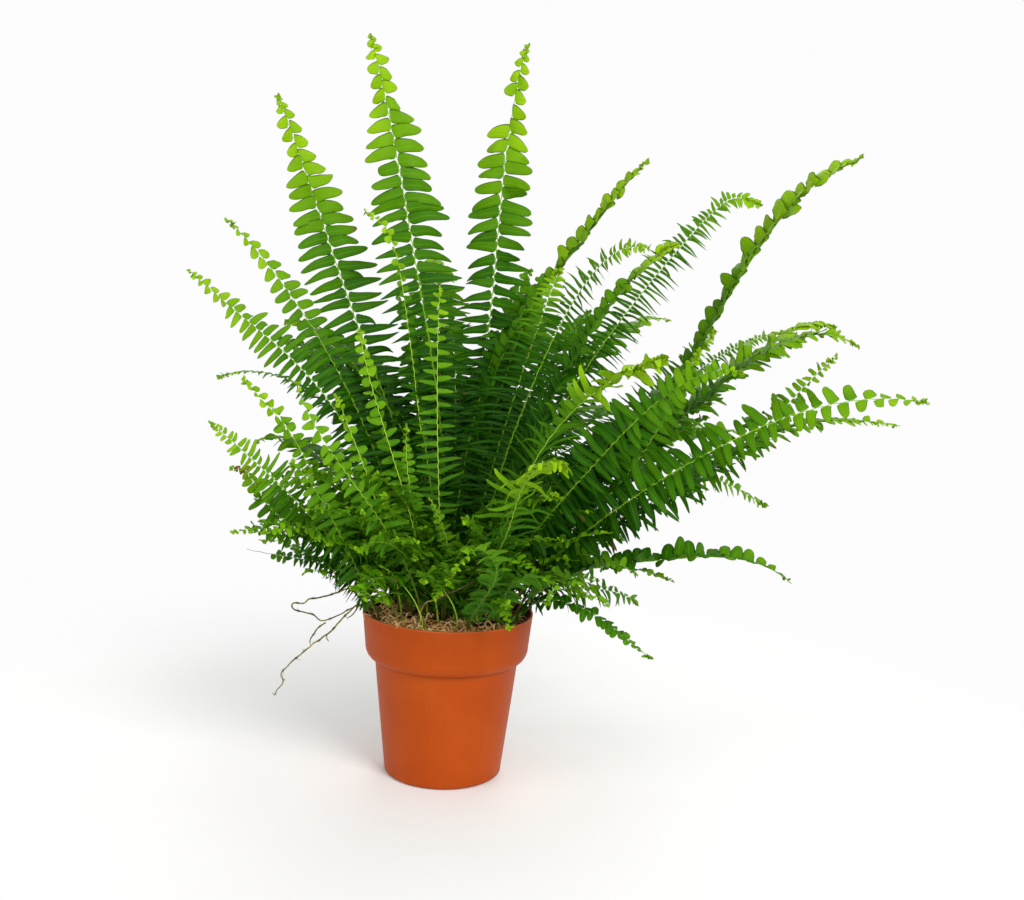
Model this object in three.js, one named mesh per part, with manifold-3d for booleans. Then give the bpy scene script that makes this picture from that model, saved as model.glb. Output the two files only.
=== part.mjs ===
// Potted sword fern: a tapered 12 cm nursery pot with a deep rim collar, the
// mounded growing medium inside it, a short rhizome crown, a rosette of pinnate
// fronds (each frond a stipe that widens into a long lanceolate blade) and the
// wiry stolons that hang over the rim.
// Units are millimetres, +Z is up, the origin is the centre of the pot's flat
// underside.
import * as THREE from 'three';
import { mergeVertices } from 'three/addons/utils/BufferGeometryUtils.js';
import Module from 'manifold-3d';

// ---------------------------------------------------------------- dimensions
const POT_HEIGHT = 115.2;      // base to lip
const RIM_RADIUS = 60.0;       // outside of the lip
const COLLAR_DEPTH = 24.0;     // straight part of the collar below the lip
const COLLAR_FOOT_RADIUS = 57.4; // outside of the collar where it starts to turn in
const SHOULDER_DROP = 33.0;    // lip to the crease where the collar meets the body
const BODY_TOP_RADIUS = 50.6;  // outside of the body just under the crease
const BASE_RADIUS = 41.2;      // outside of the body at the foot
const WALL = 1.3;              // wall thickness of body and collar
const LIP_WALL = 1.7;          // slightly thicker rolled lip
const FLOOR_THICKNESS = 1.8;   // pot floor
const FOOT_CHAMFER = 0.9;      // small bevel around the underside
const DRAIN_COUNT = 8;         // slots cut through the floor, inside the foot
const DRAIN_WIDTH = 5.0;
const DRAIN_LENGTH = 11.0;     // along the radius
const DRAIN_RADIUS = 29.0;     // from the pot's axis to the middle of a slot
const POT_SEGMENTS = 48;

const GAP = 0.35;              // clearance between touching pieces
const SOIL_CENTRE_HEIGHT = 112.0;
const SOIL_EDGE_DROP = 6.0;    // mound height from centre to wall
const SOIL_EDGE_RADIUS = 57.0;

const BLADE_CORE = 0.62;       // half thickness of a blade along its rachis
const STIPE_RADIUS = 0.9;
const STOLON_RADIUS = 0.65;
const CROWN_RADIUS = 5.2;
const CROWN_HEIGHT = 9.0;

// ------------------------------------------------------------------ material
const mat = (hex, roughness, metalness = 0) =>
  new THREE.MeshStandardMaterial({ color: hex, roughness, metalness });
const POT_MAT = mat(0xc1501a, 0.42);
const SOIL_MAT = mat(0x5a3a22, 0.95);
const CROWN_MAT = mat(0x6b5430, 0.9);
const STOLON_MAT = mat(0x7c7a3a, 0.75);
const FROND_MATS = {
  mature: mat(0x3f8a14, 0.55),
  deep: mat(0x1f6410, 0.6),
  young: mat(0x8fc41e, 0.5),
};

// ------------------------------------------------------- growth of the plant
// Where the rhizome crown stands on the growing medium.
const CROWN_XY = [-3.0, 2.5];

// Wiry stolons, each one or more strands of points; strands of one stolon are
// joined into one solid.
const STOLONS = [
  { name: 'stolon_loop', strands: [
    { steps: 44, k: 1, points: [[-42.0, -7.0, 111.0], [-50.0, -7.0, 114.5], [-58.5, -7.0, 119.0], [-68.7, -7.0, 128.5], [-78.3, -7.5, 125.4], [-89.3, -8.2, 121.8], [-96.8, -9.2, 120.7], [-100.3, -10.3, 117.9], [-106.8, -11.4, 117.9], [-108.2, -12.5, 116.0], [-105.5, -13.5, 113.5], [-97.8, -14.0, 111.9], [-92.2, -14.0, 110.7], [-88.1, -13.2, 107.1], [-83.4, -12.2, 107.1], [-75.2, -11.5, 110.8], [-67.8, -11.0, 115.3], [-59.3, -11.5, 119.0], [-53.0, -11.5, 114.8], [-44.5, -11.0, 110.8]] }] },
  { name: 'stolon_long', strands: [
    { steps: 44, k: 1, points: [[-45.0, -20.5, 110.4], [-50.0, -22.0, 113.5], [-55.2, -23.5, 119.4], [-61.1, -25.0, 121.9], [-66.3, -26.1, 117.1], [-70.8, -27.1, 112.3], [-78.6, -28.2, 103.1], [-85.1, -29.3, 98.2], [-92.3, -30.4, 92.6], [-101.4, -31.3, 84.1], [-106.6, -32.0, 78.5], [-109.5, -32.7, 75.8], [-110.4, -33.0, 73.0], [-109.0, -33.0, 69.6], [-109.6, -33.0, 66.4], [-113.1, -32.1, 62.1], [-114.6, -31.1, 58.1], [-116.5, -30.0, 59.1]] },
    { steps: 5, k: 0.75, points: [[-80.4, -28.5, 101.6], [-80.7, -29.1, 99.4], [-78.9, -29.5, 96.8]] },
    { steps: 12, k: 0.85, points: [[-83.9, -14.2, 105.7], [-88.0, -17.2, 103.2], [-90.9, -21.7, 99.7], [-92.1, -26.2, 97.1], [-91.9, -29.3, 95.2], [-91.1, -30.2, 93.6]] },
    { steps: 9, k: 0.9, points: [[-54.2, -23.2, 118.6], [-59.2, -24.3, 121.5], [-62.1, -24.4, 117.6], [-64.4, -24.7, 114.4], [-67.7, -25.0, 112.5]] }] },
  { name: 'stolon_front', strands: [
    { steps: 22, k: 1, points: [[-22.0, -50.0, 108.6], [-20.0, -50.5, 111.9], [-13.6, -51.0, 131.2], [-7.7, -51.0, 134.2], [-1.9, -51.0, 137.1], [3.9, -50.5, 139.6], [9.7, -50.0, 142.5], [16.1, -49.0, 145.9], [21.9, -48.0, 148.3], [25.2, -47.0, 147.5], [26.7, -46.0, 144.7]] }] },
];

// Fronds, station by station from the foot of the stipe to the tip:
// x, y, z of the rachis, the unit direction across the blade, half width to the
// left and half width to the right.
const FRONDS = [
  { name: 'frond_f1', tone: 'mature', stations: [
    [-6.0,14.0,112.7,0.955,0.279,-0.098,0.9,0.9], [-5.9,21.6,135.0,0.956,0.280,-0.088,0.9,0.9], [-6.4,29.6,158.1,0.957,0.284,-0.067,0.9,0.9],
    [-7.5,38.0,181.3,0.957,0.289,-0.038,7.2,7.2], [-9.4,46.0,204.6,0.955,0.296,0.000,24.1,21.6], [-12.1,52.8,228.2,0.951,0.304,0.048,30.8,25.2],
    [-15.6,58.0,251.7,0.946,0.311,0.096,31.0,30.1], [-19.8,61.7,275.2,0.940,0.314,0.133,31.0,30.2], [-24.5,64.8,298.4,0.937,0.315,0.153,31.0,31.0],
    [-29.5,68.0,321.3,0.935,0.315,0.161,31.0,31.0], [-34.7,71.6,344.2,0.936,0.314,0.161,31.0,31.0], [-39.8,75.2,367.2,0.936,0.314,0.159,30.6,30.6],
    [-44.9,78.7,390.2,0.936,0.313,0.161,29.5,29.5], [-50.0,82.2,413.2,0.935,0.313,0.167,24.7,24.7], [-55.4,85.4,436.3,0.933,0.312,0.178,22.6,22.6],
    [-60.9,88.3,459.4,0.931,0.310,0.193,18.1,18.1], [-66.8,90.9,482.5,0.927,0.308,0.212,9.1,9.1], [-73.1,93.1,505.6,0.923,0.306,0.235,8.5,8.5],
    [-79.8,95.0,528.5,0.921,0.302,0.247,1.6,1.6]] },
  { name: 'frond_f2', tone: 'mature', stations: [
    [4.0,19.0,111.9,0.986,-0.164,0.025,0.9,0.9], [4.7,26.9,133.6,0.986,-0.164,0.020,0.9,0.9], [5.9,35.7,155.9,0.986,-0.166,0.010,0.9,0.9],
    [7.3,45.1,178.3,0.986,-0.167,0.001,6.3,6.3], [9.0,54.6,201.0,0.985,-0.170,-0.011,21.0,21.0], [10.9,63.1,223.9,0.984,-0.174,-0.026,23.3,26.9],
    [13.0,69.9,247.1,0.983,-0.178,-0.039,27.0,27.0], [15.0,75.4,270.5,0.983,-0.180,-0.044,27.0,27.0], [16.9,80.0,293.8,0.982,-0.181,-0.044,27.0,27.0],
    [18.6,83.8,317.2,0.982,-0.182,-0.043,27.0,25.4], [20.1,86.3,340.4,0.982,-0.183,-0.040,27.0,25.4], [21.3,87.7,363.7,0.982,-0.184,-0.037,26.6,26.6],
    [22.3,88.8,386.8,0.982,-0.183,-0.038,25.7,25.7], [23.5,89.9,409.8,0.982,-0.182,-0.046,21.5,21.5], [24.9,91.2,432.9,0.982,-0.180,-0.062,19.7,19.7],
    [26.9,92.5,456.0,0.980,-0.176,-0.089,15.7,15.7], [29.5,93.7,479.0,0.977,-0.171,-0.125,7.9,7.9], [33.1,94.6,502.0,0.971,-0.166,-0.170,7.4,7.4],
    [37.8,95.0,524.8,0.968,-0.159,-0.196,1.4,1.4]] },
  { name: 'frond_f3', tone: 'mature', stations: [
    [-16.0,22.0,112.5,0.901,0.430,0.057,0.9,0.9], [-20.3,28.2,133.2,0.902,0.429,0.055,0.9,0.9], [-24.3,33.9,154.7,0.901,0.429,0.060,0.9,0.9],
    [-28.6,39.6,176.2,0.898,0.432,0.083,6.7,6.7], [-33.7,45.3,197.5,0.891,0.437,0.123,22.5,22.5], [-40.3,51.6,218.2,0.881,0.443,0.169,28.8,25.3],
    [-48.1,58.3,238.3,0.871,0.446,0.208,29.0,29.0], [-56.7,65.2,258.0,0.863,0.448,0.234,29.0,29.0], [-65.8,72.0,277.5,0.859,0.449,0.247,29.0,29.0],
    [-74.9,78.3,297.2,0.858,0.450,0.250,29.0,29.0], [-83.7,84.0,317.2,0.857,0.451,0.248,29.0,29.0], [-92.2,89.1,337.4,0.856,0.454,0.248,28.6,28.6],
    [-100.6,93.6,357.9,0.854,0.456,0.251,27.6,27.6], [-108.8,97.6,378.5,0.851,0.457,0.257,23.1,23.1], [-117.0,101.1,399.2,0.848,0.458,0.265,21.2,21.2],
    [-125.3,104.0,420.0,0.844,0.459,0.277,16.9,16.9], [-133.6,106.5,440.9,0.840,0.458,0.291,8.5,8.5], [-142.1,108.5,461.7,0.834,0.458,0.307,7.9,7.9],
    [-150.9,110.0,482.4,0.832,0.456,0.316,1.5,1.5]] },
  { name: 'frond_f4', tone: 'mature', stations: [
    [-27.0,14.0,111.3,0.851,0.522,0.056,0.9,0.9], [-30.1,17.1,128.3,0.848,0.525,0.070,0.9,0.9], [-33.9,20.5,145.6,0.842,0.531,0.099,0.9,0.9],
    [-38.4,24.0,162.7,0.834,0.536,0.130,6.0,6.0], [-43.7,27.5,179.5,0.826,0.540,0.160,19.6,19.6], [-49.7,31.2,196.0,0.819,0.543,0.186,24.0,24.0],
    [-56.3,35.3,212.2,0.813,0.544,0.208,24.0,24.0], [-63.6,39.8,228.1,0.806,0.544,0.233,24.0,24.0], [-71.6,44.5,243.7,0.796,0.546,0.263,23.2,23.2],
    [-80.1,48.9,259.0,0.782,0.548,0.298,20.8,20.8], [-89.2,53.0,274.2,0.766,0.549,0.333,18.5,18.5], [-98.7,56.6,289.2,0.749,0.550,0.368,16.9,16.9],
    [-108.7,59.7,304.0,0.732,0.550,0.402,15.4,15.4], [-119.2,62.4,318.5,0.713,0.549,0.436,13.7,13.7], [-130.1,64.7,332.7,0.694,0.547,0.468,11.7,11.7],
    [-141.5,66.6,346.7,0.675,0.543,0.500,9.3,9.3], [-153.3,68.0,360.3,0.650,0.538,0.537,6.5,6.5], [-165.7,69.2,373.4,0.615,0.532,0.583,3.9,3.9],
    [-179.0,70.0,385.7,0.595,0.523,0.610,1.2,1.2]] },
  { name: 'frond_f5', tone: 'mature', stations: [
    [-35.0,6.0,111.3,0.742,0.669,0.027,0.9,0.9], [-37.8,8.4,126.7,0.738,0.673,0.043,0.9,0.9], [-41.1,10.7,142.7,0.730,0.679,0.076,0.9,0.9],
    [-45.0,12.7,158.5,0.721,0.685,0.108,4.8,4.8], [-49.6,14.6,174.0,0.711,0.689,0.138,15.8,15.8], [-54.9,16.7,189.4,0.702,0.693,0.166,20.4,20.4],
    [-61.0,19.0,204.3,0.689,0.696,0.201,21.4,21.4], [-68.0,21.2,219.0,0.671,0.700,0.246,22.0,22.0], [-76.0,23.2,233.2,0.645,0.703,0.299,22.0,22.0],
    [-84.9,24.8,246.8,0.614,0.705,0.357,22.0,22.0], [-94.9,26.1,259.8,0.576,0.704,0.416,22.0,22.0], [-105.8,27.1,272.0,0.534,0.702,0.472,21.9,21.9],
    [-117.6,27.6,283.4,0.494,0.698,0.518,20.1,20.1], [-130.1,27.9,294.1,0.463,0.694,0.551,17.7,17.7], [-142.9,27.9,304.3,0.441,0.691,0.573,14.9,14.9],
    [-155.9,27.5,314.3,0.429,0.689,0.584,11.5,11.5], [-168.8,27.0,324.4,0.426,0.690,0.585,7.9,7.9], [-181.5,26.1,334.7,0.434,0.692,0.577,5.3,5.3],
    [-193.8,25.0,345.5,0.439,0.695,0.569,1.3,1.3]] },
  { name: 'frond_f6', tone: 'mature', stations: [
    [-40.0,26.0,109.0,0.103,0.979,-0.176,0.9,0.9], [-43.3,28.8,122.1,0.105,0.977,-0.183,0.9,0.9], [-46.2,31.8,135.6,0.107,0.976,-0.189,0.9,0.9],
    [-49.1,34.6,148.9,0.108,0.976,-0.188,4.4,4.4], [-52.0,37.5,162.1,0.114,0.973,-0.203,14.3,12.7], [-55.4,40.8,175.0,0.132,0.960,-0.246,18.6,12.7],
    [-59.3,45.0,187.5,0.161,0.940,-0.300,19.5,18.0], [-64.1,50.2,199.6,0.193,0.924,-0.331,20.0,20.0], [-70.0,55.8,211.4,0.219,0.919,-0.327,20.0,20.0],
    [-77.0,61.4,222.7,0.236,0.926,-0.293,20.0,20.0], [-85.3,66.7,233.4,0.251,0.935,-0.249,20.0,20.0], [-95.0,71.7,243.3,0.274,0.938,-0.210,19.9,16.8],
    [-106.0,77.0,252.3,0.301,0.939,-0.168,18.3,16.8], [-118.2,82.2,260.0,0.305,0.946,-0.107,16.1,16.1], [-131.6,86.8,266.2,0.273,0.962,-0.026,13.5,13.5],
    [-145.7,90.2,270.4,0.209,0.976,0.061,10.4,10.4], [-160.3,92.6,272.0,0.129,0.982,0.137,7.2,7.2], [-174.9,94.0,270.8,0.046,0.980,0.192,4.8,4.8],
    [-188.8,95.0,266.4,-0.006,0.971,0.238,1.2,1.2]] },
  { name: 'frond_f7', tone: 'mature', stations: [
    [-46.0,-15.0,109.4,0.779,0.463,0.423,0.9,0.9], [-49.0,-19.7,119.5,0.725,0.465,0.508,0.9,0.9], [-52.3,-24.4,126.6,0.672,0.456,0.583,1.7,1.7],
    [-56.0,-29.3,135.1,0.659,0.483,0.576,10.9,10.9], [-60.0,-34.3,143.5,0.634,0.484,0.603,17.4,17.4], [-64.2,-39.2,151.8,0.610,0.486,0.626,18.6,18.6],
    [-68.8,-44.1,159.8,0.587,0.489,0.645,19.5,19.5], [-73.7,-49.0,167.8,0.566,0.492,0.661,20.0,20.0], [-78.9,-53.7,175.6,0.548,0.495,0.674,20.0,20.0],
    [-84.4,-58.3,183.3,0.532,0.498,0.685,20.0,20.0], [-90.2,-62.7,190.9,0.519,0.501,0.692,20.0,20.0], [-96.3,-66.8,198.4,0.509,0.505,0.698,19.9,19.9],
    [-102.7,-70.7,205.8,0.501,0.508,0.700,18.3,18.3], [-109.4,-74.2,213.1,0.497,0.511,0.701,16.1,16.1], [-116.4,-77.3,220.3,0.495,0.514,0.700,13.5,13.5],
    [-123.7,-80.0,227.4,0.496,0.517,0.697,10.4,10.4], [-131.2,-82.2,234.5,0.500,0.520,0.693,7.2,7.2], [-138.9,-83.9,241.4,0.507,0.522,0.686,4.8,4.8],
    [-146.9,-85.0,248.2,0.510,0.523,0.683,1.2,1.2]] },
  { name: 'frond_f7b', tone: 'mature', stations: [
    [-52.0,-1.0,107.7,-0.663,0.273,0.697,0.9,0.9], [-54.1,-7.3,120.0,-0.287,0.324,0.901,0.9,0.9], [-56.4,-13.6,122.6,0.243,0.565,0.789,1.6,1.6],
    [-58.8,-19.7,130.2,0.512,0.582,0.632,10.3,7.1], [-61.6,-25.2,137.6,0.563,0.538,0.628,16.6,7.1], [-65.0,-29.8,144.5,0.539,0.542,0.645,17.6,17.6],
    [-69.1,-33.7,151.0,0.484,0.554,0.678,18.5,18.5], [-73.8,-37.4,157.0,0.412,0.558,0.720,19.0,19.0], [-79.4,-41.0,162.5,0.337,0.556,0.760,19.0,19.0],
    [-85.8,-44.3,167.3,0.291,0.558,0.777,19.0,19.0], [-92.6,-47.1,171.8,0.300,0.569,0.766,19.0,18.2], [-99.7,-49.2,176.4,0.361,0.586,0.726,18.9,18.2],
    [-106.6,-50.5,181.6,0.464,0.601,0.650,17.4,17.4], [-113.1,-50.9,187.6,0.571,0.607,0.554,15.3,15.3], [-118.9,-50.6,194.3,0.640,0.605,0.475,12.9,12.9],
    [-124.2,-50.1,201.5,0.669,0.605,0.433,9.9,9.9], [-129.1,-49.8,208.9,0.635,0.615,0.467,6.8,6.8], [-134.7,-50.0,215.7,0.349,0.584,0.733,4.6,4.6],
    [-143.3,-50.0,215.8,0.014,0.500,0.866,1.1,1.1]] },
  { name: 'frond_f8', tone: 'young', stations: [
    [-35.0,-12.0,110.2,0.751,0.585,0.308,0.9,0.9], [-39.0,-11.9,119.4,0.730,0.593,0.339,0.9,0.9], [-43.7,-12.2,128.8,0.694,0.599,0.399,0.9,0.9],
    [-48.9,-12.9,138.0,0.658,0.602,0.451,3.2,3.2], [-54.5,-14.1,147.2,0.623,0.601,0.501,4.7,10.3], [-60.3,-16.3,156.3,0.595,0.597,0.538,13.0,13.0],
    [-66.1,-19.2,165.5,0.583,0.595,0.554,12.9,12.9], [-71.9,-22.1,174.8,0.588,0.595,0.548,12.6,12.6], [-77.6,-24.9,184.1,0.604,0.597,0.528,12.2,12.2],
    [-83.1,-27.4,193.6,0.627,0.600,0.496,11.7,11.7], [-88.3,-29.6,203.3,0.653,0.604,0.458,11.1,11.1], [-93.3,-31.3,213.2,0.670,0.606,0.429,10.4,10.4],
    [-98.3,-32.5,223.0,0.674,0.607,0.422,9.6,9.6], [-103.8,-33.1,232.6,0.663,0.607,0.439,8.8,8.8], [-110.0,-33.2,241.7,0.635,0.605,0.480,7.8,7.8],
    [-117.2,-32.9,250.1,0.605,0.604,0.519,6.8,6.8], [-124.9,-32.2,257.9,0.596,0.604,0.529,5.9,5.9], [-132.6,-31.3,265.6,0.619,0.602,0.505,4.7,4.7],
    [-139.9,-30.0,273.7,0.637,0.602,0.482,1.9,1.9]] },
  { name: 'frond_f8b', tone: 'young', stations: [
    [-15.0,-34.0,110.0,0.874,0.416,0.251,0.9,0.9], [-15.9,-38.2,119.5,0.853,0.432,0.293,0.9,0.9], [-17.5,-42.5,129.3,0.822,0.438,0.363,0.9,0.9],
    [-19.8,-47.0,139.0,0.787,0.449,0.423,0.9,0.9], [-22.7,-51.4,148.5,0.752,0.461,0.471,9.3,7.4], [-26.2,-55.6,157.7,0.719,0.471,0.511,15.0,15.0],
    [-30.2,-59.8,166.8,0.687,0.476,0.549,12.8,15.0], [-34.7,-64.3,175.8,0.658,0.479,0.581,15.0,15.0], [-39.5,-68.9,184.7,0.635,0.482,0.604,14.5,14.5],
    [-44.6,-73.5,193.6,0.621,0.486,0.615,13.0,13.0], [-50.1,-77.7,202.4,0.613,0.492,0.618,11.6,11.6], [-55.9,-81.6,211.2,0.613,0.496,0.615,10.6,10.6],
    [-61.8,-85.0,219.9,0.620,0.501,0.603,9.6,9.6], [-67.9,-87.9,228.8,0.638,0.506,0.581,8.5,8.5], [-73.8,-90.3,237.8,0.665,0.510,0.546,7.3,7.3],
    [-79.5,-92.2,247.0,0.700,0.514,0.496,5.8,5.8], [-84.8,-93.6,256.6,0.739,0.518,0.431,4.1,4.1], [-89.3,-94.6,266.6,0.779,0.520,0.349,2.4,2.4],
    [-93.0,-95.0,277.0,0.799,0.519,0.304,0.9,0.9]] },
  { name: 'frond_f8c', tone: 'young', stations: [
    [-30.0,-22.0,110.1,0.821,0.476,0.315,0.9,0.9], [-30.5,-26.9,118.2,0.812,0.483,0.327,0.9,0.9], [-31.2,-31.7,127.0,0.802,0.487,0.346,0.9,0.9],
    [-32.2,-36.6,135.8,0.791,0.492,0.364,2.7,2.7], [-33.3,-41.4,144.7,0.781,0.500,0.374,8.7,7.9], [-34.8,-45.8,153.5,0.774,0.514,0.370,11.0,7.9],
    [-36.5,-49.3,162.2,0.770,0.529,0.356,11.0,8.8], [-38.5,-52.1,170.9,0.768,0.542,0.342,10.7,10.7], [-40.7,-54.3,179.6,0.764,0.549,0.339,10.3,10.3],
    [-43.2,-56.2,188.3,0.759,0.553,0.343,9.9,9.9], [-45.9,-58.0,197.0,0.756,0.557,0.345,9.4,9.4], [-48.8,-59.6,205.8,0.754,0.560,0.344,8.8,8.8],
    [-51.8,-60.8,214.7,0.753,0.563,0.341,8.1,8.1], [-55.1,-61.8,223.5,0.753,0.565,0.338,7.4,7.4], [-58.5,-62.5,232.3,0.754,0.567,0.333,6.6,6.6],
    [-62.1,-62.9,241.1,0.755,0.568,0.327,5.8,5.8], [-65.8,-63.0,249.9,0.758,0.568,0.320,5.0,5.0], [-69.6,-62.7,258.7,0.762,0.568,0.310,4.0,4.0],
    [-73.6,-62.0,267.3,0.765,0.568,0.305,1.6,1.6]] },
  { name: 'frond_f8d', tone: 'mature', stations: [
    [-44.0,-26.0,108.4,-0.630,0.323,0.706,0.9,0.9], [-46.0,-29.9,119.5,-0.248,0.352,0.903,0.9,0.9], [-48.0,-34.1,121.6,0.349,0.589,0.729,1.4,1.4],
    [-49.9,-38.5,128.3,0.618,0.559,0.552,9.3,9.3], [-51.9,-43.0,134.9,0.683,0.491,0.541,14.8,14.8], [-53.9,-47.5,141.4,0.692,0.474,0.544,15.8,15.8],
    [-55.9,-52.2,148.0,0.687,0.472,0.552,16.6,16.6], [-57.9,-56.9,154.5,0.681,0.473,0.559,17.0,17.0], [-60.1,-61.6,161.1,0.676,0.476,0.563,17.0,17.0],
    [-62.4,-66.1,167.6,0.672,0.482,0.562,17.0,16.2], [-64.8,-70.4,174.2,0.670,0.490,0.558,17.0,16.2], [-67.4,-74.3,180.8,0.669,0.498,0.552,16.9,16.9],
    [-70.2,-77.9,187.6,0.666,0.506,0.548,15.6,15.6], [-73.2,-81.3,194.3,0.661,0.514,0.546,13.7,13.7], [-76.5,-84.4,201.2,0.650,0.522,0.553,11.5,11.5],
    [-80.2,-87.0,208.0,0.633,0.528,0.566,8.9,8.9], [-84.4,-89.2,214.7,0.610,0.533,0.586,6.1,6.1], [-89.3,-90.9,221.0,0.583,0.536,0.611,4.1,4.1],
    [-94.8,-92.0,227.0,0.566,0.539,0.624,1.0,1.0]] },
  { name: 'frond_ya', tone: 'young', stations: [
    [-13.0,-20.0,112.7,0.929,0.330,0.171,0.9,0.9], [-13.6,-24.0,123.2,0.921,0.339,0.190,0.9,0.9], [-14.6,-27.9,134.2,0.912,0.346,0.220,0.9,0.9],
    [-16.1,-31.3,145.1,0.903,0.355,0.243,2.9,0.9], [-18.0,-34.3,155.9,0.894,0.364,0.262,9.3,2.1], [-20.3,-36.7,166.7,0.886,0.370,0.280,9.9,10.6],
    [-22.8,-39.1,177.5,0.878,0.375,0.299,11.9,11.2], [-25.7,-41.4,188.4,0.870,0.378,0.316,11.7,11.7], [-28.7,-43.7,199.3,0.865,0.380,0.327,11.3,11.3],
    [-31.9,-45.8,210.2,0.862,0.382,0.333,10.8,10.8], [-35.4,-47.7,221.1,0.861,0.384,0.332,10.3,10.3], [-38.9,-49.1,232.0,0.863,0.386,0.327,9.6,9.6],
    [-42.5,-50.1,242.9,0.866,0.387,0.316,8.9,8.9], [-46.1,-50.7,253.8,0.872,0.387,0.300,8.1,8.1], [-49.7,-50.8,264.7,0.878,0.387,0.281,7.2,7.2],
    [-53.2,-50.6,275.7,0.886,0.387,0.256,6.3,6.3], [-56.4,-50.1,286.7,0.894,0.387,0.227,5.4,5.4], [-59.4,-49.2,297.8,0.902,0.386,0.194,4.3,4.3],
    [-62.1,-48.0,309.0,0.906,0.386,0.175,1.8,1.8]] },
  { name: 'frond_yt', tone: 'young', stations: [
    [-12.0,31.0,111.2,0.905,0.418,0.073,0.9,0.9], [-13.3,30.9,127.4,0.904,0.420,0.080,0.9,0.9], [-14.8,30.7,144.0,0.902,0.422,0.092,0.9,0.9],
    [-16.5,30.4,160.5,0.901,0.423,0.098,2.4,2.4], [-18.3,30.5,176.8,0.900,0.424,0.097,7.9,3.4], [-20.3,31.2,193.0,0.901,0.425,0.090,10.0,7.7],
    [-22.5,32.6,209.0,0.901,0.425,0.087,10.0,10.0], [-24.8,34.2,224.9,0.900,0.426,0.089,9.7,9.7], [-27.3,35.9,240.9,0.900,0.426,0.094,9.4,9.4],
    [-29.8,37.6,256.9,0.899,0.427,0.100,9.0,9.0], [-32.4,39.2,272.9,0.898,0.427,0.108,8.6,8.6], [-35.0,40.5,288.9,0.896,0.428,0.117,8.0,8.0],
    [-37.8,41.6,305.0,0.894,0.428,0.130,7.4,7.4], [-40.6,42.5,321.0,0.892,0.428,0.145,6.7,6.7], [-43.7,43.0,337.1,0.889,0.427,0.164,6.0,6.0],
    [-46.9,43.2,353.2,0.880,0.425,0.211,5.2,5.2], [-51.4,43.2,368.9,0.837,0.416,0.355,4.5,4.5], [-59.4,42.7,383.2,0.679,0.388,0.623,3.6,3.6],
    [-72.5,42.0,392.7,0.537,0.347,0.769,1.5,1.5]] },
  { name: 'frond_yu', tone: 'young', stations: [
    [-3.0,-8.0,113.0,0.973,0.209,0.097,0.9,0.9], [-3.7,-10.4,124.9,0.973,0.209,0.097,0.9,0.9], [-4.5,-12.7,137.3,0.973,0.209,0.096,0.9,0.9],
    [-5.2,-14.8,149.8,0.973,0.210,0.094,0.9,0.9], [-6.0,-16.7,162.3,0.973,0.210,0.091,0.9,0.9], [-6.8,-18.5,174.9,0.974,0.210,0.088,3.2,3.2],
    [-7.6,-20.0,187.5,0.974,0.210,0.083,13.1,13.1], [-8.3,-21.4,200.1,0.975,0.210,0.078,17.5,17.5], [-9.0,-22.5,212.7,0.975,0.209,0.072,16.9,16.9],
    [-9.7,-23.4,225.3,0.976,0.209,0.065,16.2,16.2], [-10.4,-24.2,238.0,0.976,0.209,0.058,15.4,15.4], [-11.0,-24.7,250.7,0.977,0.208,0.049,14.4,14.4],
    [-11.5,-25.0,263.4,0.977,0.208,0.040,13.3,13.3], [-11.9,-25.1,276.0,0.978,0.207,0.030,12.1,12.1], [-12.3,-24.9,288.7,0.978,0.207,0.019,10.8,10.8],
    [-12.5,-24.6,301.4,0.978,0.207,0.008,9.4,9.4], [-12.7,-24.0,314.1,0.978,0.206,-0.005,8.1,8.1], [-12.7,-23.1,326.8,0.978,0.206,-0.018,6.5,6.5],
    [-12.6,-22.0,339.4,0.978,0.206,-0.025,2.7,2.7]] },
  { name: 'frond_f9', tone: 'mature', stations: [
    [-51.0,9.0,107.9,-0.333,0.837,0.434,0.9,0.9], [-52.9,8.3,119.5,-0.282,0.852,0.441,0.9,0.9], [-55.4,7.5,119.5,0.073,0.921,0.384,4.1,4.1],
    [-58.8,6.8,124.0,0.228,0.922,0.314,7.4,7.4], [-62.8,6.2,128.7,0.235,0.905,0.354,7.8,7.8], [-67.5,5.7,132.7,0.200,0.903,0.380,8.3,8.3],
    [-72.7,5.3,136.1,0.166,0.904,0.394,8.8,8.8], [-78.3,5.0,138.8,0.140,0.904,0.404,9.0,9.0], [-84.1,4.9,141.0,0.122,0.902,0.413,9.0,9.0],
    [-90.0,4.8,142.7,0.111,0.900,0.421,9.0,9.0], [-96.1,4.9,144.1,0.105,0.898,0.427,9.0,9.0], [-102.2,5.1,145.1,0.104,0.896,0.432,9.0,9.0],
    [-108.3,5.4,146.0,0.108,0.894,0.436,8.2,8.2], [-114.5,5.8,146.7,0.116,0.892,0.437,7.3,7.3], [-120.7,6.4,147.3,0.130,0.890,0.436,6.1,6.1],
    [-126.8,7.0,147.9,0.150,0.889,0.433,4.7,4.7], [-132.9,7.8,148.5,0.176,0.888,0.425,3.2,3.2], [-139.0,8.8,149.2,0.211,0.885,0.415,2.2,2.2],
    [-145.0,10.0,150.1,0.231,0.885,0.405,0.9,0.9]] },
  { name: 'frond_f10', tone: 'mature', stations: [
    [-46.0,18.0,109.1,0.388,0.918,-0.086,0.9,0.9], [-50.2,20.8,119.5,0.494,0.866,-0.071,0.9,0.9], [-54.8,23.9,119.5,0.564,0.826,-0.002,3.7,3.7],
    [-59.7,27.3,120.6,0.567,0.824,0.001,6.5,6.5], [-64.7,30.7,123.6,0.562,0.827,-0.008,7.0,7.0], [-70.0,34.3,126.1,0.558,0.830,-0.005,7.4,7.4],
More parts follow.
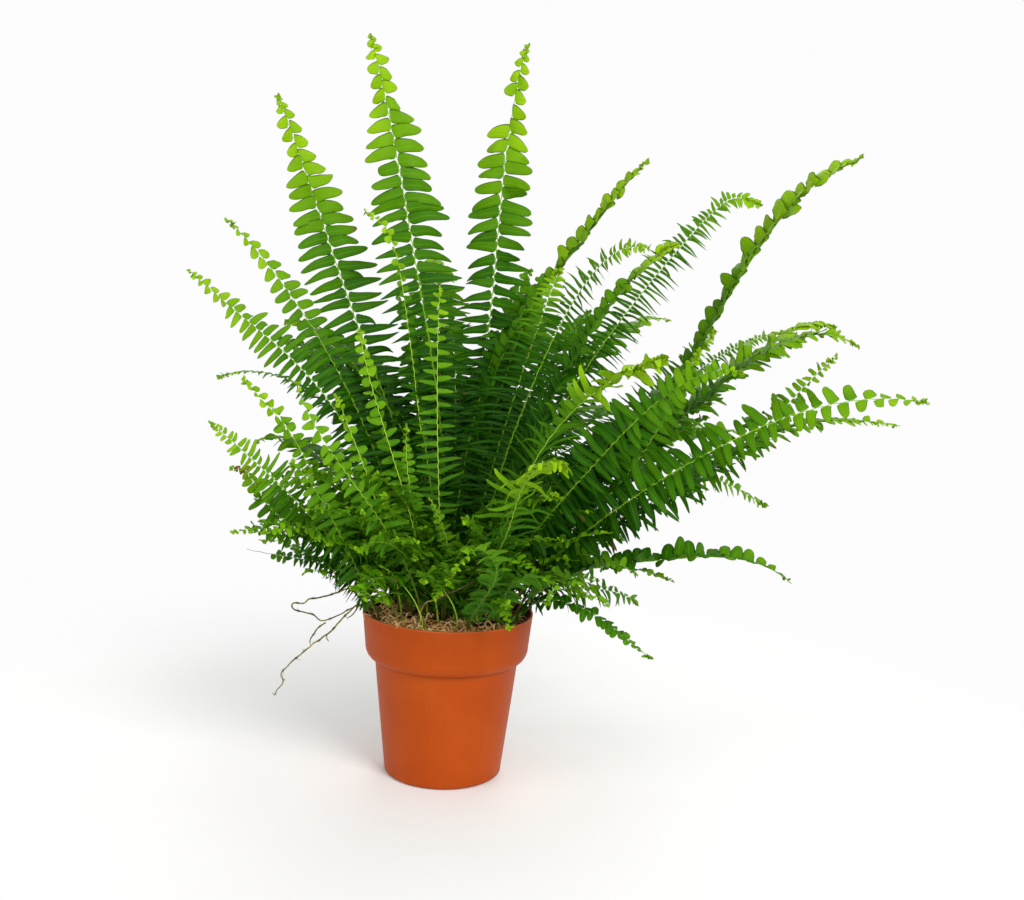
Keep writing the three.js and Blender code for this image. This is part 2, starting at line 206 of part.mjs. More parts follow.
    [-75.4,37.9,128.3,0.555,0.832,0.015,7.8,7.8], [-80.8,41.5,130.2,0.548,0.835,0.041,8.0,8.0], [-86.4,45.0,132.0,0.537,0.841,0.064,8.0,8.0],
    [-92.1,48.4,133.6,0.521,0.849,0.082,8.0,8.0], [-97.9,51.7,135.2,0.501,0.860,0.096,8.0,8.0], [-103.7,54.8,136.8,0.477,0.872,0.106,8.0,8.0],
    [-109.7,57.7,138.5,0.450,0.886,0.115,7.3,7.3], [-115.7,60.4,140.4,0.418,0.899,0.130,6.5,6.5], [-121.7,62.8,142.4,0.384,0.910,0.157,5.4,5.4],
    [-128.0,64.9,144.2,0.341,0.918,0.202,4.2,4.2], [-134.4,66.9,145.4,0.282,0.923,0.261,2.9,2.9], [-141.0,68.6,145.5,0.194,0.927,0.322,1.9,1.9],
    [-147.6,70.0,144.3,0.132,0.917,0.377,0.9,0.9]] },
  { name: 'frond_f11', tone: 'mature', stations: [
    [15.0,15.0,112.6,0.304,-0.926,0.222,0.9,0.9], [15.7,20.0,131.7,0.304,-0.927,0.221,0.9,0.9], [15.3,24.5,151.5,0.303,-0.927,0.219,0.9,0.9],
    [14.4,28.9,171.3,0.304,-0.928,0.216,4.4,4.4], [13.6,33.2,191.2,0.306,-0.929,0.208,12.4,11.0], [13.5,37.5,211.1,0.310,-0.931,0.195,12.4,12.4],
    [14.7,41.9,230.9,0.315,-0.932,0.180,14.6,15.4], [17.5,46.4,250.4,0.320,-0.934,0.156,16.0,17.7], [22.0,50.9,269.7,0.321,-0.940,0.115,19.2,19.2],
    [28.2,54.7,288.6,0.312,-0.949,0.053,20.0,20.0], [36.3,57.7,306.9,0.294,-0.956,-0.013,19.2,20.0], [46.1,59.7,324.5,0.274,-0.959,-0.067,17.9,19.9],
    [57.1,61.2,341.5,0.255,-0.961,-0.108,18.3,18.3], [68.8,62.0,358.1,0.236,-0.961,-0.141,16.1,16.1], [80.9,62.2,374.5,0.220,-0.961,-0.165,13.5,13.5],
    [92.8,61.9,390.9,0.213,-0.961,-0.176,10.4,10.4], [104.4,61.3,407.6,0.210,-0.960,-0.183,7.2,7.2], [116.2,60.7,424.1,0.203,-0.959,-0.197,4.8,4.8],
    [129.3,60.0,439.6,0.200,-0.957,-0.208,1.2,1.2]] },
  { name: 'frond_f12', tone: 'mature', stations: [
    [17.0,3.0,111.9,0.828,-0.561,-0.003,0.9,0.9], [18.0,4.4,127.9,0.824,-0.566,-0.021,0.9,0.9], [19.6,5.5,144.5,0.818,-0.573,-0.059,0.9,0.9],
    [21.8,6.4,161.0,0.809,-0.579,-0.098,5.2,5.2], [24.7,7.0,177.5,0.800,-0.585,-0.138,14.2,17.2], [28.1,7.2,193.9,0.789,-0.589,-0.174,18.2,22.3],
    [32.0,7.2,210.2,0.781,-0.592,-0.197,20.3,23.4], [36.3,7.4,226.3,0.778,-0.595,-0.204,21.4,24.0], [41.1,8.2,242.2,0.776,-0.596,-0.205,22.1,24.0],
    [46.4,9.5,258.0,0.774,-0.597,-0.212,22.4,24.0], [51.9,11.0,273.7,0.767,-0.598,-0.231,24.0,24.0], [57.8,12.1,289.5,0.753,-0.600,-0.270,23.9,23.9],
    [64.1,12.1,305.1,0.725,-0.600,-0.338,22.0,22.0], [70.9,10.4,320.5,0.678,-0.595,-0.433,19.4,16.6], [78.5,6.6,335.4,0.611,-0.585,-0.533,16.3,16.0],
    [87.1,1.0,349.4,0.517,-0.584,-0.626,12.5,12.5], [97.0,-5.7,362.1,0.347,-0.571,-0.744,8.6,8.6], [109.9,-13.1,370.8,0.026,-0.499,-0.866,5.8,5.8],
    [125.5,-20.0,371.2,-0.190,-0.471,-0.861,1.4,1.4]] },
  { name: 'frond_f12c', tone: 'mature', stations: [
    [8.0,7.0,113.1,0.954,-0.295,-0.058,0.9,0.9], [9.6,9.3,126.7,0.952,-0.298,-0.069,0.9,0.9], [11.5,11.6,140.7,0.949,-0.303,-0.092,0.9,0.9],
    [13.7,13.9,154.7,0.945,-0.307,-0.115,6.8,6.8], [16.3,16.0,168.6,0.940,-0.312,-0.141,22.2,22.2], [19.1,17.5,182.4,0.933,-0.316,-0.170,28.8,28.8],
    [22.1,18.3,196.3,0.927,-0.319,-0.197,30.2,30.2], [25.4,18.6,210.1,0.923,-0.321,-0.211,31.0,31.0], [28.7,19.1,223.8,0.923,-0.322,-0.213,31.0,31.0],
    [32.2,20.2,237.3,0.923,-0.322,-0.209,31.0,31.0], [35.8,21.9,250.8,0.924,-0.322,-0.206,31.0,31.0], [39.4,23.9,264.2,0.924,-0.321,-0.206,30.9,30.9],
    [43.2,26.2,277.5,0.924,-0.321,-0.208,28.4,28.4], [47.2,28.8,290.9,0.924,-0.320,-0.211,25.0,25.0], [51.2,31.5,304.3,0.923,-0.320,-0.214,21.0,21.0],
    [55.4,34.5,317.8,0.922,-0.319,-0.218,16.1,16.1], [59.7,37.6,331.3,0.922,-0.318,-0.222,11.1,11.1], [64.1,40.9,344.9,0.920,-0.319,-0.229,7.4,7.4],
    [68.7,44.0,358.6,0.918,-0.319,-0.234,1.9,1.9]] },
  { name: 'frond_f13', tone: 'mature', stations: [
    [25.0,12.0,111.7,0.781,-0.623,-0.024,0.9,0.9], [28.0,14.9,131.6,0.777,-0.629,-0.041,0.9,0.9], [32.2,18.2,151.7,0.768,-0.636,-0.076,0.9,0.9],
    [37.5,21.7,171.5,0.758,-0.643,-0.110,5.4,5.4], [44.0,25.4,190.9,0.747,-0.649,-0.144,17.9,17.9], [51.4,29.1,210.0,0.736,-0.653,-0.178,23.2,23.2],
    [59.6,32.8,228.7,0.723,-0.657,-0.211,24.4,24.4], [68.7,36.2,247.1,0.710,-0.661,-0.244,25.0,25.0], [78.4,39.4,265.2,0.695,-0.663,-0.277,25.0,25.0],
    [88.8,42.3,283.0,0.679,-0.666,-0.310,25.0,25.0], [99.7,44.7,300.6,0.661,-0.667,-0.343,25.0,25.0], [111.1,46.5,317.9,0.642,-0.668,-0.376,24.9,24.9],
    [123.0,47.7,335.0,0.622,-0.668,-0.409,22.9,22.9], [135.2,48.2,351.8,0.602,-0.667,-0.440,20.2,20.2], [147.8,48.1,368.3,0.584,-0.664,-0.468,16.9,16.9],
    [160.9,47.7,384.5,0.567,-0.662,-0.491,13.0,13.0], [174.4,47.1,400.4,0.509,-0.658,-0.555,9.0,9.0], [190.4,46.3,413.3,0.180,-0.603,-0.777,6.0,6.0],
    [209.6,45.0,410.1,-0.175,-0.499,-0.849,1.5,1.5]] },
  { name: 'frond_f13b', tone: 'mature', stations: [
    [24.0,-2.0,111.9,0.308,-0.938,-0.160,0.9,0.9], [26.4,-4.2,128.4,0.299,-0.939,-0.173,0.9,0.9], [29.1,-6.6,145.4,0.286,-0.938,-0.196,0.9,0.9],
    [32.4,-9.4,162.1,0.274,-0.938,-0.213,4.4,4.4], [36.0,-12.2,178.6,0.264,-0.940,-0.218,10.3,13.0], [40.1,-14.8,194.8,0.257,-0.943,-0.213,12.6,15.3],
    [44.6,-17.1,210.7,0.254,-0.947,-0.198,15.4,18.1], [49.5,-18.9,226.3,0.258,-0.952,-0.166,16.7,20.0], [54.8,-19.7,241.6,0.267,-0.955,-0.128,18.2,20.0],
    [60.7,-19.8,256.7,0.272,-0.956,-0.105,20.0,20.0], [67.0,-19.6,271.6,0.271,-0.957,-0.104,20.0,20.0], [73.7,-19.3,286.2,0.270,-0.957,-0.108,19.9,19.9],
    [81.1,-18.9,300.7,0.279,-0.956,-0.095,16.0,18.3], [89.2,-17.7,314.8,0.299,-0.952,-0.072,13.8,16.1], [98.3,-15.6,328.5,0.313,-0.947,-0.066,13.5,13.5],
    [108.3,-13.2,341.7,0.310,-0.946,-0.090,10.4,10.4], [119.4,-11.1,354.2,0.291,-0.947,-0.133,7.2,7.2], [131.5,-9.5,365.7,0.268,-0.947,-0.175,4.8,4.8],
    [144.8,-8.0,376.1,0.261,-0.944,-0.200,1.2,1.2]] },
  { name: 'frond_f14', tone: 'mature', stations: [
    [31.0,4.0,111.9,0.310,-0.937,0.159,0.9,0.9], [39.3,10.2,131.8,0.310,-0.940,0.142,0.9,0.9], [50.9,16.5,150.9,0.303,-0.946,0.115,0.9,0.9],
    [64.9,22.9,168.8,0.293,-0.952,0.087,4.8,4.8], [80.3,28.8,186.0,0.261,-0.965,0.040,6.2,8.6], [96.2,32.8,203.2,0.200,-0.979,-0.035,10.7,9.8],
    [111.8,34.0,220.9,0.132,-0.985,-0.115,19.9,9.8], [126.7,32.7,239.2,0.097,-0.983,-0.159,22.0,22.0], [140.8,30.8,258.0,0.100,-0.983,-0.156,22.0,22.0],
    [153.7,29.4,277.4,0.117,-0.984,-0.133,22.0,22.0], [165.3,28.4,297.6,0.128,-0.985,-0.116,22.0,22.0], [175.9,27.5,318.1,0.132,-0.985,-0.110,21.9,21.9],
    [186.2,26.6,338.9,0.132,-0.985,-0.112,20.1,20.1], [196.8,25.6,359.4,0.133,-0.984,-0.119,17.7,17.7], [208.1,24.6,379.5,0.133,-0.982,-0.133,14.9,14.9],
    [220.8,23.6,398.7,0.134,-0.978,-0.159,11.5,11.5], [235.6,22.4,416.2,0.129,-0.971,-0.199,7.9,7.9], [253.2,21.2,430.9,0.109,-0.961,-0.254,5.3,5.3],
    [273.4,20.0,441.7,0.099,-0.950,-0.298,1.3,1.3]] },
  { name: 'frond_f15', tone: 'mature', stations: [
    [37.0,10.0,110.7,0.173,-0.981,-0.082,0.9,0.9], [43.9,9.7,128.7,0.151,-0.985,-0.088,0.9,0.9], [52.8,9.2,146.2,0.121,-0.987,-0.107,0.9,0.9],
    [63.4,8.4,162.5,0.091,-0.988,-0.125,4.8,3.3], [75.3,7.3,177.6,0.086,-0.990,-0.115,6.7,3.3], [88.1,7.1,191.6,0.131,-0.990,-0.059,9.7,4.5],
    [101.6,9.2,204.4,0.212,-0.977,0.021,9.3,4.5], [115.7,13.7,216.6,0.273,-0.959,0.077,9.3,7.3], [130.0,19.2,228.6,0.292,-0.952,0.095,21.2,15.7],
    [144.4,24.9,240.9,0.289,-0.952,0.096,20.4,22.0], [158.6,30.4,253.6,0.278,-0.957,0.088,22.0,22.0], [172.8,35.5,266.6,0.256,-0.965,0.063,21.9,21.9],
    [187.2,39.7,279.4,0.226,-0.974,0.023,20.1,20.1], [202.3,43.0,291.7,0.196,-0.980,-0.024,17.7,17.7], [218.1,45.4,302.8,0.172,-0.982,-0.076,14.9,14.9],
    [235.1,47.1,312.3,0.145,-0.979,-0.139,11.5,11.5], [253.4,48.4,318.4,0.094,-0.970,-0.222,7.9,7.9], [272.7,49.3,318.5,-0.021,-0.953,-0.303,5.3,5.3],
    [290.4,50.0,310.8,-0.123,-0.924,-0.362,1.3,1.3]] },
  { name: 'frond_f15b', tone: 'mature', stations: [
    [29.0,27.0,110.0,0.592,-0.761,0.264,0.9,0.9], [34.7,36.7,124.6,0.606,-0.756,0.247,0.9,0.9], [41.9,47.0,139.2,0.617,-0.755,0.220,0.9,0.9],
    [50.5,57.9,153.0,0.622,-0.762,0.180,5.0,5.0], [60.3,68.5,166.4,0.610,-0.783,0.122,16.5,8.4], [71.2,78.0,179.3,0.583,-0.810,0.059,21.3,21.3],
    [82.7,86.5,192.0,0.556,-0.831,0.005,22.4,22.4], [94.7,94.0,204.4,0.520,-0.853,-0.049,23.0,23.0], [107.1,99.9,216.7,0.455,-0.882,-0.124,23.0,7.8],
    [119.4,103.2,229.2,0.375,-0.903,-0.210,23.0,7.8], [131.8,104.4,241.8,0.324,-0.909,-0.263,23.0,23.0], [144.3,105.0,254.0,0.318,-0.909,-0.271,22.9,22.9],
    [157.1,106.0,265.9,0.327,-0.907,-0.267,21.1,21.1], [170.4,107.5,277.4,0.324,-0.905,-0.276,18.6,18.6], [184.2,108.9,288.3,0.307,-0.903,-0.299,15.6,15.6],
    [198.6,110.1,298.6,0.279,-0.901,-0.333,12.0,12.0], [213.8,111.0,307.6,0.239,-0.896,-0.374,8.2,8.2], [230.0,111.6,314.9,0.185,-0.889,-0.418,5.5,5.5],
    [246.9,112.0,320.0,0.155,-0.880,-0.449,1.4,1.4]] },
  { name: 'frond_f16', tone: 'mature', stations: [
    [33.0,23.0,109.5,0.381,-0.922,0.070,0.9,0.9], [40.1,27.3,126.4,0.382,-0.922,0.066,0.9,0.9], [49.1,32.1,143.0,0.378,-0.924,0.052,0.9,0.9],
    [59.7,37.1,158.5,0.357,-0.934,0.012,4.6,4.6], [71.5,41.0,173.2,0.302,-0.951,-0.064,15.0,8.4], [84.1,42.9,187.3,0.233,-0.962,-0.146,4.1,19.5],
    [97.4,43.1,200.8,0.203,-0.963,-0.178,4.1,20.5], [111.0,43.7,213.6,0.231,-0.961,-0.154,8.0,21.0], [125.0,45.8,225.6,0.280,-0.953,-0.113,17.2,21.0],
    [139.3,49.2,237.3,0.331,-0.941,-0.073,17.2,21.0], [153.8,54.1,248.8,0.380,-0.924,-0.033,12.6,21.0], [168.7,60.5,260.4,0.410,-0.912,-0.010,12.6,20.9],
    [183.8,67.4,272.0,0.403,-0.915,-0.016,19.2,19.2], [199.0,73.4,283.9,0.369,-0.928,-0.045,16.9,16.9], [214.2,78.2,296.0,0.329,-0.940,-0.086,14.2,14.2],
    [229.3,81.8,308.2,0.295,-0.945,-0.139,10.9,10.9], [245.0,84.4,319.7,0.250,-0.943,-0.221,7.5,7.5], [263.0,86.4,327.0,0.144,-0.930,-0.339,5.0,5.0],
    [282.2,88.0,325.6,0.044,-0.898,-0.438,1.3,1.3]] },
  { name: 'frond_f16b', tone: 'mature', stations: [
    [23.0,20.0,111.8,0.804,-0.554,-0.219,0.9,0.9], [28.5,22.5,125.1,0.792,-0.560,-0.243,0.9,0.9], [35.2,25.5,138.4,0.769,-0.570,-0.289,0.9,0.9],
    [42.9,28.9,150.9,0.747,-0.578,-0.328,5.9,5.9], [51.4,32.5,162.8,0.731,-0.582,-0.356,19.3,7.8], [60.5,36.8,174.2,0.727,-0.580,-0.369,25.0,7.3],
    [70.1,41.9,185.0,0.732,-0.573,-0.368,26.3,7.2], [80.1,48.1,195.5,0.743,-0.563,-0.361,17.8,5.6], [90.3,55.3,205.7,0.755,-0.554,-0.352,17.8,5.6],
    [100.7,63.2,216.0,0.758,-0.551,-0.349,19.4,27.0], [111.1,70.7,226.6,0.742,-0.562,-0.365,27.0,27.0], [121.4,76.4,237.6,0.705,-0.582,-0.406,26.9,26.9],
    [131.4,79.6,249.0,0.651,-0.599,-0.467,24.7,17.6], [141.1,79.8,260.7,0.597,-0.603,-0.529,21.8,15.4], [150.5,77.8,272.6,0.566,-0.600,-0.565,18.3,15.4],
    [159.7,75.1,284.4,0.563,-0.602,-0.567,14.1,14.1], [169.0,73.0,296.1,0.572,-0.604,-0.555,9.7,9.7], [178.5,71.5,307.7,0.575,-0.605,-0.551,6.5,6.5],
    [188.0,70.0,319.2,0.574,-0.605,-0.552,1.6,1.6]] },
  { name: 'frond_f17', tone: 'mature', stations: [
    [41.0,2.0,110.3,0.720,-0.599,-0.350,0.9,0.9], [48.7,2.5,124.6,0.684,-0.616,-0.392,0.9,0.9], [58.4,3.2,138.2,0.616,-0.631,-0.471,0.9,0.9],
    [70.0,4.1,150.4,0.551,-0.643,-0.532,4.4,4.4], [82.8,5.2,161.1,0.496,-0.650,-0.576,14.3,14.3], [96.6,6.3,170.8,0.454,-0.653,-0.605,18.6,18.6],
    [110.8,7.6,179.6,0.428,-0.655,-0.623,19.5,19.5], [125.4,8.9,187.9,0.418,-0.655,-0.630,20.0,20.0], [140.0,10.3,196.1,0.422,-0.656,-0.626,20.0,20.0],
    [154.6,11.8,204.5,0.440,-0.656,-0.613,20.0,20.0], [168.8,13.3,213.5,0.467,-0.657,-0.592,20.0,20.0], [182.6,15.0,223.1,0.494,-0.659,-0.567,19.9,19.9],
    [196.0,16.7,233.3,0.520,-0.661,-0.541,18.3,18.3], [208.8,18.3,244.2,0.540,-0.665,-0.516,16.1,16.1], [221.0,19.5,255.8,0.555,-0.668,-0.496,13.5,13.5],
    [232.5,20.2,268.1,0.564,-0.670,-0.482,10.4,10.4], [243.3,20.3,280.8,0.560,-0.671,-0.486,7.2,7.2], [254.3,20.2,293.3,0.532,-0.668,-0.521,4.8,4.8],
    [266.4,20.0,304.8,0.511,-0.663,-0.547,1.2,1.2]] },
  { name: 'frond_nb', tone: 'mature', stations: [
    [20.0,-20.0,112.3,-0.808,-0.577,-0.124,0.9,0.9], [22.4,-26.2,124.9,-0.810,-0.573,-0.127,0.9,0.9], [25.1,-33.0,137.9,-0.815,-0.564,-0.134,0.9,0.9],
    [27.9,-40.3,150.7,-0.820,-0.555,-0.140,5.7,5.7], [31.0,-48.1,163.3,-0.823,-0.550,-0.140,17.5,18.6], [34.1,-56.0,175.6,-0.822,-0.554,-0.131,20.0,24.1],
    [37.5,-63.5,187.5,-0.819,-0.562,-0.117,23.9,25.3], [40.9,-70.8,199.2,-0.817,-0.567,-0.106,26.0,26.0], [44.7,-78.3,210.6,-0.817,-0.568,-0.098,26.0,26.0],
    [48.9,-86.1,221.9,-0.816,-0.572,-0.086,26.0,26.0], [53.5,-94.2,233.0,-0.810,-0.583,-0.066,26.0,26.0], [58.8,-102.4,243.9,-0.798,-0.602,-0.037,25.9,25.9],
    [64.8,-110.5,254.4,-0.777,-0.629,-0.000,23.8,23.8], [71.8,-118.5,264.5,-0.746,-0.665,0.043,21.0,21.0], [79.9,-126.1,274.1,-0.699,-0.709,0.091,17.6,17.6],
    [89.2,-133.3,282.8,-0.634,-0.761,0.137,13.5,13.5], [99.8,-139.7,290.6,-0.551,-0.816,0.174,9.3,9.3], [111.6,-145.4,297.1,-0.452,-0.871,0.194,6.2,6.2],
    [124.5,-150.0,302.2,-0.399,-0.896,0.194,1.6,1.6]] },
  { name: 'frond_nd', tone: 'mature', stations: [
    [14.0,-31.0,110.7,-0.903,-0.429,-0.021,0.9,0.9], [15.8,-35.3,119.8,-0.903,-0.430,-0.018,0.9,0.9], [18.0,-40.3,129.1,-0.903,-0.430,-0.015,0.9,0.9],
    [20.6,-46.0,137.8,-0.904,-0.428,-0.015,4.8,4.8], [23.4,-52.2,146.1,-0.905,-0.424,-0.018,15.8,15.8], [26.3,-58.9,154.0,-0.908,-0.417,-0.024,20.4,20.4],
    [29.3,-65.9,161.5,-0.913,-0.408,-0.033,21.4,21.4], [32.2,-73.2,168.9,-0.918,-0.395,-0.044,22.0,22.0], [34.9,-80.7,176.1,-0.923,-0.380,-0.058,22.0,22.0],
    [37.5,-88.2,183.3,-0.929,-0.362,-0.076,22.0,22.0], [39.6,-95.7,190.7,-0.934,-0.344,-0.098,22.0,22.0], [41.4,-103.2,198.2,-0.937,-0.330,-0.118,21.9,21.9],
    [42.9,-110.5,205.9,-0.936,-0.331,-0.121,20.1,20.1], [44.6,-117.8,213.7,-0.930,-0.354,-0.095,17.7,17.7], [46.8,-124.9,221.4,-0.914,-0.404,-0.038,14.9,14.9],
    [50.2,-131.9,228.8,-0.872,-0.488,0.050,11.5,11.5], [55.3,-138.5,235.5,-0.773,-0.618,0.145,7.9,7.9], [62.6,-144.7,240.2,-0.586,-0.807,0.067,5.3,5.3],
    [71.3,-150.0,238.0,-0.536,-0.834,-0.130,1.3,1.3]] },
  { name: 'frond_bl', tone: 'mature', stations: [
    [27.0,-14.0,111.4,0.755,-0.529,-0.388,0.9,0.9], [30.9,-18.5,124.5,0.726,-0.540,-0.425,0.9,0.9], [35.6,-23.7,137.9,0.682,-0.540,-0.493,0.9,0.9],
    [41.2,-29.6,150.8,0.635,-0.541,-0.551,5.9,5.9], [47.3,-35.9,163.3,0.592,-0.544,-0.595,19.3,19.3], [54.0,-42.4,175.4,0.561,-0.553,-0.617,19.4,25.0],
    [61.2,-48.2,187.0,0.546,-0.567,-0.617,20.9,26.3], [68.8,-52.9,198.1,0.542,-0.580,-0.608,25.7,27.0], [76.7,-56.8,208.9,0.536,-0.587,-0.607,27.0,27.0],
    [84.9,-60.6,219.8,0.528,-0.588,-0.612,27.0,27.0], [93.2,-64.6,230.7,0.523,-0.589,-0.616,27.0,27.0], [101.5,-68.8,241.7,0.517,-0.592,-0.619,26.9,26.9],
    [110.1,-72.8,252.7,0.504,-0.595,-0.627,24.7,24.7], [119.4,-76.5,263.4,0.481,-0.597,-0.642,21.8,21.8], [129.5,-79.7,273.5,0.448,-0.600,-0.663,18.3,18.3],
    [140.6,-82.0,282.7,0.403,-0.601,-0.690,14.1,14.1], [152.9,-83.5,290.5,0.298,-0.590,-0.751,9.7,9.7], [166.8,-84.3,294.9,0.023,-0.551,-0.834,6.5,6.5],
    [181.0,-85.0,292.3,-0.181,-0.499,-0.848,1.6,1.6]] },
  { name: 'frond_f23b', tone: 'mature', stations: [
    [33.0,-5.0,111.3,0.802,-0.470,-0.370,0.9,0.9], [38.7,-4.5,122.5,0.776,-0.483,-0.405,0.9,0.9], [45.7,-3.7,133.5,0.730,-0.497,-0.469,0.9,0.9],
    [53.8,-2.5,143.9,0.688,-0.508,-0.519,5.9,5.9], [62.6,-1.4,153.8,0.650,-0.515,-0.558,4.5,19.3], [72.0,-0.7,163.4,0.620,-0.519,-0.588,4.5,21.7],
    [81.5,-0.6,172.9,0.603,-0.521,-0.605,4.7,23.1], [91.0,-0.8,182.4,0.600,-0.520,-0.607,5.1,25.8], [100.3,-1.3,192.2,0.613,-0.518,-0.596,5.5,17.8],
    [109.1,-2.2,202.2,0.641,-0.517,-0.567,6.5,17.8], [117.3,-2.9,212.7,0.683,-0.516,-0.517,27.0,18.6], [124.8,-2.7,223.5,0.728,-0.513,-0.455,26.9,26.2],
    [131.9,-1.4,234.5,0.762,-0.509,-0.400,24.7,24.7], [138.5,0.3,245.8,0.781,-0.507,-0.365,21.8,21.8], [144.7,1.9,257.3,0.789,-0.507,-0.346,18.3,18.3],
    [150.6,3.2,269.0,0.794,-0.508,-0.335,14.1,14.1], [156.1,4.2,280.9,0.796,-0.509,-0.329,9.7,9.7], [161.5,4.9,292.9,0.795,-0.509,-0.330,6.5,6.5],
    [166.7,5.2,304.9,0.794,-0.510,-0.332,1.6,1.6]] },
  { name: 'frond_f18', tone: 'mature', stations: [
    [36.0,-17.0,109.6,0.762,-0.435,-0.480,0.9,0.9], [43.8,-22.1,126.0,0.713,-0.457,-0.532,0.9,0.9], [53.8,-27.4,141.8,0.636,-0.464,-0.617,2.8,2.8],
    [65.3,-32.8,156.2,0.572,-0.474,-0.669,18.2,18.2], [77.8,-37.9,169.7,0.533,-0.485,-0.693,28.8,28.8], [90.8,-42.0,182.2,0.515,-0.495,-0.700,29.0,29.0],
    [104.2,-45.1,194.2,0.502,-0.500,-0.706,29.0,29.0], [118.1,-47.6,205.6,0.482,-0.502,-0.718,29.0,29.0], [132.5,-50.2,216.7,0.456,-0.502,-0.735,28.0,28.0],
    [147.2,-53.0,227.4,0.430,-0.500,-0.752,25.1,25.1], [162.4,-56.0,237.7,0.406,-0.498,-0.766,22.4,22.4], [177.9,-58.9,247.5,0.380,-0.495,-0.781,20.5,20.5],
    [194.0,-61.6,256.6,0.345,-0.490,-0.801,18.6,18.6], [210.6,-64.0,264.7,0.301,-0.481,-0.824,16.5,16.5], [227.8,-66.1,271.6,0.242,-0.466,-0.851,14.1,14.1],
    [245.7,-67.7,276.8,0.169,-0.446,-0.879,11.2,11.2], [264.0,-68.9,280.0,0.078,-0.420,-0.904,7.9,7.9], [282.6,-69.7,280.9,-0.028,-0.391,-0.920,4.7,4.7],
    [301.2,-70.0,279.3,-0.084,-0.363,-0.928,1.5,1.5]] },
  { name: 'frond_f19', tone: 'mature', stations: [
    [43.0,-9.0,109.6,-0.017,-0.981,-0.191,0.9,0.9], [51.7,-12.4,125.5,-0.054,-0.982,-0.183,0.9,0.9], [62.5,-15.9,140.4,-0.098,-0.978,-0.182,1.8,1.8],
    [74.8,-20.0,153.9,-0.136,-0.975,-0.177,10.0,12.0], [88.1,-24.2,166.0,-0.143,-0.978,-0.152,13.6,16.5], [102.1,-27.5,176.9,-0.096,-0.991,-0.098,15.0,17.5],
    [116.5,-29.0,186.7,0.013,-1.000,-0.014,14.4,19.9], [131.3,-27.4,195.9,0.137,-0.988,0.071,14.4,22.0], [146.4,-23.5,204.9,0.205,-0.971,0.120,22.0,22.0],
    [161.4,-18.8,214.4,0.206,-0.971,0.125,22.0,22.0], [176.2,-14.7,224.5,0.175,-0.979,0.102,22.0,22.0], [191.0,-11.4,234.5,0.144,-0.987,0.070,21.9,21.9],
    [206.2,-8.9,243.9,0.134,-0.990,0.039,20.1,20.1], [222.2,-6.5,251.8,0.146,-0.989,0.006,15.3,17.7], [239.1,-3.9,257.4,0.171,-0.985,-0.034,13.6,14.9],
    [256.8,-0.8,260.3,0.189,-0.979,-0.081,11.5,11.5], [274.8,2.6,261.0,0.191,-0.973,-0.127,7.9,7.9], [292.7,6.3,260.1,0.185,-0.969,-0.164,5.3,5.3],
    [310.6,10.0,258.0,0.180,-0.965,-0.192,1.3,1.3]] },
  { name: 'frond_f20', tone: 'mature', stations: [
    [47.0,11.0,108.7,0.562,-0.786,0.260,0.9,0.9], [52.6,18.8,119.4,0.571,-0.786,0.237,0.9,0.9], [59.3,26.5,130.1,0.570,-0.799,0.191,0.9,0.9],
    [67.0,33.9,140.1,0.559,-0.818,0.133,4.4,4.4], [75.6,40.8,149.4,0.549,-0.832,0.080,14.3,14.3], [84.9,47.5,158.0,0.543,-0.839,0.037,18.6,18.6],
    [94.9,54.1,165.8,0.540,-0.842,-0.002,19.5,19.5], [105.5,60.6,172.9,0.533,-0.845,-0.038,20.0,20.0], [116.6,67.1,179.3,0.522,-0.850,-0.074,20.0,20.0],
    [128.2,73.5,185.1,0.506,-0.856,-0.108,20.0,20.0], [140.1,79.6,190.3,0.480,-0.865,-0.144,20.0,20.0], [152.4,85.2,195.3,0.442,-0.877,-0.187,19.9,19.9],
    [165.2,90.2,199.9,0.393,-0.887,-0.242,18.3,18.3], [178.5,94.6,203.5,0.325,-0.892,-0.315,16.1,16.1], [192.3,98.5,204.3,0.214,-0.893,-0.395,13.5,13.5],
    [206.0,102.1,201.3,0.077,-0.890,-0.449,10.4,10.4], [219.0,105.2,195.8,-0.029,-0.882,-0.470,7.2,7.2], [231.6,107.8,189.1,-0.087,-0.874,-0.478,4.8,4.8],
    [244.1,110.0,182.3,-0.108,-0.868,-0.485,1.2,1.2]] },
  { name: 'frond_f21', tone: 'mature', stations: [
    [47.0,-20.0,108.8,-0.211,-0.976,-0.056,0.9,0.9], [50.7,-20.8,119.5,-0.078,-0.991,-0.112,0.9,0.9], [56.4,-21.8,129.2,-0.002,-0.992,-0.129,3.9,6.5],
    [64.1,-23.2,137.7,-0.030,-0.985,-0.170,3.9,9.7], [73.3,-25.0,144.7,-0.092,-0.979,-0.180,12.4,9.7], [83.4,-27.3,150.3,-0.139,-0.975,-0.171,13.2,14.5],
    [94.0,-29.7,154.5,-0.150,-0.977,-0.152,13.9,15.2], [104.9,-31.8,157.8,-0.142,-0.980,-0.135,15.9,17.0], [116.1,-33.7,160.3,-0.142,-0.982,-0.127,17.0,17.0],
    [127.3,-35.6,162.4,-0.151,-0.981,-0.125,17.0,17.0], [138.6,-37.7,164.3,-0.156,-0.980,-0.124,17.0,17.0], [149.9,-39.7,166.3,-0.154,-0.980,-0.123,16.9,16.9],
    [161.2,-41.7,168.2,-0.148,-0.981,-0.122,15.6,15.6], [172.6,-43.6,169.6,-0.143,-0.982,-0.123,13.7,13.7], [184.1,-45.3,170.1,-0.141,-0.982,-0.128,11.5,11.5],
    [195.6,-46.8,169.3,-0.143,-0.980,-0.139,8.9,8.9], [206.8,-48.1,166.8,-0.156,-0.975,-0.156,6.1,6.1], [217.5,-49.2,162.3,-0.180,-0.968,-0.172,4.1,4.1],
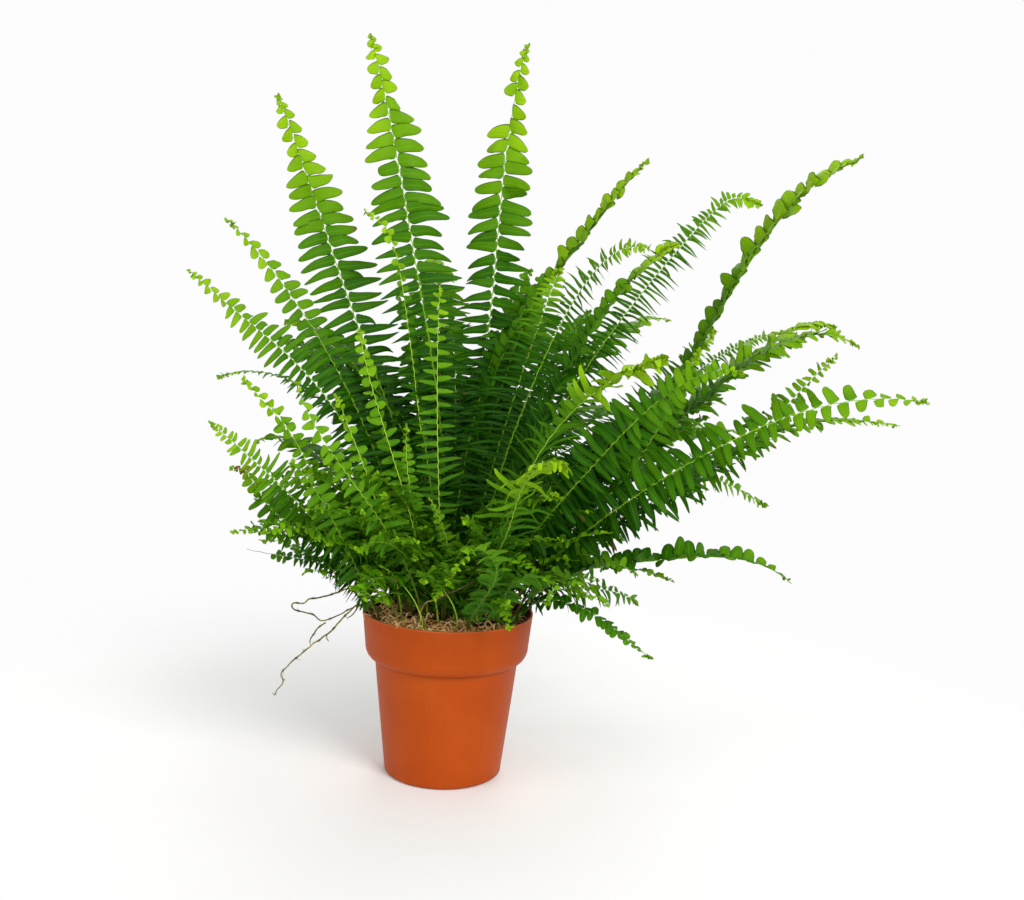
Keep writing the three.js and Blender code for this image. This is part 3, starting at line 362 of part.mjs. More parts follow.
    [227.2,-50.0,155.9,-0.203,-0.961,-0.188,1.0,1.0]] },
  { name: 'frond_f22', tone: 'mature', stations: [
    [50.0,4.0,107.8,0.345,-0.858,-0.379,0.9,0.9], [53.0,5.0,120.0,0.367,-0.856,-0.364,0.9,0.9], [56.4,6.3,120.5,0.412,-0.850,-0.328,9.2,9.2],
    [60.3,8.1,121.2,0.526,-0.808,-0.265,16.3,16.3], [64.5,10.4,124.1,0.616,-0.757,-0.218,11.5,17.4], [69.0,13.8,126.1,0.674,-0.703,-0.229,11.5,18.6],
    [73.8,18.3,127.1,0.707,-0.651,-0.278,12.7,19.5], [78.8,23.9,127.3,0.693,-0.634,-0.343,16.0,20.0], [83.9,29.5,127.0,0.645,-0.651,-0.401,20.0,20.0],
    [89.2,34.8,126.3,0.578,-0.685,-0.443,20.0,20.0], [94.6,39.4,125.5,0.509,-0.721,-0.470,20.0,20.0], [100.1,43.5,124.6,0.442,-0.753,-0.487,19.9,19.9],
    [105.7,47.1,123.7,0.377,-0.780,-0.499,18.3,18.3], [111.4,50.3,122.7,0.308,-0.802,-0.511,16.1,16.1], [117.2,53.0,121.4,0.229,-0.820,-0.525,13.5,13.5],
    [123.0,55.3,119.8,0.135,-0.833,-0.536,10.4,10.4], [128.8,57.3,117.7,0.026,-0.842,-0.539,7.2,7.2], [134.4,58.9,114.9,-0.095,-0.847,-0.523,4.8,4.8],
    [139.6,60.0,111.3,-0.170,-0.836,-0.522,1.2,1.2]] },
  { name: 'frond_f23', tone: 'mature', stations: [
    [42.0,-31.0,108.2,-0.633,-0.767,-0.101,0.9,0.9], [44.0,-32.7,119.7,-0.569,-0.792,-0.220,0.9,0.9], [47.0,-34.7,120.0,-0.347,-0.887,-0.304,6.4,6.4],
    [50.9,-37.4,125.5,-0.236,-0.913,-0.332,8.7,11.4], [55.6,-40.6,130.1,-0.272,-0.887,-0.373,8.1,12.2], [61.1,-43.9,133.7,-0.294,-0.903,-0.313,8.1,13.0],
    [67.1,-46.3,135.8,-0.227,-0.949,-0.221,8.9,13.6], [73.3,-47.5,136.4,-0.142,-0.975,-0.168,14.0,14.0], [79.7,-48.2,135.8,-0.134,-0.980,-0.145,14.0,14.0],
    [86.0,-48.9,134.3,-0.177,-0.976,-0.124,14.0,14.0], [92.1,-49.9,132.0,-0.223,-0.969,-0.104,14.0,14.0], [98.0,-51.1,129.3,-0.256,-0.962,-0.089,14.0,14.0],
    [103.7,-52.5,126.1,-0.277,-0.958,-0.078,12.8,12.8], [109.2,-53.9,122.7,-0.287,-0.955,-0.073,11.3,11.3], [114.6,-55.2,119.1,-0.289,-0.955,-0.072,9.5,9.5],
    [119.9,-56.6,115.3,-0.285,-0.956,-0.075,7.3,7.3], [125.3,-57.8,111.5,-0.274,-0.958,-0.082,5.0,5.0], [130.6,-59.0,107.7,-0.258,-0.962,-0.092,3.4,3.4],
    [136.1,-60.0,104.1,-0.247,-0.964,-0.098,0.9,0.9]] },
  { name: 'frond_f24', tone: 'young', stations: [
    [29.0,-43.0,108.4,-0.738,0.675,-0.025,0.9,0.9], [26.4,-45.8,121.5,-0.765,0.643,-0.010,0.9,0.9], [24.6,-48.2,121.5,-0.814,0.580,0.036,4.6,4.6],
    [23.3,-50.1,121.4,-0.851,0.514,0.110,8.2,8.2], [22.6,-51.6,121.3,-0.912,0.410,0.015,8.7,0.9], [22.1,-52.9,121.4,-0.896,-0.275,-0.348,9.3,0.9],
    [22.0,-54.4,124.9,-0.889,-0.414,-0.194,9.7,0.9], [22.2,-56.4,128.5,-0.898,-0.409,-0.159,10.0,0.9], [22.8,-59.0,132.2,-0.899,-0.424,-0.112,10.0,6.7],
    [23.8,-61.6,135.8,-0.879,-0.476,-0.032,10.0,10.0], [25.3,-64.1,138.9,-0.801,-0.590,0.100,9.2,10.0], [27.7,-66.1,141.0,-0.546,-0.820,0.170,4.6,8.6],
    [30.9,-67.3,141.1,-0.329,-0.914,-0.236,4.6,4.9], [34.0,-67.9,139.2,-0.485,-0.747,-0.454,6.2,4.3], [36.9,-68.5,136.6,-0.630,-0.683,-0.370,6.8,4.3],
    [39.3,-69.7,133.6,-0.743,-0.632,-0.222,5.2,5.2], [41.3,-71.5,130.5,-0.828,-0.555,-0.084,3.6,3.6], [42.6,-73.7,127.2,-0.885,-0.462,0.063,2.4,2.4],
    [43.0,-75.9,123.6,-0.897,-0.416,0.150,0.9,0.9]] },
  { name: 'frond_c4', tone: 'young', stations: [
    [-5.0,-27.0,111.8,0.929,0.348,0.129,0.9,0.9], [-5.9,-27.2,118.5,0.924,0.354,0.147,0.9,0.9], [-7.2,-27.3,125.7,0.915,0.360,0.179,0.9,0.9],
    [-8.7,-27.3,133.0,0.907,0.366,0.206,0.9,0.9], [-10.4,-27.4,140.2,0.899,0.371,0.232,0.9,0.9], [-12.3,-27.7,147.5,0.890,0.373,0.261,0.9,0.9],
    [-14.3,-28.5,155.0,0.881,0.373,0.290,2.9,2.9], [-16.3,-30.0,162.6,0.876,0.371,0.308,8.0,8.0], [-18.3,-31.8,170.2,0.875,0.371,0.311,9.0,8.2],
    [-20.2,-33.5,177.9,0.879,0.371,0.301,9.0,8.2], [-22.1,-35.0,185.5,0.885,0.371,0.281,9.0,8.2], [-23.9,-36.3,193.2,0.893,0.370,0.257,9.0,9.0],
    [-25.6,-37.3,200.8,0.901,0.368,0.228,8.2,8.2], [-27.1,-38.1,208.5,0.910,0.365,0.195,7.3,7.3], [-28.3,-38.8,216.3,0.919,0.361,0.156,6.1,6.1],
    [-29.2,-39.3,224.0,0.927,0.357,0.111,4.7,4.7], [-29.8,-39.7,231.8,0.934,0.353,0.060,3.2,3.2], [-30.0,-39.9,239.7,0.937,0.349,0.003,2.2,2.2],
    [-29.8,-40.0,247.5,0.939,0.344,-0.026,0.9,0.9]] },
  { name: 'frond_c9', tone: 'young', stations: [
    [8.0,-38.0,110.6,0.961,0.274,-0.031,0.9,0.9], [8.3,-38.7,113.8,0.953,0.302,0.029,0.9,0.9], [8.2,-39.4,117.5,0.935,0.324,0.142,0.9,0.9],
    [7.7,-40.1,121.2,0.903,0.348,0.251,0.9,0.9], [6.7,-40.8,124.8,0.861,0.371,0.349,0.9,0.9], [5.4,-41.4,128.3,0.814,0.391,0.429,0.9,0.9],
    [3.7,-42.1,131.7,0.770,0.406,0.491,0.9,0.9], [1.8,-42.7,134.9,0.734,0.418,0.536,0.9,0.9], [-0.3,-43.2,138.0,0.707,0.426,0.565,0.9,0.9],
    [-2.5,-43.6,141.0,0.691,0.432,0.580,0.9,0.9], [-4.8,-43.8,143.9,0.686,0.436,0.583,3.9,3.9], [-7.1,-43.9,146.7,0.690,0.437,0.576,7.0,7.0],
    [-9.5,-43.8,149.5,0.701,0.436,0.565,6.4,6.4], [-11.8,-43.7,152.4,0.713,0.433,0.552,3.4,5.6], [-14.0,-43.8,155.4,0.727,0.426,0.539,3.4,4.7],
    [-16.0,-44.3,158.5,0.747,0.415,0.519,3.6,3.6], [-17.8,-45.1,161.9,0.778,0.404,0.482,2.5,2.5], [-19.3,-46.2,165.4,0.815,0.398,0.421,1.7,1.7],
    [-20.5,-47.3,169.1,0.840,0.384,0.383,0.9,0.9]] },
  { name: 'frond_c6', tone: 'young', stations: [
    [5.0,-20.0,111.9,0.952,0.303,0.047,0.9,0.9], [5.0,-20.7,116.3,0.951,0.306,0.054,0.9,0.9], [4.9,-21.4,121.3,0.949,0.308,0.070,0.9,0.9],
    [4.7,-22.2,126.3,0.946,0.311,0.087,0.9,0.9], [4.5,-23.0,131.2,0.943,0.315,0.105,0.9,0.9], [4.2,-23.9,136.2,0.940,0.319,0.124,0.9,0.9],
    [3.8,-24.7,141.1,0.935,0.324,0.144,2.6,2.6], [3.3,-25.6,146.1,0.930,0.329,0.164,7.1,7.1], [2.6,-26.3,151.0,0.924,0.335,0.184,8.0,8.0],
    [1.8,-26.9,155.8,0.917,0.342,0.205,8.0,8.0], [0.8,-27.4,160.7,0.909,0.348,0.228,7.2,8.0], [-0.3,-27.8,165.5,0.899,0.354,0.258,7.1,8.0],
    [-1.6,-28.3,170.3,0.886,0.360,0.291,7.3,7.3], [-3.1,-28.7,175.1,0.872,0.366,0.325,6.5,6.5], [-4.7,-29.2,179.9,0.857,0.371,0.357,5.4,5.4],
    [-6.6,-29.6,184.6,0.842,0.377,0.386,4.2,4.2], [-8.7,-29.8,189.2,0.827,0.382,0.413,2.9,2.9], [-11.1,-29.8,193.6,0.811,0.387,0.440,1.9,1.9],
    [-13.6,-29.6,198.0,0.802,0.390,0.453,0.9,0.9]] },
  { name: 'frond_cz', tone: 'young', stations: [
    [-15.0,-46.0,108.8,0.966,0.258,-0.021,0.9,0.9], [-14.5,-47.6,111.1,0.940,0.340,0.034,0.9,0.9], [-14.3,-49.1,119.5,0.873,0.465,0.145,0.9,0.9],
    [-14.4,-50.5,119.5,0.717,0.110,0.688,0.9,0.9], [-14.7,-51.8,120.4,0.752,0.460,0.472,0.9,0.9], [-15.3,-53.0,123.5,0.820,0.442,0.363,0.9,0.9],
    [-16.2,-54.1,126.6,0.815,0.409,0.410,0.9,0.9], [-17.4,-55.1,129.7,0.786,0.412,0.460,0.9,0.9], [-18.7,-56.2,132.7,0.751,0.423,0.507,0.9,0.9],
    [-20.2,-57.2,135.7,0.716,0.432,0.549,0.9,0.9], [-21.9,-58.3,138.6,0.680,0.439,0.587,0.9,0.9], [-23.8,-59.4,141.4,0.645,0.444,0.622,0.9,0.9],
    [-25.8,-60.5,144.1,0.609,0.447,0.655,0.9,0.9], [-27.8,-61.8,146.8,0.573,0.449,0.685,0.9,0.9], [-30.0,-63.2,149.4,0.536,0.450,0.714,0.9,0.9],
    [-32.2,-64.7,152.0,0.499,0.449,0.741,1.0,1.0], [-34.5,-66.3,154.4,0.463,0.448,0.765,0.9,0.9], [-36.9,-68.1,156.7,0.428,0.444,0.787,0.9,0.9],
    [-39.3,-69.8,159.0,0.406,0.447,0.797,0.9,0.9]] },
  { name: 'frond_n1', tone: 'mature', stations: [
    [15.0,-37.0,109.6,-0.995,-0.052,0.080,0.9,0.9], [16.1,-46.3,116.2,-0.993,-0.075,0.096,0.9,0.9], [17.8,-55.6,123.0,-0.985,-0.117,0.123,0.9,4.2],
    [19.9,-64.7,129.5,-0.978,-0.150,0.148,12.7,12.7], [22.3,-72.8,135.4,-0.968,-0.177,0.177,8.1,15.7], [24.7,-79.7,140.9,-0.958,-0.195,0.208,8.1,16.7],
    [27.2,-85.6,146.0,-0.955,-0.198,0.222,17.5,17.5], [29.4,-91.2,151.0,-0.961,-0.183,0.207,18.0,18.0], [31.4,-96.9,155.9,-0.973,-0.150,0.174,18.0,18.0],
    [33.0,-102.6,160.8,-0.986,-0.099,0.130,11.8,18.0], [33.9,-108.2,165.6,-0.997,-0.024,0.068,11.8,18.0], [33.9,-113.5,170.3,-0.997,0.077,-0.022,17.9,17.9],
    [32.8,-118.7,175.0,-0.973,0.195,-0.126,16.5,16.5], [30.6,-123.8,179.5,-0.922,0.319,-0.219,14.5,14.5], [27.1,-129.1,183.7,-0.844,0.479,-0.241,12.2,12.2],
    [22.5,-134.9,185.9,-0.765,0.644,-0.012,9.4,9.4], [17.4,-140.7,183.9,-0.796,0.529,0.296,6.4,6.4], [12.9,-145.6,179.1,-0.859,0.367,0.357,4.3,4.3],
    [8.9,-150.0,173.1,-0.882,0.315,0.350,1.1,1.1]] },
  { name: 'frond_n2', tone: 'mature', stations: [
    [34.0,-35.0,109.4,-0.965,-0.262,0.013,0.9,0.9], [34.7,-37.2,118.8,-0.964,-0.266,0.015,0.9,0.9], [35.4,-39.4,118.0,-0.965,-0.261,0.001,4.2,3.5],
    [35.9,-41.6,120.9,-0.967,-0.255,-0.006,6.8,3.5], [36.5,-43.9,125.2,-0.967,-0.256,-0.005,10.8,3.9], [37.2,-46.5,129.5,-0.965,-0.262,0.004,12.7,16.7],
    [38.0,-49.4,133.8,-0.964,-0.267,0.012,16.2,17.5], [39.1,-52.9,138.2,-0.964,-0.266,0.008,18.0,18.0], [40.4,-57.7,142.7,-0.965,-0.262,0.002,18.0,8.2],
    [42.0,-63.8,147.3,-0.963,-0.270,0.008,18.0,18.0], [44.1,-70.8,151.8,-0.953,-0.303,0.026,18.0,18.0], [46.8,-78.0,155.8,-0.931,-0.362,0.053,17.9,17.9],
    [50.0,-84.9,159.1,-0.894,-0.442,0.076,16.5,16.5], [53.9,-91.5,161.5,-0.848,-0.524,0.077,14.5,12.6], [58.5,-97.9,163.0,-0.808,-0.587,0.051,12.2,12.2],
    [63.5,-104.4,163.6,-0.807,-0.590,-0.019,9.4,9.4], [68.0,-111.0,162.3,-0.946,-0.324,-0.036,6.4,6.4], [67.8,-116.3,157.0,-0.942,0.006,0.336,4.3,4.3],
    [64.3,-120.0,151.9,-0.843,0.060,0.534,1.1,1.1]] },
  { name: 'frond_b1', tone: 'deep', stations: [
    [-10.0,36.0,110.3,0.990,0.139,-0.000,0.9,0.9], [-10.5,39.3,130.2,0.990,0.139,-0.000,0.9,0.9], [-11.1,43.8,150.3,0.990,0.139,-0.000,0.9,0.9],
    [-11.9,49.5,170.1,0.990,0.139,-0.000,6.1,6.1], [-12.9,56.3,189.5,0.990,0.139,-0.000,20.1,20.1], [-13.9,64.0,208.5,0.990,0.139,-0.000,26.0,26.0],
    [-15.1,72.1,227.3,0.990,0.139,-0.000,27.3,27.3], [-16.3,80.9,245.8,0.990,0.139,-0.000,28.0,28.0], [-17.7,90.7,263.8,0.990,0.139,0.000,28.0,28.0],
    [-19.3,101.9,281.0,0.990,0.139,0.000,28.0,28.0], [-21.0,114.4,297.3,0.990,0.139,0.000,28.0,28.0], [-23.0,128.3,312.4,0.990,0.139,0.000,27.9,27.9],
    [-25.1,143.4,326.3,0.990,0.139,-0.000,25.6,25.6], [-27.4,159.8,338.7,0.990,0.139,-0.000,22.6,22.6], [-29.9,177.3,349.3,0.990,0.139,-0.000,19.0,19.0],
    [-32.5,195.8,358.1,0.990,0.139,0.000,14.6,14.6], [-35.2,215.1,364.9,0.990,0.139,0.000,10.0,10.0], [-38.0,235.1,369.6,0.990,0.139,0.000,6.7,6.7],
    [-40.8,255.4,372.1,0.990,0.139,-0.000,1.7,1.7]] },
  { name: 'frond_b2', tone: 'deep', stations: [
    [12.0,38.0,110.0,0.961,-0.276,0.000,0.9,0.9], [13.1,41.8,128.2,0.961,-0.276,0.000,0.9,0.9], [14.5,46.9,146.6,0.961,-0.276,0.000,0.9,0.9],
    [16.3,53.0,164.7,0.961,-0.276,0.000,6.1,6.1], [18.4,60.2,182.3,0.961,-0.276,-0.000,20.1,20.1], [20.8,68.5,199.5,0.961,-0.276,-0.000,26.0,26.0],
    [23.4,77.8,216.0,0.961,-0.276,-0.000,27.3,27.3], [26.4,88.2,231.9,0.961,-0.276,-0.000,28.0,28.0], [29.6,99.5,247.0,0.961,-0.276,-0.000,28.0,28.0],
    [33.2,111.8,261.2,0.961,-0.276,-0.000,28.0,28.0], [37.0,125.2,274.4,0.961,-0.276,-0.000,28.0,28.0], [41.1,139.5,286.5,0.961,-0.276,-0.000,27.9,27.9],
    [45.5,154.8,297.2,0.961,-0.276,0.000,25.6,25.6], [50.1,171.0,306.3,0.961,-0.276,0.000,22.6,22.6], [55.0,188.0,313.8,0.961,-0.276,0.000,19.0,19.0],
    [60.1,205.6,319.4,0.961,-0.276,0.000,14.6,14.6], [65.2,223.7,323.1,0.961,-0.276,0.000,10.0,10.0], [70.5,242.0,324.7,0.961,-0.276,0.000,6.7,6.7],
    [75.8,260.4,324.2,0.961,-0.276,0.000,1.7,1.7]] },
  { name: 'frond_b3', tone: 'deep', stations: [
    [-28.0,36.0,109.6,0.809,0.588,-0.000,0.9,0.9], [-32.3,42.0,126.3,0.809,0.588,-0.000,0.9,0.9], [-37.4,49.0,142.8,0.809,0.588,-0.000,0.9,0.9],
    [-43.1,56.8,158.5,0.809,0.588,-0.000,5.7,5.7], [-49.1,65.1,173.5,0.809,0.588,-0.000,18.6,18.6], [-55.1,73.3,188.1,0.809,0.588,0.000,24.1,24.1],
    [-61.1,81.5,202.6,0.809,0.588,0.000,25.3,25.3], [-67.2,89.9,216.9,0.809,0.588,-0.000,26.0,26.0], [-73.4,98.6,230.9,0.809,0.588,-0.000,26.0,26.0],
    [-79.9,107.4,244.8,0.809,0.588,-0.000,22.8,26.0], [-86.6,116.7,258.6,0.809,0.588,0.000,23.6,26.0], [-94.0,126.8,271.9,0.809,0.588,0.000,25.9,25.9],
    [-102.2,138.1,283.7,0.809,0.588,0.000,23.8,23.8], [-111.4,150.7,293.5,0.809,0.588,-0.000,21.0,21.0], [-121.3,164.4,301.1,0.809,0.588,0.000,17.6,17.6],
    [-131.7,178.7,306.5,0.809,0.588,0.000,13.5,13.5], [-142.4,193.5,309.7,0.809,0.588,0.000,9.3,9.3], [-153.4,208.5,310.7,0.809,0.588,0.000,6.2,6.2],
    [-164.3,223.6,309.7,0.809,0.588,-0.000,1.6,1.6]] },
  { name: 'frond_b4', tone: 'deep', stations: [
    [28.0,38.0,109.2,0.788,-0.616,0.000,0.9,0.9], [31.1,41.9,127.5,0.788,-0.616,0.000,0.9,0.9], [35.0,47.0,145.8,0.788,-0.616,0.000,0.9,0.9],
    [39.9,53.2,163.4,0.788,-0.616,0.000,5.7,5.7], [45.7,60.7,180.2,0.788,-0.616,-0.000,18.6,18.6], [52.3,69.1,196.1,0.788,-0.616,-0.000,24.1,16.7],
    [58.8,77.5,211.7,0.788,-0.616,-0.000,25.3,16.7], [64.9,85.3,227.8,0.788,-0.616,-0.000,26.0,19.0], [71.0,93.1,244.1,0.788,-0.616,-0.000,26.0,26.0],
    [77.8,101.8,259.8,0.788,-0.616,0.000,26.0,26.0], [85.6,111.8,274.3,0.788,-0.616,-0.000,26.0,26.0], [94.4,123.1,287.2,0.788,-0.616,-0.000,25.9,25.9],
    [104.1,135.4,298.6,0.788,-0.616,0.000,23.8,23.8], [114.5,148.7,308.2,0.788,-0.616,-0.000,21.0,21.0], [125.5,162.8,315.9,0.788,-0.616,-0.000,17.6,17.6],
    [136.9,177.4,321.7,0.788,-0.616,0.000,13.5,13.5], [148.6,192.4,325.4,0.788,-0.616,0.000,9.3,9.3], [160.6,207.7,327.0,0.788,-0.616,0.000,6.2,6.2],
    [172.5,223.0,326.6,0.788,-0.616,-0.000,1.6,1.6]] },
  { name: 'frond_b5', tone: 'deep', stations: [
    [-0.0,46.0,109.8,0.999,0.035,-0.000,0.9,0.9], [-0.2,52.6,125.7,0.999,0.035,-0.000,0.9,0.9], [-0.5,60.6,141.6,0.999,0.035,-0.000,0.9,0.9],
    [-0.8,69.9,156.8,0.999,0.035,0.000,5.4,5.4], [-1.2,80.3,171.2,0.999,0.035,0.000,17.9,17.9], [-1.6,91.8,184.8,0.999,0.035,0.000,23.2,23.2],
    [-2.0,104.2,197.5,0.999,0.035,-0.000,24.4,24.4], [-2.5,117.7,209.1,0.999,0.035,-0.000,25.0,25.0], [-3.0,131.9,219.7,0.999,0.035,0.000,25.0,25.0],
    [-3.5,147.0,229.1,0.999,0.035,-0.000,25.0,25.0], [-4.1,162.8,237.2,0.999,0.035,0.000,25.0,25.0], [-4.7,179.3,243.9,0.999,0.035,0.000,24.9,24.9],
    [-5.3,196.4,248.9,0.999,0.035,-0.000,22.9,22.9], [-5.9,213.8,252.3,0.999,0.035,0.000,20.2,20.2], [-6.5,231.5,253.7,0.999,0.035,0.000,16.9,16.9],
    [-7.1,249.3,253.2,0.999,0.035,0.000,13.0,13.0], [-7.7,266.9,250.6,0.999,0.035,-0.000,9.0,9.0], [-8.3,284.1,246.0,0.999,0.035,-0.000,6.0,6.0],
    [-8.9,300.6,239.6,0.999,0.035,0.000,1.5,1.5]] },
  { name: 'frond_b6', tone: 'deep', stations: [
    [-40.0,34.0,108.1,0.719,0.695,-0.000,0.9,0.9], [-44.2,38.4,119.7,0.719,0.695,-0.000,0.9,0.9], [-49.0,43.4,131.4,0.719,0.695,-0.000,0.9,0.9],
    [-54.4,48.9,142.6,0.719,0.695,0.000,4.8,4.8], [-60.3,55.1,153.2,0.719,0.695,-0.000,15.8,15.8], [-66.8,61.7,163.2,0.719,0.695,0.000,20.4,20.4],
    [-73.6,68.8,172.6,0.719,0.695,0.000,21.4,21.4], [-80.9,76.4,181.2,0.719,0.695,-0.000,22.0,22.0], [-88.7,84.4,189.1,0.719,0.695,-0.000,22.0,22.0],
    [-96.8,92.8,196.1,0.719,0.695,0.000,22.0,22.0], [-105.2,101.5,202.2,0.719,0.695,0.000,22.0,22.0], [-114.0,110.6,207.2,0.719,0.695,0.000,21.9,21.9],
    [-123.0,120.0,211.2,0.719,0.695,-0.000,20.1,20.1], [-132.3,129.6,213.9,0.719,0.695,0.000,17.7,17.7], [-141.7,139.3,215.4,0.719,0.695,-0.000,14.9,14.9],
    [-151.2,149.1,215.4,0.719,0.695,0.000,11.5,11.5], [-160.6,158.9,214.1,0.719,0.695,-0.000,7.9,7.9], [-169.8,168.5,211.4,0.719,0.695,-0.000,5.3,5.3],
    [-178.9,177.8,207.2,0.719,0.695,-0.000,1.3,1.3]] },
  { name: 'frond_b7', tone: 'deep', stations: [
    [40.0,30.0,108.4,0.559,-0.829,0.000,0.9,0.9], [45.9,34.0,123.4,0.559,-0.829,-0.000,0.9,0.9], [52.3,38.3,138.0,0.559,-0.829,-0.000,0.9,0.9],
    [59.6,43.2,152.5,0.559,-0.829,0.000,4.8,4.8], [67.9,48.8,166.3,0.559,-0.829,0.000,8.0,15.8], [77.2,55.1,179.1,0.559,-0.829,0.000,20.4,20.4],
    [87.3,61.9,191.2,0.559,-0.829,0.000,21.4,21.4], [97.8,69.0,202.8,0.559,-0.829,0.000,22.0,20.4], [109.1,76.6,213.4,0.559,-0.829,0.000,9.4,20.4],
    [121.6,85.1,221.9,0.559,-0.829,-0.000,6.8,22.0], [135.2,94.2,227.7,0.559,-0.829,-0.000,6.8,22.0], [149.2,103.7,231.5,0.559,-0.829,-0.000,21.9,21.9],
    [163.1,113.0,234.6,0.559,-0.829,-0.000,20.1,20.1], [176.9,122.3,237.0,0.559,-0.829,0.000,17.7,17.7], [190.7,131.7,238.5,0.559,-0.829,0.000,14.9,14.9],
    [204.6,141.0,238.6,0.559,-0.829,0.000,11.5,11.5], [218.3,150.3,237.3,0.559,-0.829,0.000,7.9,7.9], [231.9,159.5,234.4,0.559,-0.829,0.000,5.3,5.3],
    [245.2,168.4,229.9,0.559,-0.829,-0.000,1.3,1.3]] },
  { name: 'frond_b8', tone: 'deep', stations: [
    [16.0,48.0,108.1,0.914,-0.407,0.000,0.9,0.9], [20.2,57.4,119.5,0.914,-0.407,-0.000,0.9,0.9], [24.7,67.5,128.6,0.914,-0.407,-0.000,0.9,0.9],
    [29.5,78.3,137.9,0.914,-0.407,-0.000,4.6,4.6], [34.5,89.6,146.3,0.914,-0.407,-0.000,15.0,15.0], [39.8,101.5,153.8,0.914,-0.407,0.000,19.5,19.5],
    [45.3,113.8,160.3,0.914,-0.407,0.000,20.5,20.5], [51.0,126.6,165.9,0.914,-0.407,0.000,21.0,21.0], [56.8,139.6,170.4,0.914,-0.407,0.000,21.0,21.0],
    [62.7,153.0,173.9,0.914,-0.407,0.000,21.0,21.0], [68.8,166.5,176.2,0.914,-0.407,0.000,21.0,21.0], [74.8,180.2,177.4,0.914,-0.407,0.000,20.9,20.9],
    [81.0,193.9,177.4,0.914,-0.407,0.000,19.2,19.2], [87.0,207.5,176.1,0.914,-0.407,0.000,16.9,16.9], [93.0,221.0,173.4,0.914,-0.407,-0.000,14.2,14.2],
    [98.9,234.2,169.4,0.914,-0.407,0.000,10.9,10.9], [104.6,247.0,164.1,0.914,-0.407,0.000,7.5,7.5], [110.1,259.3,157.4,0.914,-0.407,0.000,5.0,5.0],
    [115.3,270.9,149.4,0.914,-0.407,0.000,1.3,1.3]] },
  { name: 'frond_b9', tone: 'deep', stations: [
    [-18.0,46.0,108.2,0.883,0.469,-0.000,0.9,0.9], [-22.0,53.5,120.7,0.883,0.469,-0.000,0.9,0.9], [-26.4,61.9,133.0,0.883,0.469,-0.000,0.9,0.9],
    [-31.4,71.2,144.5,0.883,0.469,0.000,4.8,4.8], [-36.8,81.3,155.0,0.883,0.469,-0.000,15.8,15.8], [-42.5,92.1,164.6,0.883,0.469,-0.000,20.4,20.4],
    [-48.6,103.5,173.3,0.883,0.469,0.000,21.4,21.4], [-54.9,115.5,180.9,0.883,0.469,0.000,22.0,22.0], [-61.6,128.0,187.4,0.883,0.469,0.000,22.0,22.0],
    [-68.4,140.9,192.7,0.883,0.469,-0.000,22.0,22.0], [-75.5,154.1,196.9,0.883,0.469,-0.000,22.0,22.0], [-82.7,167.6,199.7,0.883,0.469,0.000,21.9,21.9],
    [-89.9,181.3,201.1,0.883,0.469,0.000,20.1,20.1], [-97.3,195.1,201.1,0.883,0.469,-0.000,17.7,17.7], [-104.5,208.7,199.6,0.883,0.469,0.000,14.9,14.9],
    [-111.7,222.2,196.4,0.883,0.469,0.000,11.5,11.5], [-118.6,235.3,191.7,0.883,0.469,0.000,7.9,7.9], [-125.3,247.8,185.4,0.883,0.469,0.000,5.3,5.3],
    [-131.7,259.8,177.7,0.883,0.469,0.000,1.3,1.3]] },
];

// ------------------------------------------------------------------- helpers
const wasm = await Module();
wasm.setup();

const root = new THREE.Group();
root.name = 'potted_fern';

function addMesh(name, geometry, material) {
  geometry.computeVertexNormals();
  const m = new THREE.Mesh(geometry, material);
  m.name = name;
  root.add(m);
  return m;
}

// A closed triangle mesh becomes a solid for a cut or a join.
function toSolid(geometry) {
  let g = geometry.clone();
  g.deleteAttribute('normal');
  g.deleteAttribute('uv');
  g = mergeVertices(g, 1e-4);
  return new wasm.Manifold(new wasm.Mesh({
    numProp: 3,
    vertProperties: new Float32Array(g.attributes.position.array),
    triVerts: new Uint32Array(g.index.array),
  }));
}
function fromSolid(solid) {
  const m = solid.getMesh();
  const g = new THREE.BufferGeometry();
  const n = m.vertProperties.length / m.numProp;
  const pos = new Float32Array(n * 3);
  for (let i = 0; i < n; i++)
    for (let k = 0; k < 3; k++) pos[i * 3 + k] = m.vertProperties[i * m.numProp + k];
  g.setAttribute('position', new THREE.BufferAttribute(pos, 3));
  g.setIndex(new THREE.BufferAttribute(new Uint32Array(m.triVerts), 1));
  return g;
}
function indexed(pos, idx) {
  const g = new THREE.BufferGeometry();
  g.setAttribute('position', new THREE.BufferAttribute(new Float32Array(pos), 3));
  g.setIndex(idx);
  return g;
}
// Rings of equal size joined into one closed body, first and last ring capped.
function loft(rings) {
  const pos = [], idx = [], m = rings[0].length, n = rings.length;
  for (const r of rings) for (const p of r) pos.push(p[0], p[1], p[2]);
  for (let i = 0; i < n - 1; i++)
    for (let j = 0; j < m; j++) {
      const a = i * m + j, b = i * m + (j + 1) % m, c = a + m, d = b + m;
      idx.push(a, b, d, a, d, c);
    }
  for (let j = 1; j < m - 1; j++) {
    idx.push(0, j + 1, j);
    const o = (n - 1) * m;
    idx.push(o, o + j, o + j + 1);
  }
  return indexed(pos, idx);
}
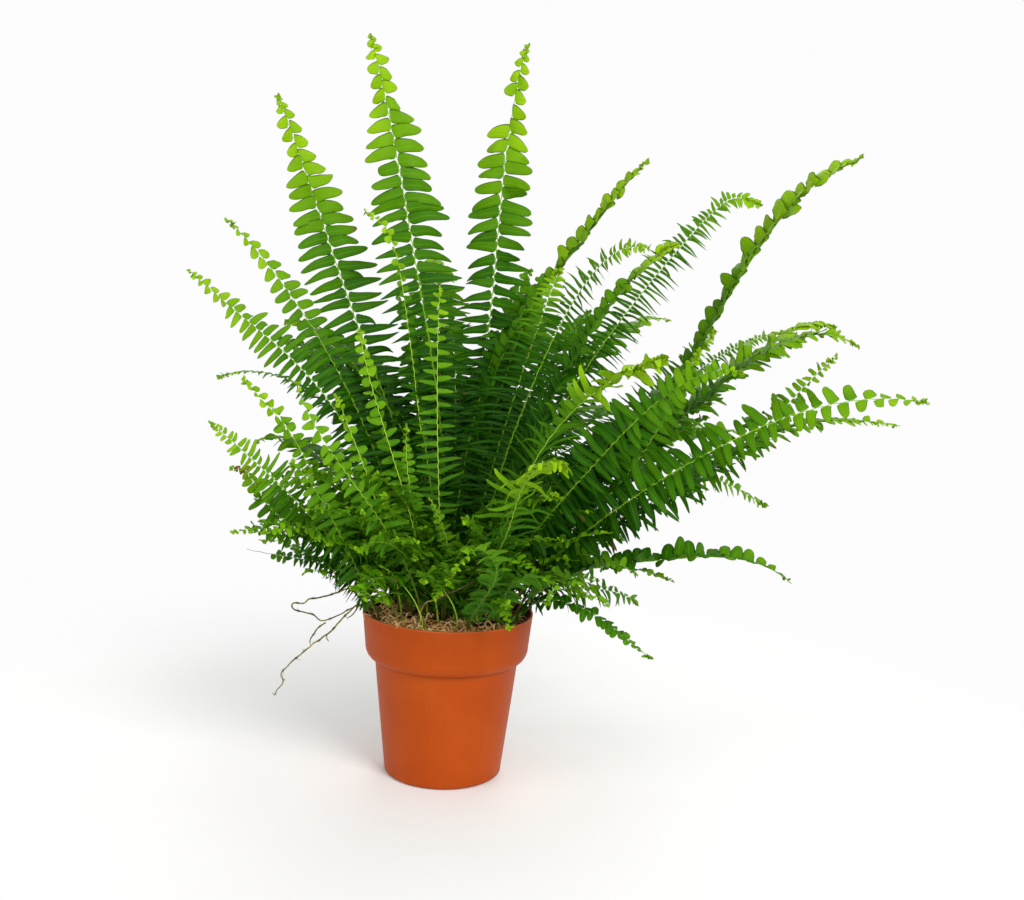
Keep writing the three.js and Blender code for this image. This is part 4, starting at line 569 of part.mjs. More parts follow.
// A round-ish wire of constant radius along a list of points, closed at its ends.
function wire(points, radius, steps, sides = 6) {
  const curve = new THREE.CatmullRomCurve3(
    points.map((p) => new THREE.Vector3(...p)), false, 'centripetal');
  const rings = [];
  let up = new THREE.Vector3(0.3, 0.2, 1).normalize();
  for (let i = 0; i <= steps; i++) {
    const u = i / steps;
    const c = curve.getPointAt(u), t = curve.getTangentAt(u);
    up = up.clone().addScaledVector(t, -up.dot(t)).normalize();
    const side = new THREE.Vector3().crossVectors(t, up);
    const r = radius * (u > 0.96 ? 0.75 : 1);
    const ring = [];
    for (let j = 0; j < sides; j++) {
      const a = (2 * Math.PI * j) / sides;
      const p = c.clone().addScaledVector(up, r * Math.cos(a)).addScaledVector(side, r * Math.sin(a));
      ring.push([p.x, p.y, p.z]);
    }
    rings.push(ring);
  }
  return loft(rings);
}

// Height of the mounded growing medium.
function soilTop(x, y) {
  const r = Math.hypot(x, y);
  return SOIL_CENTRE_HEIGHT - SOIL_EDGE_DROP * (r / SOIL_EDGE_RADIUS) ** 2
    + 0.7 * Math.sin(0.19 * x + 1.3) * Math.cos(0.16 * y - 0.4);
}

// ----------------------------------------------------------------------- pot
function potGeometry() {
  const zLip = POT_HEIGHT, zTurn = zLip - COLLAR_DEPTH, zCrease = zLip - SHOULDER_DROP;
  const taper = (BODY_TOP_RADIUS - BASE_RADIUS) / (zCrease - 0);
  const outer = [];
  outer.push([0, 0]);
  outer.push([BASE_RADIUS - FOOT_CHAMFER, 0]);
  outer.push([BASE_RADIUS + taper * FOOT_CHAMFER, FOOT_CHAMFER]);
  outer.push([BODY_TOP_RADIUS - 0.25, zCrease - 0.9]);
  outer.push([BODY_TOP_RADIUS + 0.9, zCrease]);
  // rounded turn from the crease out to the collar
  for (let i = 1; i <= 5; i++) {
    const a = (i / 6) * Math.PI / 2;
    outer.push([BODY_TOP_RADIUS + 0.9 + (COLLAR_FOOT_RADIUS - BODY_TOP_RADIUS - 0.9) * Math.sin(a),
      zCrease + (zTurn - zCrease) * (1 - Math.cos(a))]);
  }
  outer.push([COLLAR_FOOT_RADIUS, zTurn]);
  outer.push([RIM_RADIUS - 0.15, zLip - 0.8]);
  outer.push([RIM_RADIUS - 0.5, zLip]);
  const inner = [];
  inner.push([RIM_RADIUS - LIP_WALL + 0.35, zLip]);
  inner.push([RIM_RADIUS - LIP_WALL, zLip - 0.5]);
  inner.push([COLLAR_FOOT_RADIUS - WALL, zTurn]);
  for (let i = 5; i >= 1; i--) {
    const a = (i / 6) * Math.PI / 2;
    inner.push([BODY_TOP_RADIUS + 0.9 - WALL + (COLLAR_FOOT_RADIUS - BODY_TOP_RADIUS - 0.9) * Math.sin(a),
      zCrease + 0.9 + (zTurn - zCrease - 0.9) * (1 - Math.cos(a))]);
  }
  inner.push([BODY_TOP_RADIUS - WALL, zCrease - 0.3]);
  inner.push([BASE_RADIUS - WALL - 0.2, FLOOR_THICKNESS + 1.5]);
  inner.push([BASE_RADIUS - WALL - 1.7, FLOOR_THICKNESS]);
  inner.push([0, FLOOR_THICKNESS]);
  const pts = outer.concat(inner).map(([r, z]) => new THREE.Vector2(r, z));
  const g = new THREE.LatheGeometry(pts, POT_SEGMENTS);
  g.rotateX(Math.PI / 2);
  return g;
}
function drainCutter(angle) {
  const g = new THREE.BoxGeometry(DRAIN_LENGTH, DRAIN_WIDTH, FLOOR_THICKNESS + 4);
  g.translate(DRAIN_RADIUS, 0, FLOOR_THICKNESS / 2);
  g.rotateZ(angle);
  return g;
}
{
  let pot = toSolid(potGeometry());
  for (let i = 0; i < DRAIN_COUNT; i++)
    pot = pot.subtract(toSolid(drainCutter((2 * Math.PI * (i + 0.5)) / DRAIN_COUNT)));
  addMesh('nursery_pot', fromSolid(pot), POT_MAT);
}

// ------------------------------------------------------------ growing medium
// Inside radius of the pot at a height, less the clearance.
function mediumRadius(z) {
  const zLip = POT_HEIGHT, zTurn = zLip - COLLAR_DEPTH, zCrease = zLip - SHOULDER_DROP;
  if (z >= zTurn) return COLLAR_FOOT_RADIUS - WALL - GAP
    + (RIM_RADIUS - LIP_WALL - COLLAR_FOOT_RADIUS + WALL) * (z - zTurn) / (COLLAR_DEPTH - 0.5) - 0.25;
  if (z >= zCrease + 0.5) {
    const k = (z - zCrease - 0.5) / (zTurn - zCrease - 0.5);
    return BODY_TOP_RADIUS - WALL - GAP - 0.3 + (COLLAR_FOOT_RADIUS - BODY_TOP_RADIUS) * 0.86 * Math.sqrt(1 - (1 - k) ** 2) * k;
  }
  const t = (z - FLOOR_THICKNESS - 1.5) / (zCrease - FLOOR_THICKNESS - 1.5);
  return BASE_RADIUS - WALL - 0.2 - GAP - 0.2 + (BODY_TOP_RADIUS - BASE_RADIUS + 0.0) * Math.max(t, 0) - 0.15;
}
{
  const SEG = 40, zs = [FLOOR_THICKNESS + GAP, FLOOR_THICKNESS + 2.2, 30, 60, POT_HEIGHT - SHOULDER_DROP - 0.2,
    POT_HEIGHT - SHOULDER_DROP + 3.0, POT_HEIGHT - SHOULDER_DROP + 6.0, POT_HEIGHT - COLLAR_DEPTH + 0.5];
  const pos = [], idx = [];
  const ring = (r, zf) => {
    for (let j = 0; j < SEG; j++) {
      const a = (2 * Math.PI * j) / SEG, x = r * Math.cos(a), y = r * Math.sin(a);
      pos.push(x, y, zf(x, y));
    }
  };
  pos.push(0, 0, FLOOR_THICKNESS + GAP);
  ring(mediumRadius(zs[0]) - 2.0, () => zs[0]);
  for (const z of zs.slice(1)) ring(mediumRadius(z), () => z);
  const rTop = mediumRadius(SOIL_CENTRE_HEIGHT - SOIL_EDGE_DROP - 1.2);
  ring(rTop, (x, y) => soilTop(x, y));
  for (const k of [0.86, 0.7, 0.52, 0.34, 0.17]) ring(rTop * k, soilTop);
  pos.push(0, 0, soilTop(0, 0));
  const rings = zs.length + 1 + 5, last = pos.length / 3 - 1;
  for (let j = 0; j < SEG; j++) idx.push(0, 1 + (j + 1) % SEG, 1 + j);
  for (let i = 0; i < rings - 1; i++)
    for (let j = 0; j < SEG; j++) {
      const a = 1 + i * SEG + j, b = 1 + i * SEG + (j + 1) % SEG, c = a + SEG, d = b + SEG;
      idx.push(a, b, d, a, d, c);
    }
  const o = 1 + (rings - 1) * SEG;
  for (let j = 0; j < SEG; j++) idx.push(last, o + j, o + (j + 1) % SEG);
  addMesh('growing_medium', indexed(pos, idx), SOIL_MAT);
}

// ------------------------------------------------------------- rhizome crown
// Short upright rhizome that the youngest leaves come up around.
{
  const SEG = 14, prof = [[0.75, 0], [1.0, 0.25], [0.98, 0.5], [0.74, 0.78], [0.38, 0.95]];
  const cx = CROWN_XY[0], cy = CROWN_XY[1];
  let zBase = -1e9;
  for (let j = 0; j < SEG; j++) {
    const a = (2 * Math.PI * j) / SEG;
    zBase = Math.max(zBase, soilTop(cx + CROWN_RADIUS * Math.cos(a), cy + CROWN_RADIUS * Math.sin(a)), soilTop(cx, cy));
  }
  zBase += GAP + 0.15;
  const rings = prof.map(([k, h], i) => {
    const ring = [];
    for (let j = 0; j < SEG; j++) {
      const a = (2 * Math.PI * j) / SEG, r = CROWN_RADIUS * k * (1 + 0.1 * Math.sin(3 * a + i));
      ring.push([cx + r * Math.cos(a), cy + r * Math.sin(a), zBase + CROWN_HEIGHT * h]);
    }
    return ring;
  });
  addMesh('rhizome_crown', loft(rings), CROWN_MAT);
}

// ------------------------------------------------------------------- stolons
for (const s of STOLONS) {
  let solid = null;
  for (const strand of s.strands) {
    const w = toSolid(wire(strand.points, STOLON_RADIUS * (strand.k || 1), strand.steps));
    solid = solid ? solid.add(w) : w;
  }
  addMesh(s.name, fromSolid(solid), STOLON_MAT);
}

// -------------------------------------------------------------------- fronds
// Each station of a frond: rachis point, unit direction across the blade, and
// the blade's half width to the left and to the right. The section is a slim
// diamond: blade edges at the half widths, rachis thickness in the middle.
function frondGeometry(stations) {
  const rings = [];
  const P = stations.map((s) => new THREE.Vector3(s[0], s[1], s[2]));
  for (let i = 0; i < stations.length; i++) {
    const a = P[Math.max(i - 1, 0)], b = P[Math.min(i + 1, P.length - 1)];
    const t = b.clone().sub(a).normalize();
    const across = new THREE.Vector3(stations[i][3], stations[i][4], stations[i][5]);
    across.addScaledVector(t, -across.dot(t)).normalize();
    const n = new THREE.Vector3().crossVectors(across, t);
    const wl = stations[i][6], wr = stations[i][7];
    const slim = Math.max(wl, wr) < 1.2;
    const h = slim ? (i > stations.length - 3 ? 0.5 : STIPE_RADIUS) : BLADE_CORE;
    const at = (u, v) => {
      const p = P[i].clone().addScaledVector(across, u).addScaledVector(n, v);
      return [p.x, p.y, p.z];
    };
    rings.push([at(-wl, 0), at(0, h), at(wr, 0), at(0, -h)]);
  }
  return loft(rings);
}
for (const f of FRONDS) addMesh(f.name, frondGeometry(f.stations), FROND_MATS[f.tone]);

export default root;
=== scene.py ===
import math

import bmesh
import bpy
import numpy as np
from mathutils import Euler, Matrix, Vector
from mathutils import noise as mnoise


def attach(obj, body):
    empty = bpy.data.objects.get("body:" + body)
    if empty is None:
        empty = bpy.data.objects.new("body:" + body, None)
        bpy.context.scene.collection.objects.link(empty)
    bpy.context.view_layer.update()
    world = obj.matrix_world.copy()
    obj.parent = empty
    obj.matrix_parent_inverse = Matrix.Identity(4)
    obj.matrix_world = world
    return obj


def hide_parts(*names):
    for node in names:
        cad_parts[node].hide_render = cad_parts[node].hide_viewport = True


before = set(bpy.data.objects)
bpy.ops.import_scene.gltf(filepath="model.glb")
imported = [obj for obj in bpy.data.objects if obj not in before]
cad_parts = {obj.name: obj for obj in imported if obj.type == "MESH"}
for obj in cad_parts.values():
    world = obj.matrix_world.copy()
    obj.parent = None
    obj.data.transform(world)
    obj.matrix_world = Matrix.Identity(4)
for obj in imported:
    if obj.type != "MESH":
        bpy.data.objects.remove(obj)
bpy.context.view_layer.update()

# A sword fern in a 12 cm nursery pot. Every frond, stolon and the pot follow
# the routes and sizes of the CAD model, in millimetres, +Z up, with the origin
# at the centre of the pot's underside; MM turns them into metres.
MM = 0.001

# Stolons: each one or more strands, as points and a thickness.
STOLONS = [
    ("stolon_loop", [
        ([(-42, -7, 111), (-50, -7, 114.5), (-58.5, -7, 119), (-68.7, -7, 128.5), (-78.3, -7.5, 125.4), (-89.3, -8.2, 121.8), (-96.8, -9.2, 120.7), (-100.3, -10.3, 117.9), (-106.8, -11.4, 117.9), (-108.2, -12.5, 116), (-105.5, -13.5, 113.5), (-97.8, -14, 111.9), (-92.2, -14, 110.7), (-88.1, -13.2, 107.1), (-83.4, -12.2, 107.1), (-75.2, -11.5, 110.8), (-67.8, -11, 115.3), (-59.3, -11.5, 119), (-53, -11.5, 114.8), (-44.5, -11, 110.8)], 1),
    ]),
    ("stolon_long", [
        ([(-45, -20.5, 110.4), (-50, -22, 113.5), (-55.2, -23.5, 119.4), (-61.1, -25, 121.9), (-66.3, -26.1, 117.1), (-70.8, -27.1, 112.3), (-78.6, -28.2, 103.1), (-85.1, -29.3, 98.2), (-92.3, -30.4, 92.6), (-101.4, -31.3, 84.1), (-106.6, -32, 78.5), (-109.5, -32.7, 75.8), (-110.4, -33, 73), (-109, -33, 69.6), (-109.6, -33, 66.4), (-113.1, -32.1, 62.1), (-114.6, -31.1, 58.1), (-116.5, -30, 59.1)], 1),
        ([(-80.4, -28.5, 101.6), (-80.7, -29.1, 99.4), (-78.9, -29.5, 96.8)], 0.75),
        ([(-83.9, -14.2, 105.7), (-88, -17.2, 103.2), (-90.9, -21.7, 99.7), (-92.1, -26.2, 97.1), (-91.9, -29.3, 95.2), (-91.1, -30.2, 93.6)], 0.85),
        ([(-54.2, -23.2, 118.6), (-59.2, -24.3, 121.5), (-62.1, -24.4, 117.5), (-64.4, -24.7, 114.4), (-67.7, -25, 112.5)], 0.9),
    ]),
    ("stolon_front", [
        ([(-22, -50, 108.6), (-20, -50.5, 111.9), (-13.6, -51, 131.2), (-7.7, -51, 134.2), (-1.9, -51, 137.1), (3.9, -50.5, 139.6), (9.7, -50, 142.5), (16.1, -49, 145.9), (21.9, -48, 148.3), (25.2, -47, 147.5), (26.7, -46, 144.7)], 1),
    ]),
]

# Fronds: name, age (0 full grown, 1 just unrolled), half width, bare share of
# the stipe, build, and stations from foot to tip: x, y, z of the rachis, the
# direction across the blade and the half width of the blade there.
FRONDS = [
    ("frond_f1", 0.0, 31, 0.14, "F1", [
        (-6, 14, 112.1, .955, .279, -.098, 0), (-5.9, 21.6, 135, .956, .28, -.088, 0), (-6.3, 29.6, 158.1, .957, .284, -.067, 0),
        (-7.5, 38, 181.3, .957, .289, -.038, 7.2), (-9.4, 46, 204.6, .955, .296, 0, 24.1), (-12.1, 52.8, 228.2, .951, .304, .048, 30.8),
        (-15.7, 58, 251.8, .946, .311, .096, 31), (-19.8, 61.7, 275.2, .94, .314, .133, 31), (-24.5, 64.8, 298.4, .937, .315, .153, 31),
        (-29.5, 68, 321.3, .935, .315, .161, 31), (-34.7, 71.6, 344.2, .936, .314, .161, 31), (-39.8, 75.2, 367.2, .936, .314, .159, 30.6),
        (-44.9, 78.7, 390.2, .936, .314, .161, 29.5), (-50, 82.2, 413.2, .935, .313, .167, 24.7), (-55.4, 85.4, 436.3, .933, .312, .178, 22.6),
        (-60.9, 88.3, 459.4, .931, .31, .193, 18.1), (-66.8, 90.9, 482.5, .927, .308, .212, 9.1), (-73.1, 93.1, 505.6, .923, .306, .235, 8.5),
        (-79.8, 95, 528.5, .921, .302, .247, 1.6),
    ]),
    ("frond_f2", 0.0, 27, 0.14, "F1", [
        (4, 19, 111.4, .986, -.164, .025, 0), (4.7, 26.9, 133.6, .986, -.164, .02, 0), (5.9, 35.7, 155.9, .986, -.166, .01, 0),
        (7.3, 45.1, 178.3, .986, -.167, .001, 6.3), (9, 54.6, 201, .985, -.17, -.011, 21), (10.9, 63.1, 223.9, .984, -.174, -.026, 26.9),
        (13, 69.9, 247.2, .983, -.178, -.039, 27), (15, 75.4, 270.5, .983, -.18, -.044, 27), (16.9, 80, 293.8, .982, -.181, -.044, 27),
        (18.6, 83.8, 317.2, .982, -.182, -.043, 27), (20.1, 86.3, 340.4, .982, -.183, -.04, 27), (21.3, 87.7, 363.6, .982, -.184, -.037, 26.6),
        (22.3, 88.8, 386.8, .982, -.183, -.038, 25.7), (23.5, 89.9, 409.8, .982, -.182, -.046, 21.5), (24.9, 91.2, 432.9, .982, -.18, -.062, 19.7),
        (26.9, 92.5, 456, .98, -.176, -.088, 15.7), (29.5, 93.7, 479, .977, -.171, -.125, 7.9), (33.1, 94.6, 502, .971, -.166, -.17, 7.4),
        (37.8, 95, 524.8, .968, -.159, -.196, 1.4),
    ]),
    ("frond_f3", 0.0, 29, 0.14, "F1", [
        (-16, 22, 111.9, .901, .429, .057, 0), (-20.3, 28.2, 133.2, .902, .429, .055, 0), (-24.3, 33.9, 154.8, .901, .429, .06, 0),
        (-28.6, 39.6, 176.2, .898, .432, .083, 6.7), (-33.7, 45.3, 197.5, .891, .437, .123, 22.5), (-40.2, 51.6, 218.2, .88, .443, .169, 28.8),
        (-48.1, 58.3, 238.3, .871, .446, .208, 29), (-56.7, 65.2, 258, .863, .448, .234, 29), (-65.8, 72, 277.5, .859, .449, .247, 29),
        (-74.9, 78.3, 297.2, .858, .45, .25, 29), (-83.7, 84, 317.2, .857, .451, .248, 29), (-92.2, 89.1, 337.4, .856, .454, .248, 28.6),
        (-100.6, 93.6, 357.9, .854, .456, .251, 27.6), (-108.8, 97.6, 378.5, .851, .457, .257, 23.1), (-117, 101.1, 399.2, .848, .458, .266, 21.2),
        (-125.3, 104, 420, .845, .459, .277, 16.9), (-133.6, 106.5, 440.9, .84, .458, .291, 8.5), (-142.1, 108.5, 461.7, .834, .458, .307, 7.9),
        (-150.8, 110, 482.4, .832, .456, .316, 1.5),
    ]),
    ("frond_f4", 0.0, 24, 0.14, "t", [
        (-27, 14, 110.8, .851, .522, .056, 0), (-30.1, 17.1, 128.3, .848, .525, .07, 0), (-33.9, 20.5, 145.6, .842, .531, .099, 0),
        (-38.5, 24, 162.7, .834, .536, .13, 6), (-43.7, 27.5, 179.5, .826, .54, .16, 19.6), (-49.6, 31.2, 196, .819, .543, .186, 24),
        (-56.3, 35.3, 212.2, .813, .544, .208, 24), (-63.6, 39.8, 228.1, .806, .544, .233, 24), (-71.6, 44.5, 243.7, .796, .546, .263, 23.2),
        (-80.1, 48.9, 259.1, .782, .548, .297, 20.8), (-89.2, 53, 274.2, .766, .549, .333, 18.5), (-98.7, 56.6, 289.2, .749, .55, .368, 16.9),
        (-108.7, 59.8, 304, .732, .55, .403, 15.4), (-119.2, 62.4, 318.5, .713, .549, .435, 13.7), (-130.1, 64.7, 332.7, .694, .547, .468, 11.7),
        (-141.5, 66.5, 346.7, .675, .543, .5, 9.3), (-153.3, 68, 360.4, .65, .538, .537, 6.5), (-165.7, 69.2, 373.4, .615, .532, .583, 3.9),
        (-179, 70, 385.7, .595, .523, .61, 1.2),
    ]),
    ("frond_f5", 0.0, 22, 0.14, "m", [
        (-35, 6, 110.8, .742, .669, .027, 0), (-37.8, 8.4, 126.8, .738, .673, .043, 0), (-41.1, 10.7, 142.7, .73, .679, .075, 0),
        (-45, 12.7, 158.4, .721, .685, .108, 4.8), (-49.6, 14.6, 174, .711, .689, .138, 15.8), (-54.9, 16.7, 189.4, .702, .693, .166, 20.4),
        (-61, 19, 204.3, .689, .696, .201, 21.4), (-68, 21.2, 219, .671, .7, .246, 22), (-76, 23.2, 233.2, .645, .703, .299, 22),
        (-84.9, 24.8, 246.8, .614, .705, .356, 22), (-94.9, 26.1, 259.8, .576, .704, .416, 22), (-105.8, 27.1, 272, .534, .702, .472, 21.9),
        (-117.7, 27.6, 283.4, .494, .698, .518, 20.1), (-130.1, 27.9, 294.1, .463, .694, .551, 17.7), (-142.9, 27.9, 304.3, .441, .691, .573, 14.9),
        (-155.9, 27.5, 314.3, .429, .689, .584, 11.5), (-168.8, 27, 324.4, .426, .69, .585, 7.9), (-181.5, 26.1, 334.7, .434, .692, .577, 5.3),
        (-193.8, 25, 345.5, .439, .695, .569, 1.3),
    ]),
    ("frond_f6", 0.0, 20, 0.14, "m", [
        (-40, 26, 108.4, .103, .979, -.176, 0), (-43.3, 28.8, 122, .105, .977, -.183, 0), (-46.2, 31.8, 135.6, .107, .976, -.189, 0),
        (-49.1, 34.6, 148.9, .108, .976, -.188, 4.4), (-52, 37.5, 162.1, .114, .973, -.203, 14.3), (-55.4, 40.8, 175, .132, .96, -.246, 18.6),
        (-59.3, 45, 187.5, .161, .94, -.3, 19.5), (-64.1, 50.2, 199.7, .193, .924, -.331, 20), (-70, 55.8, 211.4, .219, .919, -.327, 20),
        (-77, 61.4, 222.7, .236, .926, -.293, 20), (-85.3, 66.7, 233.4, .251, .935, -.249, 20), (-95, 71.8, 243.3, .274, .939, -.21, 19.9),
        (-106, 77, 252.3, .3, .939, -.168, 18.3), (-118.2, 82.2, 260, .305, .946, -.107, 16.1), (-131.6, 86.8, 266.2, .273, .962, -.026, 13.5),
        (-145.7, 90.2, 270.4, .209, .976, .061, 10.4), (-160.3, 92.6, 272, .129, .982, .137, 7.2), (-174.9, 94, 270.8, .046, .98, .192, 4.8),
        (-188.8, 95, 266.4, -.006, .971, .238, 1.2),
    ]),
    ("frond_f7", 0.0, 20, 0.1, "m", [
        (-46, -15, 108.9, .779, .463, .423, 0), (-49, -19.6, 119.5, .725, .465, .508, 0), (-52.3, -24.4, 126.6, .672, .456, .583, 1.7),
        (-56, -29.3, 135.1, .659, .483, .577, 10.9), (-60, -34.3, 143.5, .634, .484, .603, 17.4), (-64.2, -39.2, 151.8, .611, .485, .626, 18.6),
        (-68.8, -44.1, 159.8, .587, .489, .645, 19.5), (-73.7, -49, 167.8, .566, .492, .661, 20), (-78.9, -53.7, 175.6, .548, .495, .674, 20),
        (-84.4, -58.3, 183.3, .532, .498, .685, 20), (-90.2, -62.7, 190.9, .519, .501, .692, 20), (-96.3, -66.8, 198.4, .509, .505, .698, 19.9),
        (-102.7, -70.7, 205.8, .501, .508, .701, 18.3), (-109.4, -74.2, 213.1, .497, .511, .701, 16.1), (-116.4, -77.3, 220.3, .495, .514, .7, 13.5),
        (-123.7, -80, 227.4, .496, .517, .697, 10.4), (-131.2, -82.2, 234.5, .5, .52, .693, 7.2), (-138.9, -83.9, 241.4, .507, .522, .686, 4.8),
        (-146.9, -85, 248.2, .51, .523, .683, 1.2),
    ]),
    ("frond_f7b", 0.0, 19, 0.1, "m", [
        (-52, -1, 119.5, -.663, .273, .697, 0), (-54.1, -7.3, 120, -.287, .324, .901, 0), (-56.4, -13.6, 122.7, .243, .565, .789, 1.6),
        (-58.8, -19.7, 130.2, .512, .582, .632, 10.3), (-61.6, -25.2, 137.6, .563, .538, .628, 16.6), (-65, -29.8, 144.5, .539, .542, .645, 17.6),
        (-69.1, -33.8, 151, .484, .554, .677, 18.5), (-73.8, -37.4, 157, .411, .558, .72, 19), (-79.4, -41, 162.5, .337, .556, .76, 19),
        (-85.8, -44.3, 167.3, .291, .558, .777, 19), (-92.6, -47.1, 171.8, .299, .569, .766, 19), (-99.7, -49.2, 176.4, .361, .586, .726, 18.9),
        (-106.6, -50.5, 181.6, .464, .601, .65, 17.4), (-113.1, -50.9, 187.6, .571, .607, .554, 15.3), (-118.9, -50.6, 194.3, .64, .605, .475, 12.9),
        (-124.2, -50.1, 201.5, .669, .605, .432, 9.9), (-129.1, -49.8, 208.9, .635, .615, .467, 6.8), (-134.7, -50, 215.7, .349, .584, .733, 4.6),
        (-143.3, -50, 215.8, .014, .5, .866, 1.1),
    ]),
    ("frond_f8", 0.85, 13, 0.14, "y", [
        (-35, -12, 109.7, .751, .585, .308, 0), (-39, -11.9, 119.4, .73, .593, .339, 0), (-43.7, -12.2, 128.8, .695, .599, .399, 0),
        (-49, -12.8, 138, .658, .602, .451, 3.2), (-54.5, -14.2, 147.2, .623, .601, .501, 10.3), (-60.2, -16.4, 156.3, .595, .597, .538, 13),
        (-66.1, -19.2, 165.5, .583, .595, .554, 12.9), (-71.9, -22.1, 174.8, .588, .595, .548, 12.6), (-77.6, -24.9, 184.1, .604, .597, .528, 12.2),
        (-83.1, -27.4, 193.6, .627, .6, .496, 11.7), (-88.3, -29.6, 203.3, .653, .604, .458, 11.1), (-93.3, -31.3, 213.2, .67, .606, .429, 10.4),
        (-98.3, -32.5, 223, .674, .607, .422, 9.6), (-103.8, -33.1, 232.6, .662, .607, .439, 8.8), (-110, -33.2, 241.7, .635, .605, .48, 7.8),
        (-117.2, -32.9, 250.1, .605, .604, .519, 6.8), (-124.9, -32.2, 257.9, .596, .604, .529, 5.9), (-132.6, -31.2, 265.6, .619, .602, .505, 4.7),
        (-139.9, -30, 273.7, .637, .602, .482, 1.9),
    ]),
    ("frond_f8b", 0.8, 15, 0.16, "t", [
        (-15, -34, 109.4, .874, .416, .251, 0), (-15.9, -38.2, 119.5, .853, .432, .293, 0), (-17.5, -42.5, 129.3, .822, .439, .363, 0),
        (-19.8, -47, 139, .787, .449, .423, 0.9), (-22.7, -51.5, 148.5, .752, .461, .471, 9.3), (-26.2, -55.6, 157.7, .719, .471, .511, 15),
        (-30.2, -59.8, 166.8, .687, .476, .549, 15), (-34.7, -64.3, 175.8, .658, .479, .581, 15), (-39.5, -68.9, 184.7, .635, .482, .604, 14.5),
        (-44.6, -73.5, 193.6, .621, .486, .615, 13), (-50.1, -77.7, 202.4, .613, .492, .618, 11.6), (-55.9, -81.6, 211.2, .613, .496, .615, 10.6),
        (-61.8, -85, 219.9, .62, .501, .603, 9.6), (-67.9, -87.9, 228.8, .638, .505, .581, 8.5), (-73.8, -90.3, 237.8, .665, .51, .546, 7.3),
        (-79.5, -92.2, 247, .7, .514, .496, 5.8), (-84.8, -93.6, 256.6, .739, .518, .431, 4.1), (-89.3, -94.6, 266.6, .779, .52, .349, 2.4),
        (-93, -95, 277, .799, .519, .304, 0.8),
    ]),
    ("frond_f8c", 0.8, 11, 0.14, "y", [
        (-30, -22, 109.6, .821, .476, .315, 0), (-30.5, -26.9, 118.2, .812, .483, .327, 0), (-31.2, -31.7, 127, .802, .487, .346, 0),
        (-32.2, -36.6, 135.8, .791, .492, .364, 2.7), (-33.3, -41.4, 144.7, .781, .5, .374, 8.7), (-34.8, -45.8, 153.5, .774, .514, .37, 11),
        (-36.5, -49.4, 162.2, .77, .529, .356, 11), (-38.5, -52.1, 170.9, .768, .542, .342, 10.7), (-40.7, -54.2, 179.6, .764, .549, .339, 10.3),
        (-43.2, -56.2, 188.3, .759, .553, .343, 9.9), (-45.9, -58, 197, .756, .557, .345, 9.4), (-48.8, -59.6, 205.8, .754, .56, .344, 8.8),
        (-51.8, -60.8, 214.7, .753, .563, .341, 8.1), (-55.1, -61.8, 223.5, .753, .565, .338, 7.4), (-58.5, -62.5, 232.3, .754, .567, .333, 6.6),
        (-62.1, -62.9, 241.2, .755, .568, .327, 5.8), (-65.8, -63, 249.9, .758, .568, .32, 5), (-69.6, -62.7, 258.7, .762, .568, .31, 4),
        (-73.6, -62, 267.3, .765, .568, .305, 1.6),
    ]),
    ("frond_f8d", 0.2, 17, 0.1, "m", [
        (-44, -26, 119.5, -.63, .323, .706, 0), (-46, -29.9, 119.5, -.248, .352, .902, 0), (-48, -34.1, 121.6, .349, .589, .729, 1.4),
        (-49.9, -38.5, 128.3, .618, .559, .552, 9.3), (-51.9, -43, 134.9, .683, .491, .541, 14.8), (-53.9, -47.5, 141.4, .692, .473, .544, 15.8),
        (-55.9, -52.2, 148, .687, .472, .552, 16.6), (-58, -56.9, 154.5, .681, .473, .559, 17), (-60.1, -61.6, 161.1, .676, .476, .563, 17),
        (-62.4, -66.1, 167.6, .672, .482, .562, 17), (-64.8, -70.4, 174.2, .67, .49, .558, 17), (-67.4, -74.3, 180.8, .669, .498, .552, 16.9),
        (-70.2, -77.9, 187.6, .666, .506, .547, 15.6), (-73.2, -81.3, 194.3, .661, .514, .546, 13.7), (-76.5, -84.3, 201.2, .65, .522, .553, 11.5),
        (-80.2, -87, 208, .633, .528, .566, 8.9), (-84.4, -89.2, 214.7, .61, .533, .586, 6.1), (-89.3, -90.9, 221, .583, .535, .611, 4.1),
        (-94.8, -92, 227, .566, .539, .624, 1),
    ]),
    ("frond_ya", 0.9, 12, 0.14, "y", [
        (-13, -20, 112.1, .928, .33, .171, 0), (-13.6, -24.1, 123.2, .921, .339, .19, 0), (-14.6, -27.9, 134.2, .912, .346, .22, 0),
        (-16.1, -31.4, 145.1, .903, .355, .243, 2.9), (-18, -34.3, 155.9, .894, .364, .262, 9.5), (-20.2, -36.7, 166.7, .886, .37, .28, 12),
        (-22.8, -39.1, 177.5, .877, .375, .299, 11.9), (-25.6, -41.4, 188.4, .871, .378, .316, 11.7), (-28.7, -43.7, 199.3, .865, .38, .327, 11.3),
        (-31.9, -45.8, 210.2, .862, .382, .333, 10.8), (-35.4, -47.7, 221.1, .861, .384, .332, 10.3), (-38.9, -49.1, 232, .863, .386, .327, 9.6),
        (-42.5, -50.1, 242.9, .866, .387, .316, 8.9), (-46.1, -50.7, 253.8, .872, .388, .3, 8.1), (-49.7, -50.8, 264.7, .878, .388, .281, 7.2),
        (-53.2, -50.6, 275.7, .886, .387, .256, 6.3), (-56.4, -50.1, 286.7, .894, .387, .227, 5.4), (-59.4, -49.2, 297.8, .902, .386, .194, 4.3),
        (-62.1, -48, 308.9, .906, .386, .175, 1.8),
    ]),
    ("frond_yt", 0.7, 10, 0.14, "y", [
        (-12, 31, 110.7, .905, .418, .073, 0), (-13.3, 30.9, 127.4, .904, .42, .08, 0), (-14.8, 30.7, 144, .902, .422, .092, 0),
